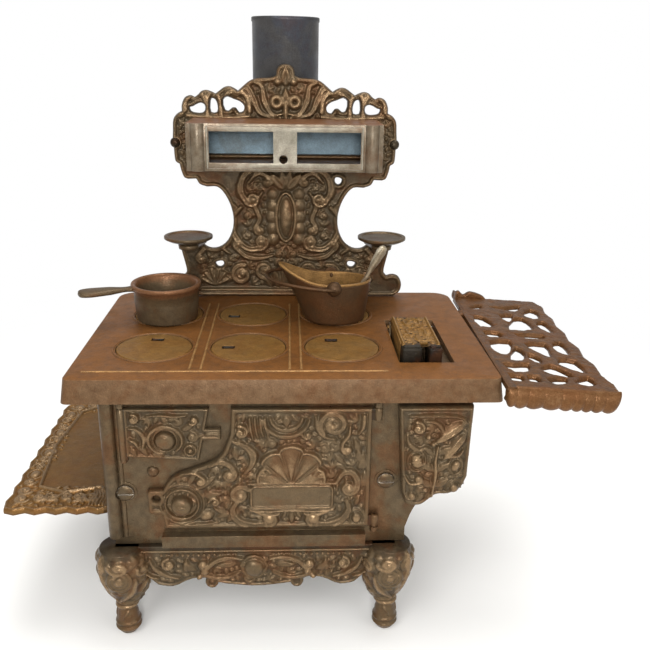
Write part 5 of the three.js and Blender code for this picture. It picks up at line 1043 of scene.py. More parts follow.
# Dressing the pieces

def dress(piece, key, body, *nodes, slot=None):
    """Gives a finished piece its finish and its body, and hides the nodes that it stands for. The slot is not used.
    """
    piece.data.materials.clear()
    piece.data.materials.append(finish(key))
    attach(piece, body)
    if nodes:
        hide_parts(*nodes)
    return piece


def soften_node(node, key, body, edge, name, slot=None):
    return dress(softened(node, mm(edge), name), key, body, node, slot=slot)


def repaint(node, key):
    """Gives a node that stays as it is its finish."""
    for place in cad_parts[node].material_slots:
        place.material = finish(key)


class RangeOperator(bpy.types.Operator):
    """What all the operators share"""
    bl_options = {"REGISTER", "UNDO"}

    def execute(self, context):
        self.build(context, context.scene.range_sizes)
        return {"FINISHED"}


class RANGE_OT_stage(RangeOperator):
    """Pale floor, soft lamps and the camera"""
    bl_idname = "toyrange.stage"
    bl_label = "Stage"

    CAMERA = (2.6, -377.8, 336.2)
    YAW, PITCH, ROLL = 2.86, 19.54, 0.94
    LENS, SENSOR = 41.9, 36.0
    FLOOR_HALF = 6000.0
    FADE = (0.26, 0.62)

    def build(self, context, sizes):
        self.make_floor(context)
        self.make_camera(context)
        self.make_lamps(context)
        self.make_world(context)
        context.scene.view_settings.view_transform = "Standard"

    def make_floor(self, context):
        half = self.FLOOR_HALF
        mesh = bpy.data.meshes.new("floor")
        mesh.from_pydata(in_frame([(-half, -half, 0), (half, -half, 0), (half, half, 0), (-half, half, 0)]).tolist(),
                         [], [(0, 1, 2, 3)])
        floor = placed("floor", mesh)
        material = bpy.data.materials.new("pale_floor")
        material.use_nodes = True
        material.node_tree.nodes.clear()
        short = Tree(material.node_tree)
        shader = short.node("ShaderNodeBsdfPrincipled", {
            "Roughness": 0.75, "Base Color": (*context.scene.range_colours.floor, 1), "Specular IOR Level": 0.15})
        away = short.node("ShaderNodeVectorMath", {0: short.node("ShaderNodeTexCoord").outputs["Object"]},
                          operation="LENGTH")
        path = short.node("ShaderNodeLightPath")
        seen = short.math("MAXIMUM", path.outputs["Is Camera Ray"], path.outputs["Is Glossy Ray"])
        far = short.math("MULTIPLY", ramp(short, away.outputs["Value"], *self.FADE), seen)
        white = short.node("ShaderNodeEmission", {"Color": (1, 1, 1, 1), "Strength": 1.0})
        both = short.node("ShaderNodeMixShader", {0: far, 1: shader.outputs[0], 2: white.outputs[0]})
        short.node("ShaderNodeOutputMaterial", {"Surface": both.outputs[0]})
        mesh.materials.append(material)

    def make_camera(self, context):
        yaw, pitch, roll = (radians(a) for a in (self.YAW, self.PITCH, self.ROLL))
        ahead = Vector((sin(yaw) * cos(pitch), cos(yaw) * cos(pitch), -sin(pitch)))
        right = Vector((cos(yaw), -sin(yaw), 0))
        up = right.cross(ahead)
        across = cos(roll) * right + sin(roll) * up
        above = -sin(roll) * right + cos(roll) * up
        place = spot(self.CAMERA)
        data = bpy.data.cameras.new("view")
        data.lens = self.LENS
        data.sensor_width = self.SENSOR
        data.clip_start = 0.01
        data.clip_end = 50
        camera = placed("view", data)
        camera.matrix_world = Matrix(((across.x, above.x, -ahead.x, place[0]),
                                      (across.y, above.y, -ahead.y, place[1]),
                                      (across.z, above.z, -ahead.z, place[2]), (0, 0, 0, 1)))
        context.scene.camera = camera

    def make_lamps(self, context):
        for name, place, aim, size, power in (
                ("key", (-500, -900, 1100), (0, 40, 150), 700, 8.5),
                ("fill", (800, -700, 500), (0, 40, 150), 700, 3.0),
                ("front", (2, -640, 420), (0, 60, 190), 160, 3.6),
                ("top", (100, 300, 1300), (0, 80, 150), 800, 12.0)):
            data = bpy.data.lights.new(name, "AREA")
            data.shape = "SQUARE"
            data.size = size * MM
            data.energy = power
            lamp = placed(name, data)
            lamp.location = spot(place)
            lamp.rotation_euler = (spot(aim) - spot(place)).to_track_quat("-Z", "Y").to_euler()

    def make_world(self, context):
        world = bpy.data.worlds.new("studio")
        context.scene.world = world
        world.use_nodes = True
        world.node_tree.nodes.clear()
        short = Tree(world.node_tree)
        path = short.node("ShaderNodeLightPath")
        seen = short.math("MAXIMUM", path.outputs["Is Camera Ray"], path.outputs["Is Transmission Ray"])
        strength = short.node("ShaderNodeMapRange", {"Value": seen, "To Min": 0.55, "To Max": 1.0})
        back = short.node("ShaderNodeBackground", {"Color": (1, 1, 1, 1), "Strength": strength.outputs[0]})
        short.node("ShaderNodeOutputWorld", {"Surface": back.outputs[0]})


class RANGE_OT_hob(RangeOperator):
    """Hob plate with its thin raised lines"""
    bl_idname = "toyrange.hob"
    bl_label = "Hob"

    LINE_PAIRS = (-53.4, -47, 2.8, 9.3)
    LINE_ENDS = (14, 133)
    FRONT_LINE = 11.5
    LINE_X = (-112, 58)
    # Lines nearer to a lid's middle than the reach are less worn than the straight ones
    LID_GAP, LID_REACH, WORN = 1.5, 26, (0.68, 0.9)

    def build(self, context, sizes):
        top = extent("lid_front_middle")[5]
        soften_node("hob_top", "hob_plate_iron", "stove", sizes.edge, "hob_plate")
        lines = [[(x, y, top) for y in self.LINE_ENDS] for x in self.LINE_PAIRS]
        lines.append([(x, self.FRONT_LINE, top) for x in self.LINE_X])
        middles = []
        for lid in LIDS:
            x0, x1, y0, y1, _, _ = extent(lid)
            middles.append(((x0 + x1) / 2, (y0 + y1) / 2))
            ring = circle(*middles[-1], (x1 - x0) / 2 + self.LID_GAP, count=64)
            lines.append([(x, y, top) for x, y in np.vstack([ring, ring[:1]])])
        mouldings = grown("hob_lines", lines_object("hob_lines_guide", lines), tree_of_mouldings(), {
            "Half width": sizes.line, "Rise": sizes.line * 0.8, "Material": finish("hob_plate_iron")})
        mark(mouldings, lambda x, y, z, value: np.where(
            np.min([np.hypot(x - mx, y - my) for mx, my in middles], axis=0) < self.LID_REACH, *self.WORN))
        dress(mouldings, "hob_plate_iron", "stove")


LIDS = ("lid_front_left", "lid_front_middle", "lid_front_right",
        "lid_back_left", "lid_back_middle", "lid_back_right")


class RANGE_OT_lids(RangeOperator):
    """Six lids with their lifter slots"""
    bl_idname = "toyrange.lids"
    bl_label = "Lids"

    # Half sizes of a slot, and where each lid has it, in shares of its radius from its middle
    SLOT = (3.4, 2)
    SLOTS = ((0, 0.58), (-0.54, 0), (-0.26, 0.5), (0.5, 0.2), (-0.55, -0.21), (0.2, 0.52))
    PLUG = 0.86
    SKIN = 0.8

    def build(self, context, sizes):
        half_x, half_y = self.SLOT
        for i, lid in enumerate(LIDS):
            x0, x1, y0, y1, z0, z1 = extent(lid)
            x, y, radius = (x0 + x1) / 2, (y0 + y1) / 2, (x1 - x0) / 2
            at_x, at_y = x + radius * self.SLOTS[i][0], y + radius * self.SLOTS[i][1]
            slot = rounded(at_x - half_x, at_x + half_x, at_y - half_y, at_y + half_y, 0.6, 3)
            parts = []
            for share, low, high in ((1, z1 - 2, z1), (self.PLUG, z0, z1 - 1.9)):
                loops = [circle(x, y, radius * share), slot]
                relief = outline_relief(loops, 0.5)
                relief.h += self.SKIN
                relief.age(0, (0.06, 5, 80 + i), (0.04, 1.6, 90 + i))
                disc = cast(f"{lid}_{high:.0f}", relief, loops, lying(low), high - low - self.SKIN, round_edge=0.5,
                            fade=0.3, top=2, ground=0)
                # Painted shade: the slot's walls are set below every other relief value, so they take the mostly
                # near-black lid shade colour
                parts.append(mark(disc, lambda px, py, pz, value: np.where(
                    np.maximum(np.abs(px - at_x) - half_x, np.abs(py - at_y) - half_y) < 0.3, -0.6, value)))
            dress(joined(lid + "_disc", parts), "lid_iron_olive", lid, lid)


class RANGE_OT_doors(RangeOperator):
    """Oven door and fire door with their ornament and knobs"""
    bl_idname = "toyrange.doors"
    bl_label = "Doors"

    def build(self, context, sizes):
        z0, z1 = extent("oven_door")[4:]
        self.make_door("oven_door", OVEN, sizes, oven_ornament, ((z0, z0 + OVEN.barrel), (z1 - OVEN.barrel, z1)))
        self.make_door("fire_door", FIRE, sizes, fire_ornament, (extent("fire_door")[4:],))

    def make_door(self, node, door, sizes, ornament, spans):
        """A door's ornamental plate with its hinge barrels and knob."""
        y0, y1 = extent(node)[2:4]
        rear = door.rear or y1
        face = facing_front(rear)
        loops = section(node, face, door.plate * SECTION_SHARE)
        loops = [between(loop, **door.limit) for loop in loops]
        relief = outline_relief(loops, mm(sizes.fine) * door.grid)
        relief.rise = mm(sizes.rise)
        ornament(relief)
        relief.age(2, *door.pits)
        plate = cast(node + "_plate", relief, loops, face, door.plate, round_edge=door.round_edge, rim=door.rim)
        barrels = barrel_pair(node, *door.hinge, *door.limit.values(), spans)
        knob = door_knob(node + "_knob", door.knob_x, door.knob_z, rear - door.plate + 0.3, door.knob_radius,
                         rear - door.plate - y0 - door.knob_sunk, door.ridge)
        dress(joined(node + "_casting", [plate, *barrels, *knob]), "old_iron", node, node)


class OVEN:
    """Sizes of the oven door; the hinge is its x, y and radius"""
    plate, rear, round_edge, rim = 2.4, 5.7, 1, (1.5, 1.5)
    limit = {"right": 49.4}
    grid, pits = 1, ((0.05, 2.6, 3), (0.04, 1.1, 4))
    hinge, barrel = (52.6, 3.2, 2.3), 8
    knob_x, knob_z, knob_radius, knob_sunk, ridge = -59.3, 91.6, 6, 0, True


class FIRE:
    """Sizes of the fire door; its rear is the node's own"""
    plate, rear, round_edge, rim = 2.4, None, 0.9, (1, 1.1)
    limit = {"left": -89.2}
    grid, pits = 0.9, ((0.05, 2.4, 5), (0.04, 1, 6))
    hinge = (-90.6, 3.2, 1.9)
    knob_x, knob_z, knob_radius, knob_sunk, ridge = -66.8, 132.8, 5.4, 0.1, False


def barrel_pair(name, x, y, radius, edge, spans):
    """Hinge barrels with the short arms that tie them to the door's edge."""
    made = []
    for i, (low, high) in enumerate(spans):
        soft = radius * 0.22
        profile = [(0, low), (radius - soft, low), (radius, low + soft), (radius, high - soft),
                   (radius - soft, high), (0, high)]
        barrel = sharpen(revolve(f"{name}_{i}", profile, x, y, 0, 40))
        left, right = min(x, edge), max(x, edge)
        grow = 1.2 if edge < x else 0
        arm = box(f"{name}_arm_{i}", left - grow, right + 1.2 - grow, y - radius * 0.5, y + radius * 0.55,
                  low + soft, high - soft, 0.3)
        made += [barrel, arm]
    return made


def door_knob(name, x, z, y, radius, reach, ridge):
    """A round knob on its stepped foot, with the cast ridge across its face."""
    profile = [(0, -0.6), (radius * 1.5, -0.6), (radius * 1.5, 0.5), (radius * 1.36, 0.95), (radius * 1.2, 0.55),
               (radius * 1.06, 0.5), (radius, reach * 0.35), (radius * 0.98, reach * 0.58),
               (radius * 0.9, reach * 0.76), (radius * 0.7, reach * 0.9), (radius * 0.4, reach * 0.97), (0, reach)]
    knob = sharpen(revolve(name, profile, x, y, z, 64, axis="y"), 35)
    if not ridge:
        return [knob]
    half = radius * 0.84
    lens = loft(name + "_ridge", [
        [(x + s * half, y - reach * (0.985 - 0.30 * s * s) - 0.7 * c * (1 - s ** 4),
          z + 0.8 + 1.1 * w * (1 - s ** 4) ** 0.5)
         for c, w in ((cos(t), sin(t)) for t in full_turn(16))]
        for s in np.linspace(-0.999, 0.999, 25)])
    return [knob, closed(lens)]


def oven_ornament(r):
    """Shell, bare name field, scrolls and leaves of the oven door."""
    r.shell(3.7, 103.5, 27, 5, 0.245, 1.05)
    for x, z, turn, way in ((-12, 111.5, 0, 1), (20.4, 110.2, 0.5, -1)):
        r.spiral(x, z, 3.6, 1.3, turn, 0.95, 0.9, way)
    for x, z, turn, way in ((-8.2, 106.2, 0, 1), (15.6, 105.8, 0.5, -1)):
        r.spiral(x, z, 2.2, 1.1, turn, 0.75, 0.8, way)
    r.panel(rounded(-20.4, 28.4, 87.6, 103.6, 3.4), 0.35, 0.55, 0.8)
    r.ribbon([(-21.5, 104.4), (-8, 105), (3.8, 104.5), (16, 105), (29.4, 104.4)], 0.9, 0.85)
    r.ribbon([(-20.5, 86.8), (-9, 86.2), (3.8, 86.6), (17, 86.2), (28.6, 86.8)], 0.9, 0.85)
    # Scrolls beside the name field
    r.spiral(-25.8, 97.2, 6, 1.7, 0.1, 1.9, 1, 1, 0.35)
    r.scroll([(29.7, 104.9), (33.2, 110.6), (38, 111.6), (41.4, 107.4), (41.6, 101.2)], 2.3, 1, 4.6, 1.2, -1, 0.4)
    r.petal(44.9, 112.6, 0.25, 12, 2.4, 0.8)
    r.petal(45.2, 101, 0.24, 11, 2, 0.7)
    # Ribbons below it, mirrored about the name field's middle
    left = [(-27.6, 92.6), (-30.4, 87), (-27.6, 80.2), (-19.4, 76.6), (-9.4, 77)]
    right = [(35.9, 92.6), (37.2, 87), (33.4, 80.2), (26, 76.8), (16.8, 77)]
    r.scroll(left, 2.9, 1, 4, 1.2, 1, 0.5)
    r.scroll(right, 2.9, 1, 4, 1.2, -1, 0.5)
    r.ribbon([(-21.6, 88.6), (-15, 85), (-8.6, 83.2), (-3.2, 84.4)], (0.5, 1.5, 0.9), 0.85)
    r.ribbon([(29.2, 88.6), (22.8, 85), (16.4, 83.2), (11, 84.4)], (0.5, 1.5, 0.9), 0.85)
    r.petal(3.9, 85.8, 0.75, 8.6, 2.1, 1)
    r.petal(1.2, 85.6, 0.66, 6, 1.3, 0.8)
    r.petal(6.6, 85.6, 0.84, 6, 1.3, 0.8)
    for x, turn in ((-36.4, 0.42), (-34, 0.55), (-31, 0.64)):
        r.petal(x + 2, 84.6, turn, 8.4, 1.7, 0.8)
    r.boss(41.9, 80.9, 3, 3.9, 0.9)
    r.ring(41.9, 80.9, 4.6, 0.6, 0.6, 5.4)
    for z, turn in ((89, 0.2), (94.4, 0.28)):
        r.petal(41, z, turn, 7.4, 1.6, 0.7)
    # Upper left: eye, flutes and hanging arcs
    r.spiral(-24.6, 137.4, 4.4, 1.4, 0.3, 1.25, 1, -1, 0.2)
    r.ribbon([(-25.6, 144.6), (-25.6, 133), (-24.4, 129.6)], (0.5, 0.9, 0.7), 0.6)
    for i, x in enumerate((-19.6, -16.7, -13.8, -11)):
        r.ribbon([(x, 146.2), (x + 0.5, 139.6), (x + 1.8, 132.4 + i * 0.9)], (0.9, 1.15, 0.5), 0.75)
    for radius in (9.2, 13.4):
        arc = [(0.9 + radius * cos(t), 147.6 + radius * sin(t)) for t in np.linspace(-2.95, -0.2, 9)]
        r.ribbon(arc, (0.9, 1.7, 0.9), 0.85, 0.3)
    r.shell(0.9, 147.4, -7.6, 5, 0.2, 0.7)
    r.petal(0.9, 147, 0.75, 7, 2.6, 0.8)
    r.spiral(12.9, 135.6, 3, 1.2, 0.5, 1, 0.85, 1)
    # Upper right: the large wheel and the S stem under it
    r.spiral(27.6, 141.8, 8.4, 2, 0.62, 2, 1, -1, 0.4)
    r.ribbon([(17.4, 146.8), (18.2, 139.6), (22.6, 134.2), (28.4, 132.6)], (0.7, 1.5, 0.8), 0.85, 0.3)
    r.scroll([(36.8, 141.2), (36.2, 135.4), (33, 130.6), (32.6, 126.2)], 1.5, 1, 2.8, 1.3, 1, 0.2)
    r.ribbon([(44.6, 147.2), (44.2, 140.4), (41.2, 135.4)], (1.6, 1.7, 0.6), 0.8)
    for z, turn, wide in ((128.4, 0.3, 2.2), (122.4, 0.26, 2.3), (117.2, 0.2, 2)):
        r.petal(42.4, z - 4.4, turn, 9.6, wide, 0.85)
    r.petal(28.6, 122.6, 0.87, 8.6, 2, 0.8)
    r.petal(29.2, 116.6, 0.92, 7.2, 1.7, 0.75)
    # Left of the shell: ribbon, leaf and scroll that run into the lobe
    r.ribbon([(-29, 131.6), (-22.4, 128.6), (-18, 123.4), (-19, 116.4), (-23, 111.4)],
             (1.2, 2.7, 1), 1, 0.45)
    r.petal(-28.4, 127.4, 0.77, 8.6, 2.2, 0.85)
    r.scroll([(-43, 116), (-36.6, 118.8), (-31.4, 116.6), (-28.6, 112)], 2.1, 1, 3.8, 1.2, -1, 0.4)
    # The lobe round the knob
    for radius, wide, share in ((9.6, 0.9, 0.8), (12.6, 0.75, 0.6)):
        r.ring(OVEN.knob_x, OVEN.knob_z, radius, wide, share)
    for turn, long, wide in ((0.06, 12.4, 2.4), (0.13, 13.4, 2.3), (0.2, 13, 2.1), (0.27, 11, 1.9)):
        a = turn * TAU
        r.petal(OVEN.knob_x + 12.6 * cos(a), OVEN.knob_z + 12.6 * sin(a), turn - 0.03, long, wide, 0.85)
    r.scroll([(-64.4, 108.4), (-58.2, 111.6), (-51.6, 112), (-46.6, 108.6)], 1.3, 0.9, 2.9, 1.2, -1)
    r.boss(-45.4, 83.6, 4.6, 3.4, 0.85, 0.5)
    r.spiral(-40.6, 92.4, 3.6, 1.3, 0.5, 1.1, 0.85, -1)
    r.ribbon([(-66, 80.4), (-58, 77.4), (-49, 77.6), (-38.6, 78.6)], (0.5, 1.2, 0.6), 0.7)
    r.fill((-66, 48, 76, 148), 0.66, 65, 3.4, heart=(4, 104))


def fire_ornament(r):
    """Leaves and small scrolls round the fire door's knob."""
    x, z = FIRE.knob_x, FIRE.knob_z
    arc = [(x + 9.4 * cos(t), z + 8.4 * sin(t)) for t in np.linspace(-0.9, 4.6, 15)]
    r.ribbon(arc, (0.8, 1.5, 0.8), 0.95, 0.3)
    r.ring(x, z, 6.6, 0.7, 0.7)
    r.spiral(-83.6, 146, 3.2, 1.4, 0.3, 1.1, 0.9, -1)
    r.ribbon([(-87, 140.4), (-82.4, 139.4), (-78.6, 134.8), (-79.4, 128)], (0.6, 1.6, 0.8), 1, 0.35)
    r.ribbon([(-87, 133.4), (-83.4, 131.6), (-81.4, 127.2)], (0.6, 1.2, 0.5), 0.85)
    for px, pz, turn, long in ((-86.4, 128.6, 0.83, 7.4), (-81.4, 129.6, 0.85, 8.6), (-74.6, 124.8, 0.93, 8)):
        r.petal(px, pz, turn, long, 1.9, 0.85)
    r.spiral(-50.6, 145.2, 2.8, 1.3, 0.6, 0.95, 0.9, 1)
    r.ribbon([(-76.4, 147.4), (-68.6, 148.2), (-60.6, 147.4), (-54.4, 148)], (0.5, 1.2, 0.6), 0.75)
    r.ring(-53, 126.6, 3.2, 0.8, 0.8)
    r.boss(-53, 126.6, 1.7, 1.7, 1)
    r.petal(-57.4, 138.6, 0.08, 8.4, 2, 0.85)
    r.petal(-58.8, 123, 0.02, 5.4, 1.3, 0.75)
    r.ribbon([(-43.4, 136), (-40.4, 136.4), (-37.6, 136)], 1.4, 0.5)
    r.fill((-87, -43, 121, 149), 0.66, 66, 2.2, SMALL, heart=(x, z))


class RANGE_OT_body(RangeOperator):
    """Front, ends, rear, floor and firebox of the body"""
    bl_idname = "toyrange.body"
    bl_label = "Body"

    def build(self, context, sizes):
        for node in ("front_panel", "left_end", "right_end", "rear_panel"):
            soften_node(node, "old_iron", "stove", sizes.edge, node.removesuffix("_panel") + "_casting")
        for node in ("bottom_plate", "firebox_divider", "fire_grate"):
            repaint(node, "old_iron_plain")


class RANGE_OT_reservoir(RangeOperator):
    """Water reservoir: ornamental front, casing, well and hinged lid"""
    bl_idname = "toyrange.reservoir"
    bl_label = "Reservoir"

    # Where the lid's lobes end, the slot between them, and its trunnions' length
    LID_SPLIT, LID_SLOT, TRUNNION = 36, (79.6, 83.6), 2.4

    def build(self, context, sizes):
        y0, y1 = extent("reservoir_front")[2:4]
        face = facing_front(y1)
        loops = section("reservoir_front", face, (y1 - y0) * SECTION_SHARE)
        relief = outline_relief(loops, mm(sizes.fine))
        relief.rise = mm(sizes.rise)
        reservoir_ornament(relief)
        relief.age(2, (0.05, 2.4, 7), (0.04, 1, 8))
        front = cast("reservoir_front_casting", relief, loops, face, (y1 - y0) * 0.55, round_edge=1.4, rim=(1.2, 1.2),
                     bulge=lambda d: 2.2 * (1 - (1 - np.clip(d / 11, 0, 1)) ** 2))
        dress(front, "old_iron", "stove", "reservoir_front")
        soften_node("reservoir_casing", "old_iron", "stove", sizes.edge, "reservoir_box")
        soften_node("reservoir_tank", "old_iron", "stove", sizes.thin_edge, "reservoir_well")
        self.make_lid(sizes)

    def make_lid(self, sizes):
        """The hollow lid with its two front lobes, side rims and a top of leaves and curls."""
        x0, x1, y0, y1, z0, z1 = extent("reservoir_lid")
        x0, x1 = x0 + self.TRUNNION, x1 - self.TRUNNION
        parts = [softened_slice("reservoir_lid", mm(sizes.edge), "reservoir_lid_box", low=self.LID_SPLIT, axis=1)]
        for i, (left, right) in enumerate(((x0, self.LID_SLOT[0]), (self.LID_SLOT[1], x1))):
            parts.append(box(f"lid_lobe_{i}", left, right, y0 + 0.4, self.LID_SPLIT + 0.6, z0 + 0.2, z1 - 0.2, 1.2))
            parts.append(box(f"lid_ridge_{i}", left + 0.8, right - 0.8, y0 + 1.6, y0 + 4.6, z1 - 1, z1 + 0.9, 0.6))
        outline = rounded(x0 + 0.2, x1 - 0.2, y0 + 6, y1 - 0.3, 0.8, 3)
        slot = rounded(*self.LID_SLOT, y0 + 6.4, y0 + 11, 0.5, 3)
        relief = outline_relief([outline, slot], 0.4)
        middle = (x0 + x1) / 2
        for side in (-1, 1):
            relief.ribbon([(middle + side * 10.4, y0 + 7), (middle + side * 10.4, y1 - 2)], 1, 1.5)
            for way, stem in ((-side, ((1.2, 4), (5, 9), (4.4, 16))), (side, ((1.2, 22), (5.4, 26), (5, 33)))):
                relief.scroll([(middle + side * x, y1 - y) for x, y in stem], 1, 1.3, 2, 1.2, way)
        relief.petal(middle, y1 - 44, 0.25, 12, 2.4, 1.3)
        relief.fill((x0 + 2, x1 - 2, y0 + 8, y1 - 1.5), 1.2, 71, 1, (2.5, 1.8, 1.3, 0.9), heart=(middle, y0))
        relief.age(1)
        parts.append(cast("lid_top", relief, [outline, slot], lying(z1 - 1), 1, round_edge=0.5, fade=0.5, top=1.4))
        dress(joined("reservoir_lid_casting", parts), "lid_iron_olive", "reservoir_lid", "reservoir_lid")


def reservoir_ornament(r):
    """Streaked leaves, lobes, ovals and a curl on the reservoir's front."""
    r.ribbon([(70, 148.2), (84, 148.4), (98, 147.6), (102.6, 143.4)], (0.7, 0.9, 0.7), 0.7)
    for px, pz, turn, long, wide in ((101.8, 144.8, 0.60, 23, 4), (102.4, 137.8, 0.645, 22, 3.6)):
        r.petal(px, pz, turn, long, wide, 1)
        for off in (-1.3, 0, 1.3):
            a = turn * TAU
            cx, cz = px - off * sin(a), pz + off * cos(a)
            r.ribbon([(cx + 3 * cos(a), cz + 3 * sin(a)),
                      (cx + long * 0.86 * cos(a), cz + long * 0.86 * sin(a))], (0.2, 0.45, 0.2), 1.25)
    r.spiral(74.6, 141.4, 4, 1.5, 0.3, 1.3, 1, -1, 0.2)
    r.ribbon([(78.6, 145.4), (84.4, 144.6), (88.4, 140), (87.4, 134.4)], (0.6, 1.5, 0.8), 0.9, 0.3)
    r.boss(80.6, 136, 1.9, 1.9, 1.1)
    r.boss(83.4, 131.6, 1.6, 1.6, 1.05)
    r.ribbon([(68.6, 137), (70.2, 131), (75.4, 127.6), (79.4, 129.2)], (0.6, 1.7, 1), 0.9, 0.35)
    r.boss(74.8, 120.6, 3.4, 5.2, 1, 0.3)
    r.ring(74.8, 120.6, 5, 0.7, 0.7, 6.8)
    for i in range(4):
        r.ribbon([(71.8, 117.8 + i * 2), (77.8, 118.8 + i * 2)], 0.35, 1.25)
    r.ribbon([(86.4, 130), (85.4, 121), (86, 111.6), (85, 101.6), (85.2, 94.4)], (0.9, 1.4, 0.9), 0.9)
    for side in (-1, 1):
        for z, long, wide in ((124.4, 9, 2.1), (113.6, 10, 2.4), (103, 10.4, 2.5)):
            r.petal(85.6 + side * 1.2, z, 0.25 - side * 0.135, long, wide, 0.9)
    r.boss(97.2, 117.4, 2.8, 4.2, 1, -0.4)
    r.ring(97.2, 117.4, 4.2, 0.65, 0.7, 5.6)
    r.scroll([(101.4, 127.6), (98.6, 124.2), (93.6, 123.6)], 1.2, 0.9, 2.3, 1.2, -1)
    r.boss(97.8, 102, 3, 4.2, 0.95, 0.35)
    r.ring(97.8, 102, 4.4, 0.6, 0.65, 5.6)
    r.scroll([(68.4, 110.4), (71.6, 106), (76.6, 106.4)], 1.3, 0.9, 2.6, 1.3, 1)
    for px, pz, turn in ((80.4, 98.4, 0.62), (84.2, 99, 0.72), (88.4, 98.8, 0.80), (92.6, 98.4, 0.88)):
        r.petal(px, pz, turn, 7.6, 1.9, 0.9)
    r.spiral(72.6, 97.6, 3.2, 1.4, 0.5, 1.1, 0.9, 1, 0.2)
    r.fill((66, 105, 91, 146), 0.66, 67, 2.4, heart=(85, 120))


class BASE:
    """Places on the base casting; foot and knee are (height, radius) and (height, radius, lean) shares"""
    box = (-101, 66.6, 2.8, 158.4)
    legs_x = (-96.4, 62)
    legs_y = (6.6, 146)
    foot_radius, foot_height, knee_radius, top = 7.8, 22, 15.4, 62
    foot = ((0, 0.58), (0.04, 0.8), (0.16, 0.97), (0.36, 1), (0.62, 0.92), (0.9, 0.8))
    knee = ((0.1, 0.62, 0.12), (0.3, 0.85, 0.08), (0.6, 1, 0), (0.82, 0.97, -0.04), (1, 0.8, -0.1))
    apron_thick, ring, ring_wide = 3, 5, 9
    apron_half, side_half, leg_rise = 79, 60, 0.8
    drop_x, drop_z = -18.5, 47.7
    boss_z, boss_radius, boss_reach = 46, 7.6, 2.5


class RANGE_OT_base(RangeOperator):
    """Base: ring, scalloped aprons, four cabriole legs and their bosses"""
    bl_idname = "toyrange.base"
    bl_label = "Base"

    def build(self, context, sizes):
        x0, x1, y0, y1 = BASE.box
        middle, side_middle, thick = sum(BASE.legs_x) / 2, sum(BASE.legs_y) / 2, BASE.apron_thick
        rear = Plane((0, y1 - thick, 0), (1, 0, 0), (0, 0, 1), (0, 1, 0))
        wide = BASE.ring_wide
        parts = [self.apron("apron_front", sizes, facing_front(y0 + thick), middle, True, 11),
                 self.apron("apron_rear", sizes, rear, middle, False, 12),
                 self.apron("apron_left", sizes, facing_side(x0 + thick, -1), side_middle, True, 13),
                 self.apron("apron_right", sizes, facing_side(x1 - thick, 1), side_middle, True, 14)]
        for i, sides in enumerate(((x0, x1, y0, y0 + wide), (x0, x1, y1 - wide, y1),
                                   (x0, x0 + wide, y0, y1), (x1 - wide, x1, y0, y1))):
            parts.append(box(f"ring_{i}", *sides, BASE.top - BASE.ring, BASE.top, 0.8))
        for side_x, side_y in ((-1, -1), (1, -1), (-1, 1), (1, 1)):
            x, y = BASE.legs_x[side_x > 0], BASE.legs_y[side_y > 0]
            parts.append(cabriole_leg(x, y, side_x, side_y, mm(sizes.rise) * BASE.leg_rise))
            if side_y < 0:
                parts.append(ringed_boss(x, y))
        parts.append(self.middle_drop(y0))
        dress(joined("base_casting", parts), "old_iron", "stove", "base")
        self.beads(sizes, y0, middle)

    def apron(self, name, sizes, face, middle, ornate, seed):
        """An apron between two legs, from the section of the base just behind its face."""
        loops = section("base", face, BASE.apron_thick * 0.5)
        lows = [loop for loop in loops if np.ptp(loop[:, 0]) > BASE.side_half]
        if not lows:
            raise RuntimeError("no apron outline for " + name)
        half = np.ptp(lows[0][:, 0]) / 2
        loops = [between(lows[0], middle - half, middle + half, high=BASE.top - BASE.ring / 2)]
        relief = Relief(middle - half - 1, middle + half + 1, 30, BASE.top, mm(sizes.middle) * 0.9).within(loops)
        if ornate:
            relief.rise = mm(sizes.rise)
            apron_ornament(relief, middle, min(half, BASE.apron_half if half > BASE.side_half else BASE.side_half))
        relief.age(1, (0.05, 2.4, seed))
        return cast(name, relief, loops, face, BASE.apron_thick, round_edge=0.9, rim=(0.9, 0.8))

    def middle_drop(self, y0):
        """The ball in a ring at the middle of the front apron."""
        profile = [(0, -1), (8.2, -1), (8.4, 0.6), (7.6, 1.9), (6.6, 1.2), (6, 1), (5.6, 2.6), (4.3, 4),
                   (2.2, 4.6), (0, 4.7)]
        return sharpen(revolve("middle_boss", profile, BASE.drop_x, y0, BASE.drop_z, 56, axis="y"), 40)

    def beads(self, sizes, y0, middle):
        """Beads that follow the ring's lower edge between the knees."""
        z = BASE.top - BASE.ring - 0.9
        lines = [[(middle + x, y0 - 0.2, z) for x in ends] for ends in ((-56, -12), (10, 56))]
        made = grown("base_beads", lines_object("base_beads_guide", lines), tree_of_beads(),
                     {"Spacing": sizes.bead_step, "Radius": sizes.bead, "Material": finish("old_iron")}, 0.8)
        dress(made, "old_iron", "stove")


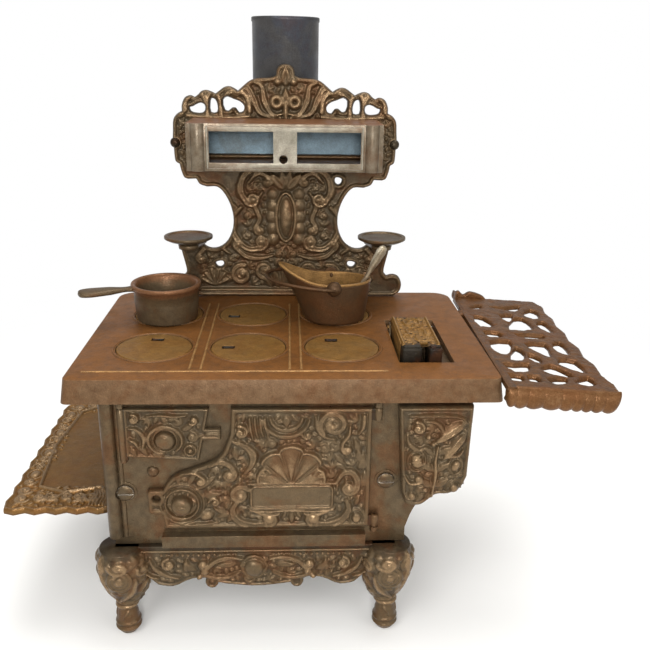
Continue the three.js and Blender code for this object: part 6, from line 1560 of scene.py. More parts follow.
def apron_ornament(r, middle, half):
    """Scrolls, comma lobes and leaves on half an apron, mirrored to the other half."""
    for side in (-1, 1):
        across = side * half / BASE.apron_half

        def at(*points):
            return [(middle + across * x, z) for x, z in points]
        r.scroll(at((8, 53.6), (16, 54.6), (24, 52.4), (29, 47.8)), 1.7, 1, 3, 1.3, side, 0.35)
        r.scroll(at((10, 44), (17, 40.6), (24, 40.2), (31, 42.4)), 1.4, 0.9, 2.4, 1.2, side, 0.3)
        r.petal(middle + across * 12, 49.4, 0 if side > 0 else 0.5, 12, 2.2, 0.85)
        for x, z, turn in ((36, 45, 0.12), (39, 44.2, 0.2), (42.4, 44, 0.27)):
            r.petal(middle + across * x, z, turn if side > 0 else 0.5 - turn, 10.4, 2, 0.9)
        r.boss(middle + across * 34, 41, 2.2, 2.6, 1)
        r.spiral(middle + across * 52, 50.4, 4.2, 1.6, 0.25, 1.3, 1, -side, 0.2)
        r.ribbon(at((46, 40.4), (53, 42.4), (60, 47.4), (63, 53.8)), (0.7, 1.7, 0.9), 1, 0.35)
        r.scroll(at((58, 40.6), (64, 42.6), (68, 48)), 1.2, 0.9, 2.6, 1.2, side)
        r.boss(middle + across * 71, 54, 2.6, 2.2, 0.8)
    r.fill((middle - half, middle + half, 36, 55.6), 0.66, 68, 1.8, heart=(middle, 70))


def leg_profile(height):
    """Radius and lean of a leg at a height."""
    foot, knee, top = BASE.foot_height, BASE.knee_radius, BASE.top
    zs = [foot * h for h, _ in BASE.foot] + [foot + (top - foot) * h for h, _, _ in BASE.knee]
    rs = [BASE.foot_radius * r for _, r in BASE.foot] + [knee * r for _, r, _ in BASE.knee]
    leans = [0] * len(BASE.foot) + [knee * lean for _, _, lean in BASE.knee]
    path = smooth(np.stack([zs, rs, leans], axis=1), 8)
    return np.interp(height, path[:, 0], path[:, 1]), np.interp(height, path[:, 0], path[:, 2])


def cabriole_leg(x, y, side_x, side_y, rise):
    """A leg whose knee carries a leaf and whose foot is a ringed ball."""
    sunk, roll_radius = 0.9, 11
    heights = np.concatenate([[0], np.linspace(0.02, BASE.top, 116)])
    turn = full_turn(132)
    facing = atan2(side_y, side_x)
    wrap = (turn - facing + pi) % TAU - pi
    carving = leg_ornament(rise)
    rings, worn = [], []
    for z in heights:
        radius, lean = leg_profile(z)
        along = wrap * roll_radius
        h = sample(carving, along, np.full_like(along, z)) * np.clip((BASE.top - z) / 1.5, 0, 1)
        r = radius - sunk + h
        cx, cy = x - side_x * lean, y - side_y * lean
        rings.append(np.stack([cx + r * np.cos(turn), cy + r * np.sin(turn), np.full_like(turn, z)], axis=1))
        worn.append(np.clip((0.3 if z < 26 else 0.12) + h / 1.8, 0, 1))
    return loft("leg", rings, relief=np.concatenate(worn))


def leg_ornament(rise):
    """The leg's skin rolled out: u runs round the leg from its outer corner, v is the height."""
    r = Relief(-35, 35, -1, 63, 0.5)
    r.rise = rise
    for v, wide, share in ((4.6, 0.9, 0.5), (8.4, 0.8, 0.45), (20.4, 1.2, 0.7), (23.4, 0.8, 0.5)):
        r.ribbon([(-36, v), (0, v), (36, v)], wide, share)
    for side in (-1, 1):
        r.ribbon([(side * 3, 25), (side * 8.6, 29.4), (side * 13.6, 36.4), (side * 15.6, 44.6)],
                 (0.8, 1.8, 1), 0.85, 0.3)
        r.spiral(side * 20.4, 49.6, 4, 1.5, 0.4, 1.2, 0.8, side, 0.2)
        for v, turn, long in ((27.4, 0.20, 9.6), (34, 0.17, 10.6), (41.6, 0.15, 11)):
            r.petal(side, v, turn if side > 0 else 0.5 - turn, long, 2.2, 0.8)
        r.ribbon([(side * 17.4, 33.4), (side * 21.4, 38.6), (side * 26.4, 41.4)], (0.6, 1.4, 0.7), 0.7)
        r.ribbon([(side * 6, 12), (side * 9, 15.6), (side * 13, 17)], (0.5, 1, 0.5), 0.45)
    r.ribbon([(0, 25), (0, 38), (0, 52), (0, 60)], (0.9, 1.5, 1.1), 0.9)
    r.petal(0, 48, 0.25, 12, 3.4, 0.9)
    r.fill((-33, 33, 25, 60), 0.8, 69, heart=(0, 20))
    r.age(2, (0.05, 2.2, 21))
    return r


def sample(relief, u, v):
    """The relief's height at any place on it."""
    fx = np.clip((u - relief.u[0, 0]) / relief.cell, 0, relief.u.shape[0] - 1.001)
    fy = np.clip((v - relief.v[0, 0]) / relief.cell, 0, relief.u.shape[1] - 1.001)
    i, j = fx.astype(int), fy.astype(int)
    a, b = fx - i, fy - j
    h = relief.h
    return ((h[i, j] * (1 - a) + h[i + 1, j] * a) * (1 - b) + (h[i, j + 1] * (1 - a) + h[i + 1, j + 1] * a) * b)


def ringed_boss(x, y):
    """A cone of rings on the front of a knee."""
    r, reach = BASE.boss_radius, BASE.boss_reach
    profile = [(0, -4), (r, -4), (r, reach * 0.45), (r * 0.9, reach * 0.7), (r * 0.8, reach * 0.62),
               (r * 0.7, reach * 0.55), (r * 0.66, reach * 0.8), (r * 0.56, reach * 0.95), (r * 0.46, reach * 0.86),
               (r * 0.38, reach * 0.84), (r * 0.34, reach * 1.08), (r * 0.18, reach * 1.2), (0, reach * 1.22)]
    face = y - BASE.knee_radius * 0.88
    piece = sharpen(revolve("knee_boss", profile, x, face, BASE.boss_z, 56, axis="y"), 45)
    return mark(piece, lambda px, py, pz, value: 0.3 + 0.7 * np.clip((face - py - 1) / reach, 0, 1))


class RANGE_OT_high_back(RangeOperator):
    """High back: pierced crest, waist with its medallion, arms and foot"""
    bl_idname = "toyrange.high_back"
    bl_label = "High back"

    FRONT, REAR = 152, 155.2
    FOOT_HALF = 62
    FOOT = (160.6, 170.8, 173.6)
    BRACKET_Z = (209.7, 213.1)
    BRACKET_X, BRACKET_Y, BRACKET_R = 66.6, 136, 7

    def build(self, context, sizes):
        front, rear = self.FRONT, self.REAR
        face = facing_front(rear)
        loops = section("high_back", face, (rear - front) * SECTION_SHARE)
        loops = [loop for loop in loops if np.ptp(loop[:, 0]) > 3.4]
        half = max(abs(loops[0][:, 0].min()), abs(loops[0][:, 0].max()))
        relief = Relief(-half - 1, half + 1, loops[0][:, 1].min() - 1, loops[0][:, 1].max() + 1,
                        mm(sizes.middle)).within(loops)
        relief.rise = mm(sizes.rise)
        high_back_ornament(relief)
        relief.h = np.maximum(relief.h, relief.h[::-1])
        relief.age(1, (0.05, 2.6, 31), (0.04, 1.2, 32))
        plate = cast("back_plate", relief, loops, face, rear - front, round_edge=1.1, rim=(1.5, 1.5))
        parts = [plate, box("back_foot", -self.FOOT_HALF, self.FOOT_HALF, rear - 1.6, *self.FOOT, 0.5)]
        parts += [self.bracket(side) for side in (-1, 1)]
        dress(joined("high_back_casting", parts), "old_iron", "stove", "high_back")

    def bracket(self, side):
        """The round end of an arm, which a small shelf stands on."""
        x, y, r = side * self.BRACKET_X, self.BRACKET_Y, self.BRACKET_R
        low, high = self.BRACKET_Z
        arc = [(x + r * cos(t), y + r * sin(t)) for t in np.linspace(-pi, 0, 20)]
        outline = arc + [(x + r * 1.5, self.FRONT + 1), (x - r * 1.5, self.FRONT + 1)]
        rings = []
        for z, inset in ((low, 0.8), (low + 0.3, 0.2), (low + 0.9, 0), (high - 0.6, 0), (high - 0.1, 0.4)):
            rings.append([(x + (px - x) * (1 - inset / r), y + (py - y) * (1 - inset / r), z) for px, py in outline])
        return sharpen(loft(f"bracket_{side}", rings), 35)


def high_back_ornament(r):
    """Ornament of the right half; the other half is its mirror image."""
    # Narrow medallion in a lobed field
    r.boss(0, 229, 4.6, 14.4, 0.8)
    r.ring(0, 229, 6.6, 1.1, 0.95, 17)
    for z, wide in ((245, 4.6), (237, 5.2), (229, 5.4), (221, 5.2), (213, 4.6)):
        r.boss(9.2, z, wide * 0.9, wide, 0.62)
    r.shell(0, 206.6, -8.6, 5, 0.2, 0.95)
    # Ear leaves over it
    r.petal(1.2, 248.4, 0.14, 15, 4.2, 1.1)
    r.petal(0.6, 251, 0.21, 13, 2.6, 0.9)
    # Wreath of interlaced scrolls round the medallion
    r.scroll([(5, 262.6), (17, 263.6), (28.4, 258.6), (31.6, 248), (27.6, 239.4)], 2.5, 1, 4.6, 1.4, -1, 0.4)
    r.scroll([(26.4, 252.8), (19.4, 259.6), (11.6, 256.8)], 1.9, 0.95, 3.4, 1.3, 1, 0.35)
    r.scroll([(31.4, 236), (37.6, 228), (36.6, 216), (28, 206.6), (17.6, 206.4)], 2.6, 1, 4.6, 1.4, -1, 0.4)
    r.scroll([(16.6, 246.6), (21.6, 237.4), (18.6, 228), (21.6, 221.6)], 2, 0.95, 3.4, 1.3, -1, 0.35)
    r.scroll([(9.6, 201.2), (18.6, 199), (28.6, 200.6), (36, 207)], 2, 0.95, 3.4, 1.3, 1, 0.35)
    r.petal(30.6, 241, 0.2, 12, 2.6, 0.9)
    r.petal(33.6, 233, 0.14, 9, 2.2, 0.85)
    # Lower part: fan, round scrolls and flame leaves
    r.shell(51, 178.4, 17, 6, 0.2, 0.95)
    r.spiral(32, 187, 7.6, 1.9, 0.3, 2, 1, -1, 0.35)
    r.spiral(15.6, 190.4, 6.2, 1.7, 0.75, 1.8, 1, 1, 0.35)
    for px, turn, long in ((1.4, 0.25, 20), (5.6, 0.215, 15), (10.4, 0.18, 12.4)):
        r.petal(px, 177.6, turn, long, 3.2, 1)
    r.scroll([(40, 202.6), (48, 207.6), (56.6, 207), (62.6, 201)], 2, 0.9, 3.4, 1.2, -1, 0.35)
    r.ribbon([(0, 175.6), (30, 175.8), (61, 175.6)], (1.3, 1.3, 1.3), 0.8)
    r.fill((-1, 62, 178.6, 206), 0.7, 61, 2.6, heart=(20, 178))
    r.fill((-1, 33, 199, 266), 0.62, 62, 6, SMALL, heart=(0, 229))
    # Plain arms with one thin line
    r.ribbon([(62, 214), (68, 222), (71.6, 234), (73, 248)], 0.8, 0.4)
    # Leafy edge beside the closet
    r.fill((60, 92, 262, 300), 0.7, 63, 2.4, SMALL, heart=(40, 280))
    high_back_crest(r)
    r.fill((-1, 92, 296, 335), 0.62, 64, 1.6, SMALL, heart=(0, 290))


def high_back_crest(r):
    """Fleur in the middle field, finial over it, hollow ribbons and ropes round the open holes."""
    fleur, finial = 307, 322.6
    r.ring(6.2, fleur, 3, 2.1, 1.1, 3)
    r.petal(0, fleur - 3.6, 0.25, 13, 3, 1.2)
    r.ribbon([(0, fleur - 1), (0, fleur - 12.4)], (1.6, 1.9, 1.2), 1.2)
    r.ribbon([(0, fleur - 7.4), (7, fleur - 8.6)], 1, 1)
    r.petal(0, finial - 5.4, 0.25, 13, 4, 1.1, 0.5)
    r.boss(5.4, finial - 2.6, 2.8, 2.8, 0.9)
    r.ribbon([(3.4, 296.4), (10.6, 300.4), (14.6, 308.4), (16, 316.6), (21, 319.6)], (1.2, 2.4, 1.3), 1, 0.4)
    r.scroll([(8, 296.4), (17.4, 300), (21.6, 308.6), (25.4, 315.6), (32.4, 316.6)], 2.4, 1, 3.2, 1.2, -1, 0.4)
    for line, wide in (([(24.4, 300.6), (25.6, 308.6), (30, 313.4), (37, 313), (41, 309), (43.4, 303),
                         (43.4, 298)], 2),
                       ([(43.6, 296.8), (43.6, 305), (45.4, 311), (49.6, 312.6), (52.4, 308), (52.4, 300)], 1.9),
                       ([(52.6, 297.4), (52.4, 304.6), (55.6, 311), (61.6, 311.6), (66.4, 307.4), (67.4, 301)], 2.1),
                       ([(24.6, 297.4), (36, 296.4), (52, 296.6), (66, 297.6)], 1.5)):
        r.ribbon(line, wide, 1, 0.25)
    r.spiral(70.6, 299.6, 4, 1.4, 0.3, 1.5, 0.95, -1, 0.3)
    r.spiral(35.4, 303.4, 2.6, 1.3, 0.1, 1.2, 0.95, 1)


class RANGE_OT_closet(RangeOperator):
    """Warming closet on the high back, and the sheet behind it"""
    bl_idname = "toyrange.closet"
    bl_label = "Warming closet"

    # Its front, then the lines beside the pilasters, the half length of those above and below, their margin
    FRONT, RIDGE, LINE_HALF, LINE_MARGIN = 105, 48.6, 48, 1.6
    LINE, WINDOWS_HALF = (0.5, 0.3), 47.5

    def build(self, context, sizes):
        shell = softened("closet", mm(sizes.thin_edge) * 1.6, "closet_shell")
        mark(shell, lambda x, y, z, value: np.where(np.abs(x) < self.WINDOWS_HALF, np.maximum(value, 0.3),
                                                    value * 0.5))
        dress(shell, "closet_plating", "stove", "closet")
        repaint("closet_liner", "blue_liner_sheet")
        z0, z1 = extent("closet")[4:]
        ends = (z0 + self.LINE_MARGIN, z1 - self.LINE_MARGIN)
        lines = [[(side * self.RIDGE, self.FRONT, z) for z in ends] for side in (-1, 1)]
        lines += [[(side * self.LINE_HALF, self.FRONT, z) for side in (-1, 1)] for z in ends]
        made = grown("closet_lines", lines_object("closet_lines_guide", lines), tree_of_mouldings(),
                     {"Half width": self.LINE[0] * MM, "Rise": self.LINE[1] * MM,
                      "Material": finish("closet_plating")}, 0.6)
        dress(made, "closet_plating", "stove")


class RANGE_OT_tea_shelves(RangeOperator):
    """Small round shelves on the arms of the high back"""
    bl_idname = "toyrange.tea_shelves"
    bl_label = "Tea shelves"

    def build(self, context, sizes):
        for side in ("left", "right"):
            node = "tea_shelf_" + side
            soften_node(node, "old_iron", node, sizes.thin_edge * 1.4, node + "_casting", "hob_iron")


class RANGE_OT_pipe(RangeOperator):
    """Stove pipe of rolled sheet"""
    bl_idname = "toyrange.pipe"
    bl_label = "Pipe"

    WALL, ROLL, SEAM_HALF = 1.4, 0.5, 2.6

    def build(self, context, sizes):
        x0, x1, y0, y1, z0, z1 = extent("stove_pipe")
        x, y, radius = (x0 + x1) / 2, (y0 + y1) / 2, (x1 - x0) / 2
        wall, roll, seam = self.WALL, self.ROLL, self.SEAM_HALF
        outer = [(radius - 0.4, z0), (radius, z0 + 0.5), (radius, z0 + 3), (radius - roll, z0 + 3.8),
                 (radius - roll, z1 - 3.4), (radius, z1 - 2.6), (radius, z1 - 0.5), (radius - 0.4, z1)]
        inner = [(radius - wall, z1), (radius - wall, z0)]
        tube = sharpen(revolve("pipe_sheet", outer + inner + outer[:1], x, y, 0, 128), 50)
        fold = box("pipe_seam", x - seam, x + seam, y + radius - 1, y + radius - 0.05, z0 + 4.2, z1 - 3.8, 0.25)
        dress(joined("pipe_tube", [tube, fold]), "pipe_sheet_steel", "stove_pipe", "stove_pipe")


class RANGE_OT_lattice_shelf(RangeOperator):
    """Pierced shelf on the right: lattice of rounded bars and a fluted lip"""
    bl_idname = "toyrange.lattice_shelf"
    bl_label = "Lattice shelf"

    EDGE_X, FRONT, TOP, DROOP, THICK = 124.6, -7, 168.6, 0.07, 3
    LIP_LENGTH, HOOKS_END = 67, 126.2
    LIP_DEPTH, LIP_THICK, LIP_BACK, SKEW, TAPER = 13.4, 9.2, 2.4, 3.4, 5.6

    def build(self, context, sizes):
        droop = self.DROOP
        face = Plane((self.EDGE_X, self.FRONT, self.TOP), (cos(droop), 0, -sin(droop)), (0, 1, 0),
                     (sin(droop), 0, cos(droop)))
        face.zero = face.zero - face.out * self.THICK
        loops = [between(loop, left=-self.SKEW) for loop in section("pierced_shelf", face, self.THICK * 0.4)]
        relief = outline_relief(loops, mm(sizes.middle))
        relief.age(0, (0.1, 3, 41), (0.07, 1.3, 42))
        plate = cast("lattice", relief, loops, face, self.THICK - 0.5, round_edge=1.7, ground=0.22,
                     bulge=lambda d: 0.5 * np.clip(d / 2.4, 0, 1))
        long = self.LIP_LENGTH - self.TAPER + self.SKEW
        lip = grown("lattice_lip_raw", points_object("lattice_lip_guide", [(0, 0, 0)]), tree_of_lip(),
                    {"Length": long * MM, "Depth": self.LIP_DEPTH * MM, "Thickness": self.LIP_THICK * MM,
                     "Flutes": float(sizes.flutes), "Material": finish("lattice_shelf_iron")}, 0.75)
        start = spot(face(-self.SKEW, self.LIP_BACK, self.THICK))
        turn = Matrix((face.across, face.up, face.out)).transposed()
        lip.data.transform(Matrix.Translation(start) @ turn.to_4x4())
        parts = [plate, lip, softened_slice("pierced_shelf", mm(sizes.thin_edge), "shelf_hooks", high=self.HOOKS_END)]
        *_, y1, _, z1 = extent("pierced_shelf")
        x, z = self.EDGE_X, self.TOP
        outline = smooth([(x + 0.3, z - 2), (x + 0.2, z + 4), (x + 1.6, z1 - 1), (x + 4.4, z1 - 0.1), (x + 8, z1 - 3),
                          (x + 13, z + 3.4), (x + 22, z + 0.6), (x + 24, z - 3), (x + 10, z - 3)], 5, True)
        back = facing_front(y1)
        corner = outline_relief([outline], 0.4)
        corner.age(0, (0.1, 2, 43))
        parts.append(cast("upstand", corner, [outline], back, 4.2, round_edge=1.6, ground=0.22))
        dress(joined("lattice_shelf_casting", parts), "lattice_shelf_iron", "pierced_shelf", "pierced_shelf")


def softened_slice(node, edge, name, low=-FAR, high=FAR, axis=0):
    """The part of a softened node between two places along an axis."""
    piece = softened(node, edge, name)
    bm = bmesh.new()
    bm.from_mesh(piece.data)
    for place, way in ((low, -1), (high, 1)):
        if abs(place) == FAR:
            continue
        cut_at, facing = [0, 0, 0], [0, 0, 0]
        cut_at[axis], facing[axis] = place, way
        cut = bmesh.ops.bisect_plane(bm, geom=bm.verts[:] + bm.edges[:] + bm.faces[:], dist=MM / 10000,
                                     plane_co=spot(cut_at), plane_no=Vector(facing), clear_outer=True)["geom_cut"]
        edges = [g for g in cut if isinstance(g, bmesh.types.BMEdge) and g.is_boundary]
        bmesh.ops.holes_fill(bm, edges=edges, sides=0)
    bm.to_mesh(piece.data)
    bm.free()
    return piece


class RANGE_OT_hearth_shelf(RangeOperator):
    """Hearth shelf on the left, with a bare panel in an ornamental border"""
    bl_idname = "toyrange.hearth_shelf"
    bl_label = "Hearth shelf"

    TOP, THICK, RECESS, RISE = 84, 4.6, 1.6, 2.3
    PLATE = (-165.6, -104.4, 13, 161)
    BORDER, HOOKS_START = 15, -107

    def build(self, context, sizes):
        face = lying(self.TOP - self.THICK)
        loops = section("hearth_shelf", face, self.THICK * 0.45)[:1]
        relief = outline_relief(loops, mm(sizes.middle) * 0.9)
        x0, x1, y0, y1 = self.PLATE
        panel = (x0 + self.BORDER, x1 - self.BORDER / 2, y0 + self.BORDER * 1.6, y1 - self.BORDER * 1.4)
        relief.rise = self.RISE
        hearth_ornament(relief, x0, x1, y0, y1, panel)
        relief.age(1, (0.05, 2.6, 51))
        plate = cast("hearth_plate", relief, loops, face, self.THICK - self.RECESS, round_edge=1, rim=(1, 1),
                     top=1.5, ground=0.3)
        hooks = softened_slice("hearth_shelf", mm(sizes.thin_edge), "hearth_hooks", low=self.HOOKS_START)
        dress(joined("hearth_shelf_casting", [plate, hooks]), "hearth_shelf_iron", "hearth_shelf", "hearth_shelf")


def hearth_ornament(r, x0, x1, y0, y1, panel):
    """Ovals, curls, flutes and a raised frame round the shelf's bare panel."""
    px0, px1, py0, py1 = panel
    frame_line = rounded(px0 - 1.6, px1 + 1.6, py0 - 1.6, py1 + 1.6, 3)
    r.ribbon(np.vstack([frame_line[::6], frame_line[:1]]), 0.9, 1, steps=2)
    count = 11
    for i in range(count):
        y = py0 + (py1 - py0) * (i + 0.5) / count
        if i % 3 == 1:
            r.boss((x0 + px0) / 2 - 0.4, y, 3.2, 4.6, 1)
            r.ring((x0 + px0) / 2 - 0.4, y, 4.6, 0.6, 0.7, 6)
        else:
            r.spiral((x0 + px0) / 2 - 0.6, y, 4.2, 1.5, 0.25 * i, 1.1, 1, 1 if i % 2 else -1, 0.2)
    for i in range(5):
        x = px0 + (px1 - px0) * (i + 0.5) / 5
        r.spiral(x - 1, (y0 + py0) / 2 - 1, 4.6, 1.6, 0.2 * i + 0.1, 1.2, 1, 1 if i % 2 else -1, 0.2)
        r.petal(x + 3.2, y0 + 4, 0.3, 9, 1.8, 0.85)
    for i in range(6):
        r.ribbon([(x1 - 12 + i * 2, y0 + 2.4), (x1 - 11 + i * 1.9, y0 + 12), (x1 - 12.6 + i * 1.3, y0 + 20)],
                 (0.7, 0.8, 0.4), 0.85)
    for i in range(4):
        x = px0 + (px1 - px0) * (i + 0.5) / 4
        r.spiral(x, (y1 + py1) / 2, 5, 1.7, 0.25 * i, 1.3, 1, 1 if i % 2 else -1, 0.25)
    for i in range(8):
        y = py0 + (py1 - py0) * (i + 0.5) / 8
        r.petal(px1 + 1.8, y - 5, 0.23, 11, 1.7, 0.8)
    # The bare panel is held high while the filling runs, so that nothing lands on it
    bare = r.window(px0, px1, py0, py1)
    held = r.h[bare].copy()
    r.h[bare] = 9
    r.fill((x0, x1, y0, y1), 0.9, 70, 2, heart=((x0 + x1) / 2, (y0 + y1) / 2))
    r.h[bare] = held


class RANGE_OT_saucepan(RangeOperator):
    """Saucepan with a rolled rim and a long handle"""
    bl_idname = "toyrange.saucepan"
    bl_label = "Saucepan"

    X, Y, BASE_R, RADIUS, RIM_R, WALL = -78.3, 103.5, 19.8, 21, 22.8, 1.8
    HANDLE, ANGLE, HANDLE_HALF, NECK, HANDLE_THICK = 33, 3.5, 7.2, 3, 4.2

    def build(self, context, sizes):
        z0, z1 = extent("saucepan")[4:]
        r, wall, high = self.RADIUS, self.WALL, z1 - z0
        half = (self.RIM_R - r - 0.2) / 2
        roll = [(r + 0.2 + half + half * sin(t), high - 1.5 - 1.5 * cos(t)) for t in np.linspace(0, pi, 9)]
        profile = [(0, 0), (self.BASE_R - 1.4, 0), (self.BASE_R - 0.4, 0.4), (self.BASE_R, 1.3),
                   (r - 0.1, high * 0.5), (r, high - 3.4)] + roll
        profile += [(r - 0.7, high - 0.3), (r - wall, high - 1.8), (r - wall - 0.2, high * 0.5),
                    (self.BASE_R - wall, wall + 1.4), (self.BASE_R - wall - 1.2, wall), (0, wall)]
        pot = sharpen(revolve("pan_pot", profile, self.X, self.Y, z0, 112), 60)
        mark(pot, lambda x, y, z, value: np.where(
            (z > z1 - 3.4) | ((np.hypot(x - self.X, y - self.Y) < self.BASE_R - 0.9) & (z > z0 + 1)), 1, 0.25))
        dress(joined("saucepan_casting", [pot, self.handle(z1)]), "saucepan_iron", "saucepan", "saucepan")

    def handle(self, z1):
        """A flat bar that widens from its neck to a round end."""
        start, tip = self.RIM_R - self.WALL, self.RIM_R + self.HANDLE
        shape = smooth([(0, 1.3 * self.NECK), (0.18, self.NECK), (0.5, self.HANDLE_HALF * 0.8),
                        (0.8, self.HANDLE_HALF), (0.96, self.HANDLE_HALF * 0.62), (1, 0.05)], 8)
        rings = []
        c, s = cos(self.ANGLE), sin(self.ANGLE)
        middle = z1 - 0.5 - self.HANDLE_THICK / 2
        for share, half in shape:
            d = start + (tip - start) * share
            thick = self.HANDLE_THICK / 2 * min(1, 0.3 + half / self.HANDLE_HALF)
            turn = full_turn(28)
            side, lift = (size * np.sign(wave) * np.abs(wave) ** 0.8
                          for size, wave in ((half, np.cos(turn)), (thick, np.sin(turn))))
            rings.append(np.stack([self.X + d * c - side * s, self.Y + d * s + side * c, middle + lift], axis=1))
        return closed(loft("pan_handle", rings, 0.5))


class RANGE_OT_scuttle(RangeOperator):
    """Coal scuttle with its bail"""
    bl_idname = "toyrange.scuttle"
    bl_label = "Scuttle"

    X, Y, LEAN = 32.6, 100, 2.9
    BASE_RX, BASE_RY, RIM_RX, RIM_RY = 19, 15.4, 26.5, 17.6
    HEIGHT, SPOUT_REACH, SPOUT_RISE, WALL = 28.6, 8.4, 11, 1.8
    BAIL_X, BAIL_Z, EAR = 31, 197.02, 4.8
    BAIL_LENGTH, BAIL_HALF, BAIL_WIRE, BAIL_RISE = 43.6, 23.4, 1.1, 0.1

    def build(self, context, sizes):
        z0 = extent("scuttle")[4]
        outer = [self.ring(share, 0, z0) for share in np.linspace(0, 1, 26)]
        bead = [self.bead_ring(t, z0) for t in np.linspace(-0.5 * pi, 1.4 * pi, 12)]
        inner = [self.ring(share, self.WALL, z0) for share in np.linspace(0.98, 0.07, 24)]
        tucked = self.ring(0, 1.2, z0)
        shell = loft("hod_shell", [tucked] + outer[1:-1] + bead + inner,
                     relief=np.repeat([0.3] * (len(outer) - 1) + [1] * (len(bead) + len(inner)), len(tucked)))
        ears = []
        for side in (-1, 1):
            profile = [(self.EAR * sin(t), -side * max(side * self.EAR * cos(t), -1.2))
                       for t in np.linspace(0, pi, 17)]
            ear = revolve(f"ear_{side}", profile, self.BAIL_X, self.Y + side * (self.RIM_RY + self.EAR / 5),
                          self.BAIL_Z, 36, axis="y")
            ears.append(mark(ear, lambda *_: 0.5))
        dress(joined("scuttle_casting", [closed(shell), *ears]), "scuttle_iron", "scuttle", "scuttle")
        dress(self.bail(), "scuttle_iron", "scuttle_bail", "scuttle_bail")

    def ring(self, share, inset, z0):
        """The wall at a share of its height, with the spout's lip on its left."""
        turn = full_turn(112)
        lip = np.clip(-np.cos(turn), 0, 1) ** 3
        swell = share ** 0.8
        spout = lip * share ** 1.5
        rx = self.BASE_RX + (self.RIM_RX - self.BASE_RX) * swell - inset + self.SPOUT_REACH * spout
        ry = self.BASE_RY + (self.RIM_RY - self.BASE_RY) * swell - inset
        top = self.HEIGHT + self.SPOUT_RISE * lip
        return np.stack([self.X - self.LEAN * share + rx * np.cos(turn), self.Y + ry * np.sin(turn),
                         z0 + share * top], axis=1)

    def bead_ring(self, turn, z0):
        """The thick rounded rim."""
        outer, inner = self.ring(0.965, 0, z0), self.ring(0.965, self.WALL, z0)
        middle = (outer + inner) / 2
        side = (outer - inner) / 2
        return middle + side * 1.15 * cos(turn) + np.array([0, 0, sin(turn)])

    def bail(self):
        """The wire handle, which lies back over the spout."""
        turns = np.linspace(0, pi, 61)
        x = -self.BAIL_LENGTH * np.sin(turns) ** 0.7
        y = -self.BAIL_HALF * np.cos(turns)
        c, s = cos(self.BAIL_RISE), sin(self.BAIL_RISE)
        path = np.stack([self.BAIL_X + x * c, self.Y + y, self.BAIL_Z - x * s], axis=1)
        inner = self.RIM_RY - self.WALL * 2
        ends = [np.array([[self.BAIL_X, self.Y + side * inner, self.BAIL_Z]]) for side in (-1, 1)]
        return wire("bail_wire", np.vstack([ends[0], path, ends[1]]), self.BAIL_WIRE, 0.6)


def wire(name, path, radius, relief_value, around=14):
    """A round bar along a path."""
    path = np.asarray(path, dtype=float)
    ahead = np.gradient(path, axis=0)
    ahead /= np.linalg.norm(ahead, axis=1)[:, None]
    rings = []
    for place, way in zip(path, ahead):
        side = np.cross(way, (0, 0, 1))
        side /= max(np.linalg.norm(side), 1e-9)
        up = np.cross(side, way)
        rings.append([place + radius * (cos(t) * side + sin(t) * up) for t in full_turn(around)])
    return closed(loft(name, rings, relief_value))


class RANGE_OT_shovel(RangeOperator):
    """Coal shovel that rests in the scuttle"""
    bl_idname = "toyrange.shovel"
    bl_label = "Shovel"

    FOOT, TILT, LENGTH = (38.5, 100, 173.5), 0.5, 54
    # The grip: places along the shovel and its half widths there, in shares of the length and millimetres
    GRIP = ((0.66, 0.76, 0.92, 0.98, 1), (1.6, 2.7, 3.3, 2.4, 0.3))

    def build(self, context, sizes):
        x, y, z = self.FOOT
        c, t = cos(self.TILT), sin(self.TILT)
        rings = []
        for share in np.linspace(self.GRIP[0][0], 1, 30):
            half = np.interp(share, *self.GRIP)
            along = share * self.LENGTH
            rings.append([(x + along * t + half * c * cos(a), y + 1.5 * sin(a) * min(half / 2, 1),
                           z + along * c - half * t * cos(a)) for a in full_turn(28)])
        handle = closed(loft("shovel_grip", rings, 0.8))
        blade = softened("shovel", mm(sizes.thin_edge) * 1.6, "shovel_skin")
        dress(joined("shovel_casting", [blade, handle]), "shovel_metal", "shovel", "shovel")


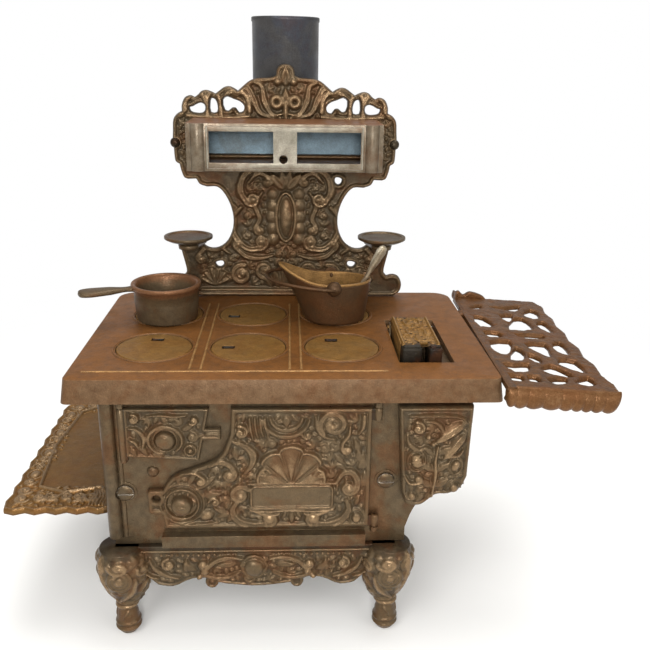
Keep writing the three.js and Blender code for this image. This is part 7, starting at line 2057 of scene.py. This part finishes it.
class RANGE_OT_fasteners(RangeOperator):
    """Tie bolts, nuts, screws, rivets and hinge pins"""
    bl_idname = "toyrange.fasteners"
    bl_label = "Fasteners"

    def build(self, context, sizes):
        for side in ("left", "right"):
            for kind in ("tie_bolt", "tie_nut", "back_screw"):
                soften_node(f"{kind}_{side}", "worn_bolt_steel", "stove", sizes.thin_edge,
                            f"{kind.split('_')[1]}_{side}")
            repaint("closet_rivet_" + side, "dark_pin_steel")
        for node in ("oven_pin_lower", "oven_pin_upper", "fire_door_pin"):
            soften_node(node, "dark_pin_steel", "stove", sizes.thin_edge, node + "_skin")


OPERATORS = (RANGE_OT_stage, RANGE_OT_hob, RANGE_OT_lids, RANGE_OT_body, RANGE_OT_doors, RANGE_OT_reservoir,
             RANGE_OT_base, RANGE_OT_high_back, RANGE_OT_closet, RANGE_OT_tea_shelves, RANGE_OT_pipe,
             RANGE_OT_lattice_shelf, RANGE_OT_hearth_shelf, RANGE_OT_saucepan, RANGE_OT_scuttle, RANGE_OT_shovel,
             RANGE_OT_fasteners)


class RANGE_PT_sidebar(bpy.types.Panel):
    """Sizes, colours and pieces of the range"""
    bl_idname = "RANGE_PT_sidebar"
    bl_label = "Toy Range"
    bl_space_type = "VIEW_3D"
    bl_region_type = "UI"
    bl_category = "Range"

    def draw(self, context):
        layout = self.layout
        for group in (context.scene.range_sizes, context.scene.range_colours):
            column = layout.column(align=True)
            for key in group.__annotations__:
                column.prop(group, key)
        column = layout.column(align=True)
        for operator in OPERATORS:
            column.operator(operator.bl_idname)


CLASSES = (RangeColours, RangeSizes, *OPERATORS, RANGE_PT_sidebar)


def register():
    for item in CLASSES:
        bpy.utils.register_class(item)
    bpy.types.Scene.range_colours = PointerProperty(type=RangeColours)
    bpy.types.Scene.range_sizes = PointerProperty(type=RangeSizes)


def unregister():
    del bpy.types.Scene.range_sizes
    del bpy.types.Scene.range_colours
    for item in reversed(CLASSES):
        bpy.utils.unregister_class(item)


def main():
    register()
    for operator in OPERATORS:
        family, action = operator.bl_idname.split(".")
        getattr(getattr(bpy.ops, family), action)()


if __name__ == "__main__":
    main()
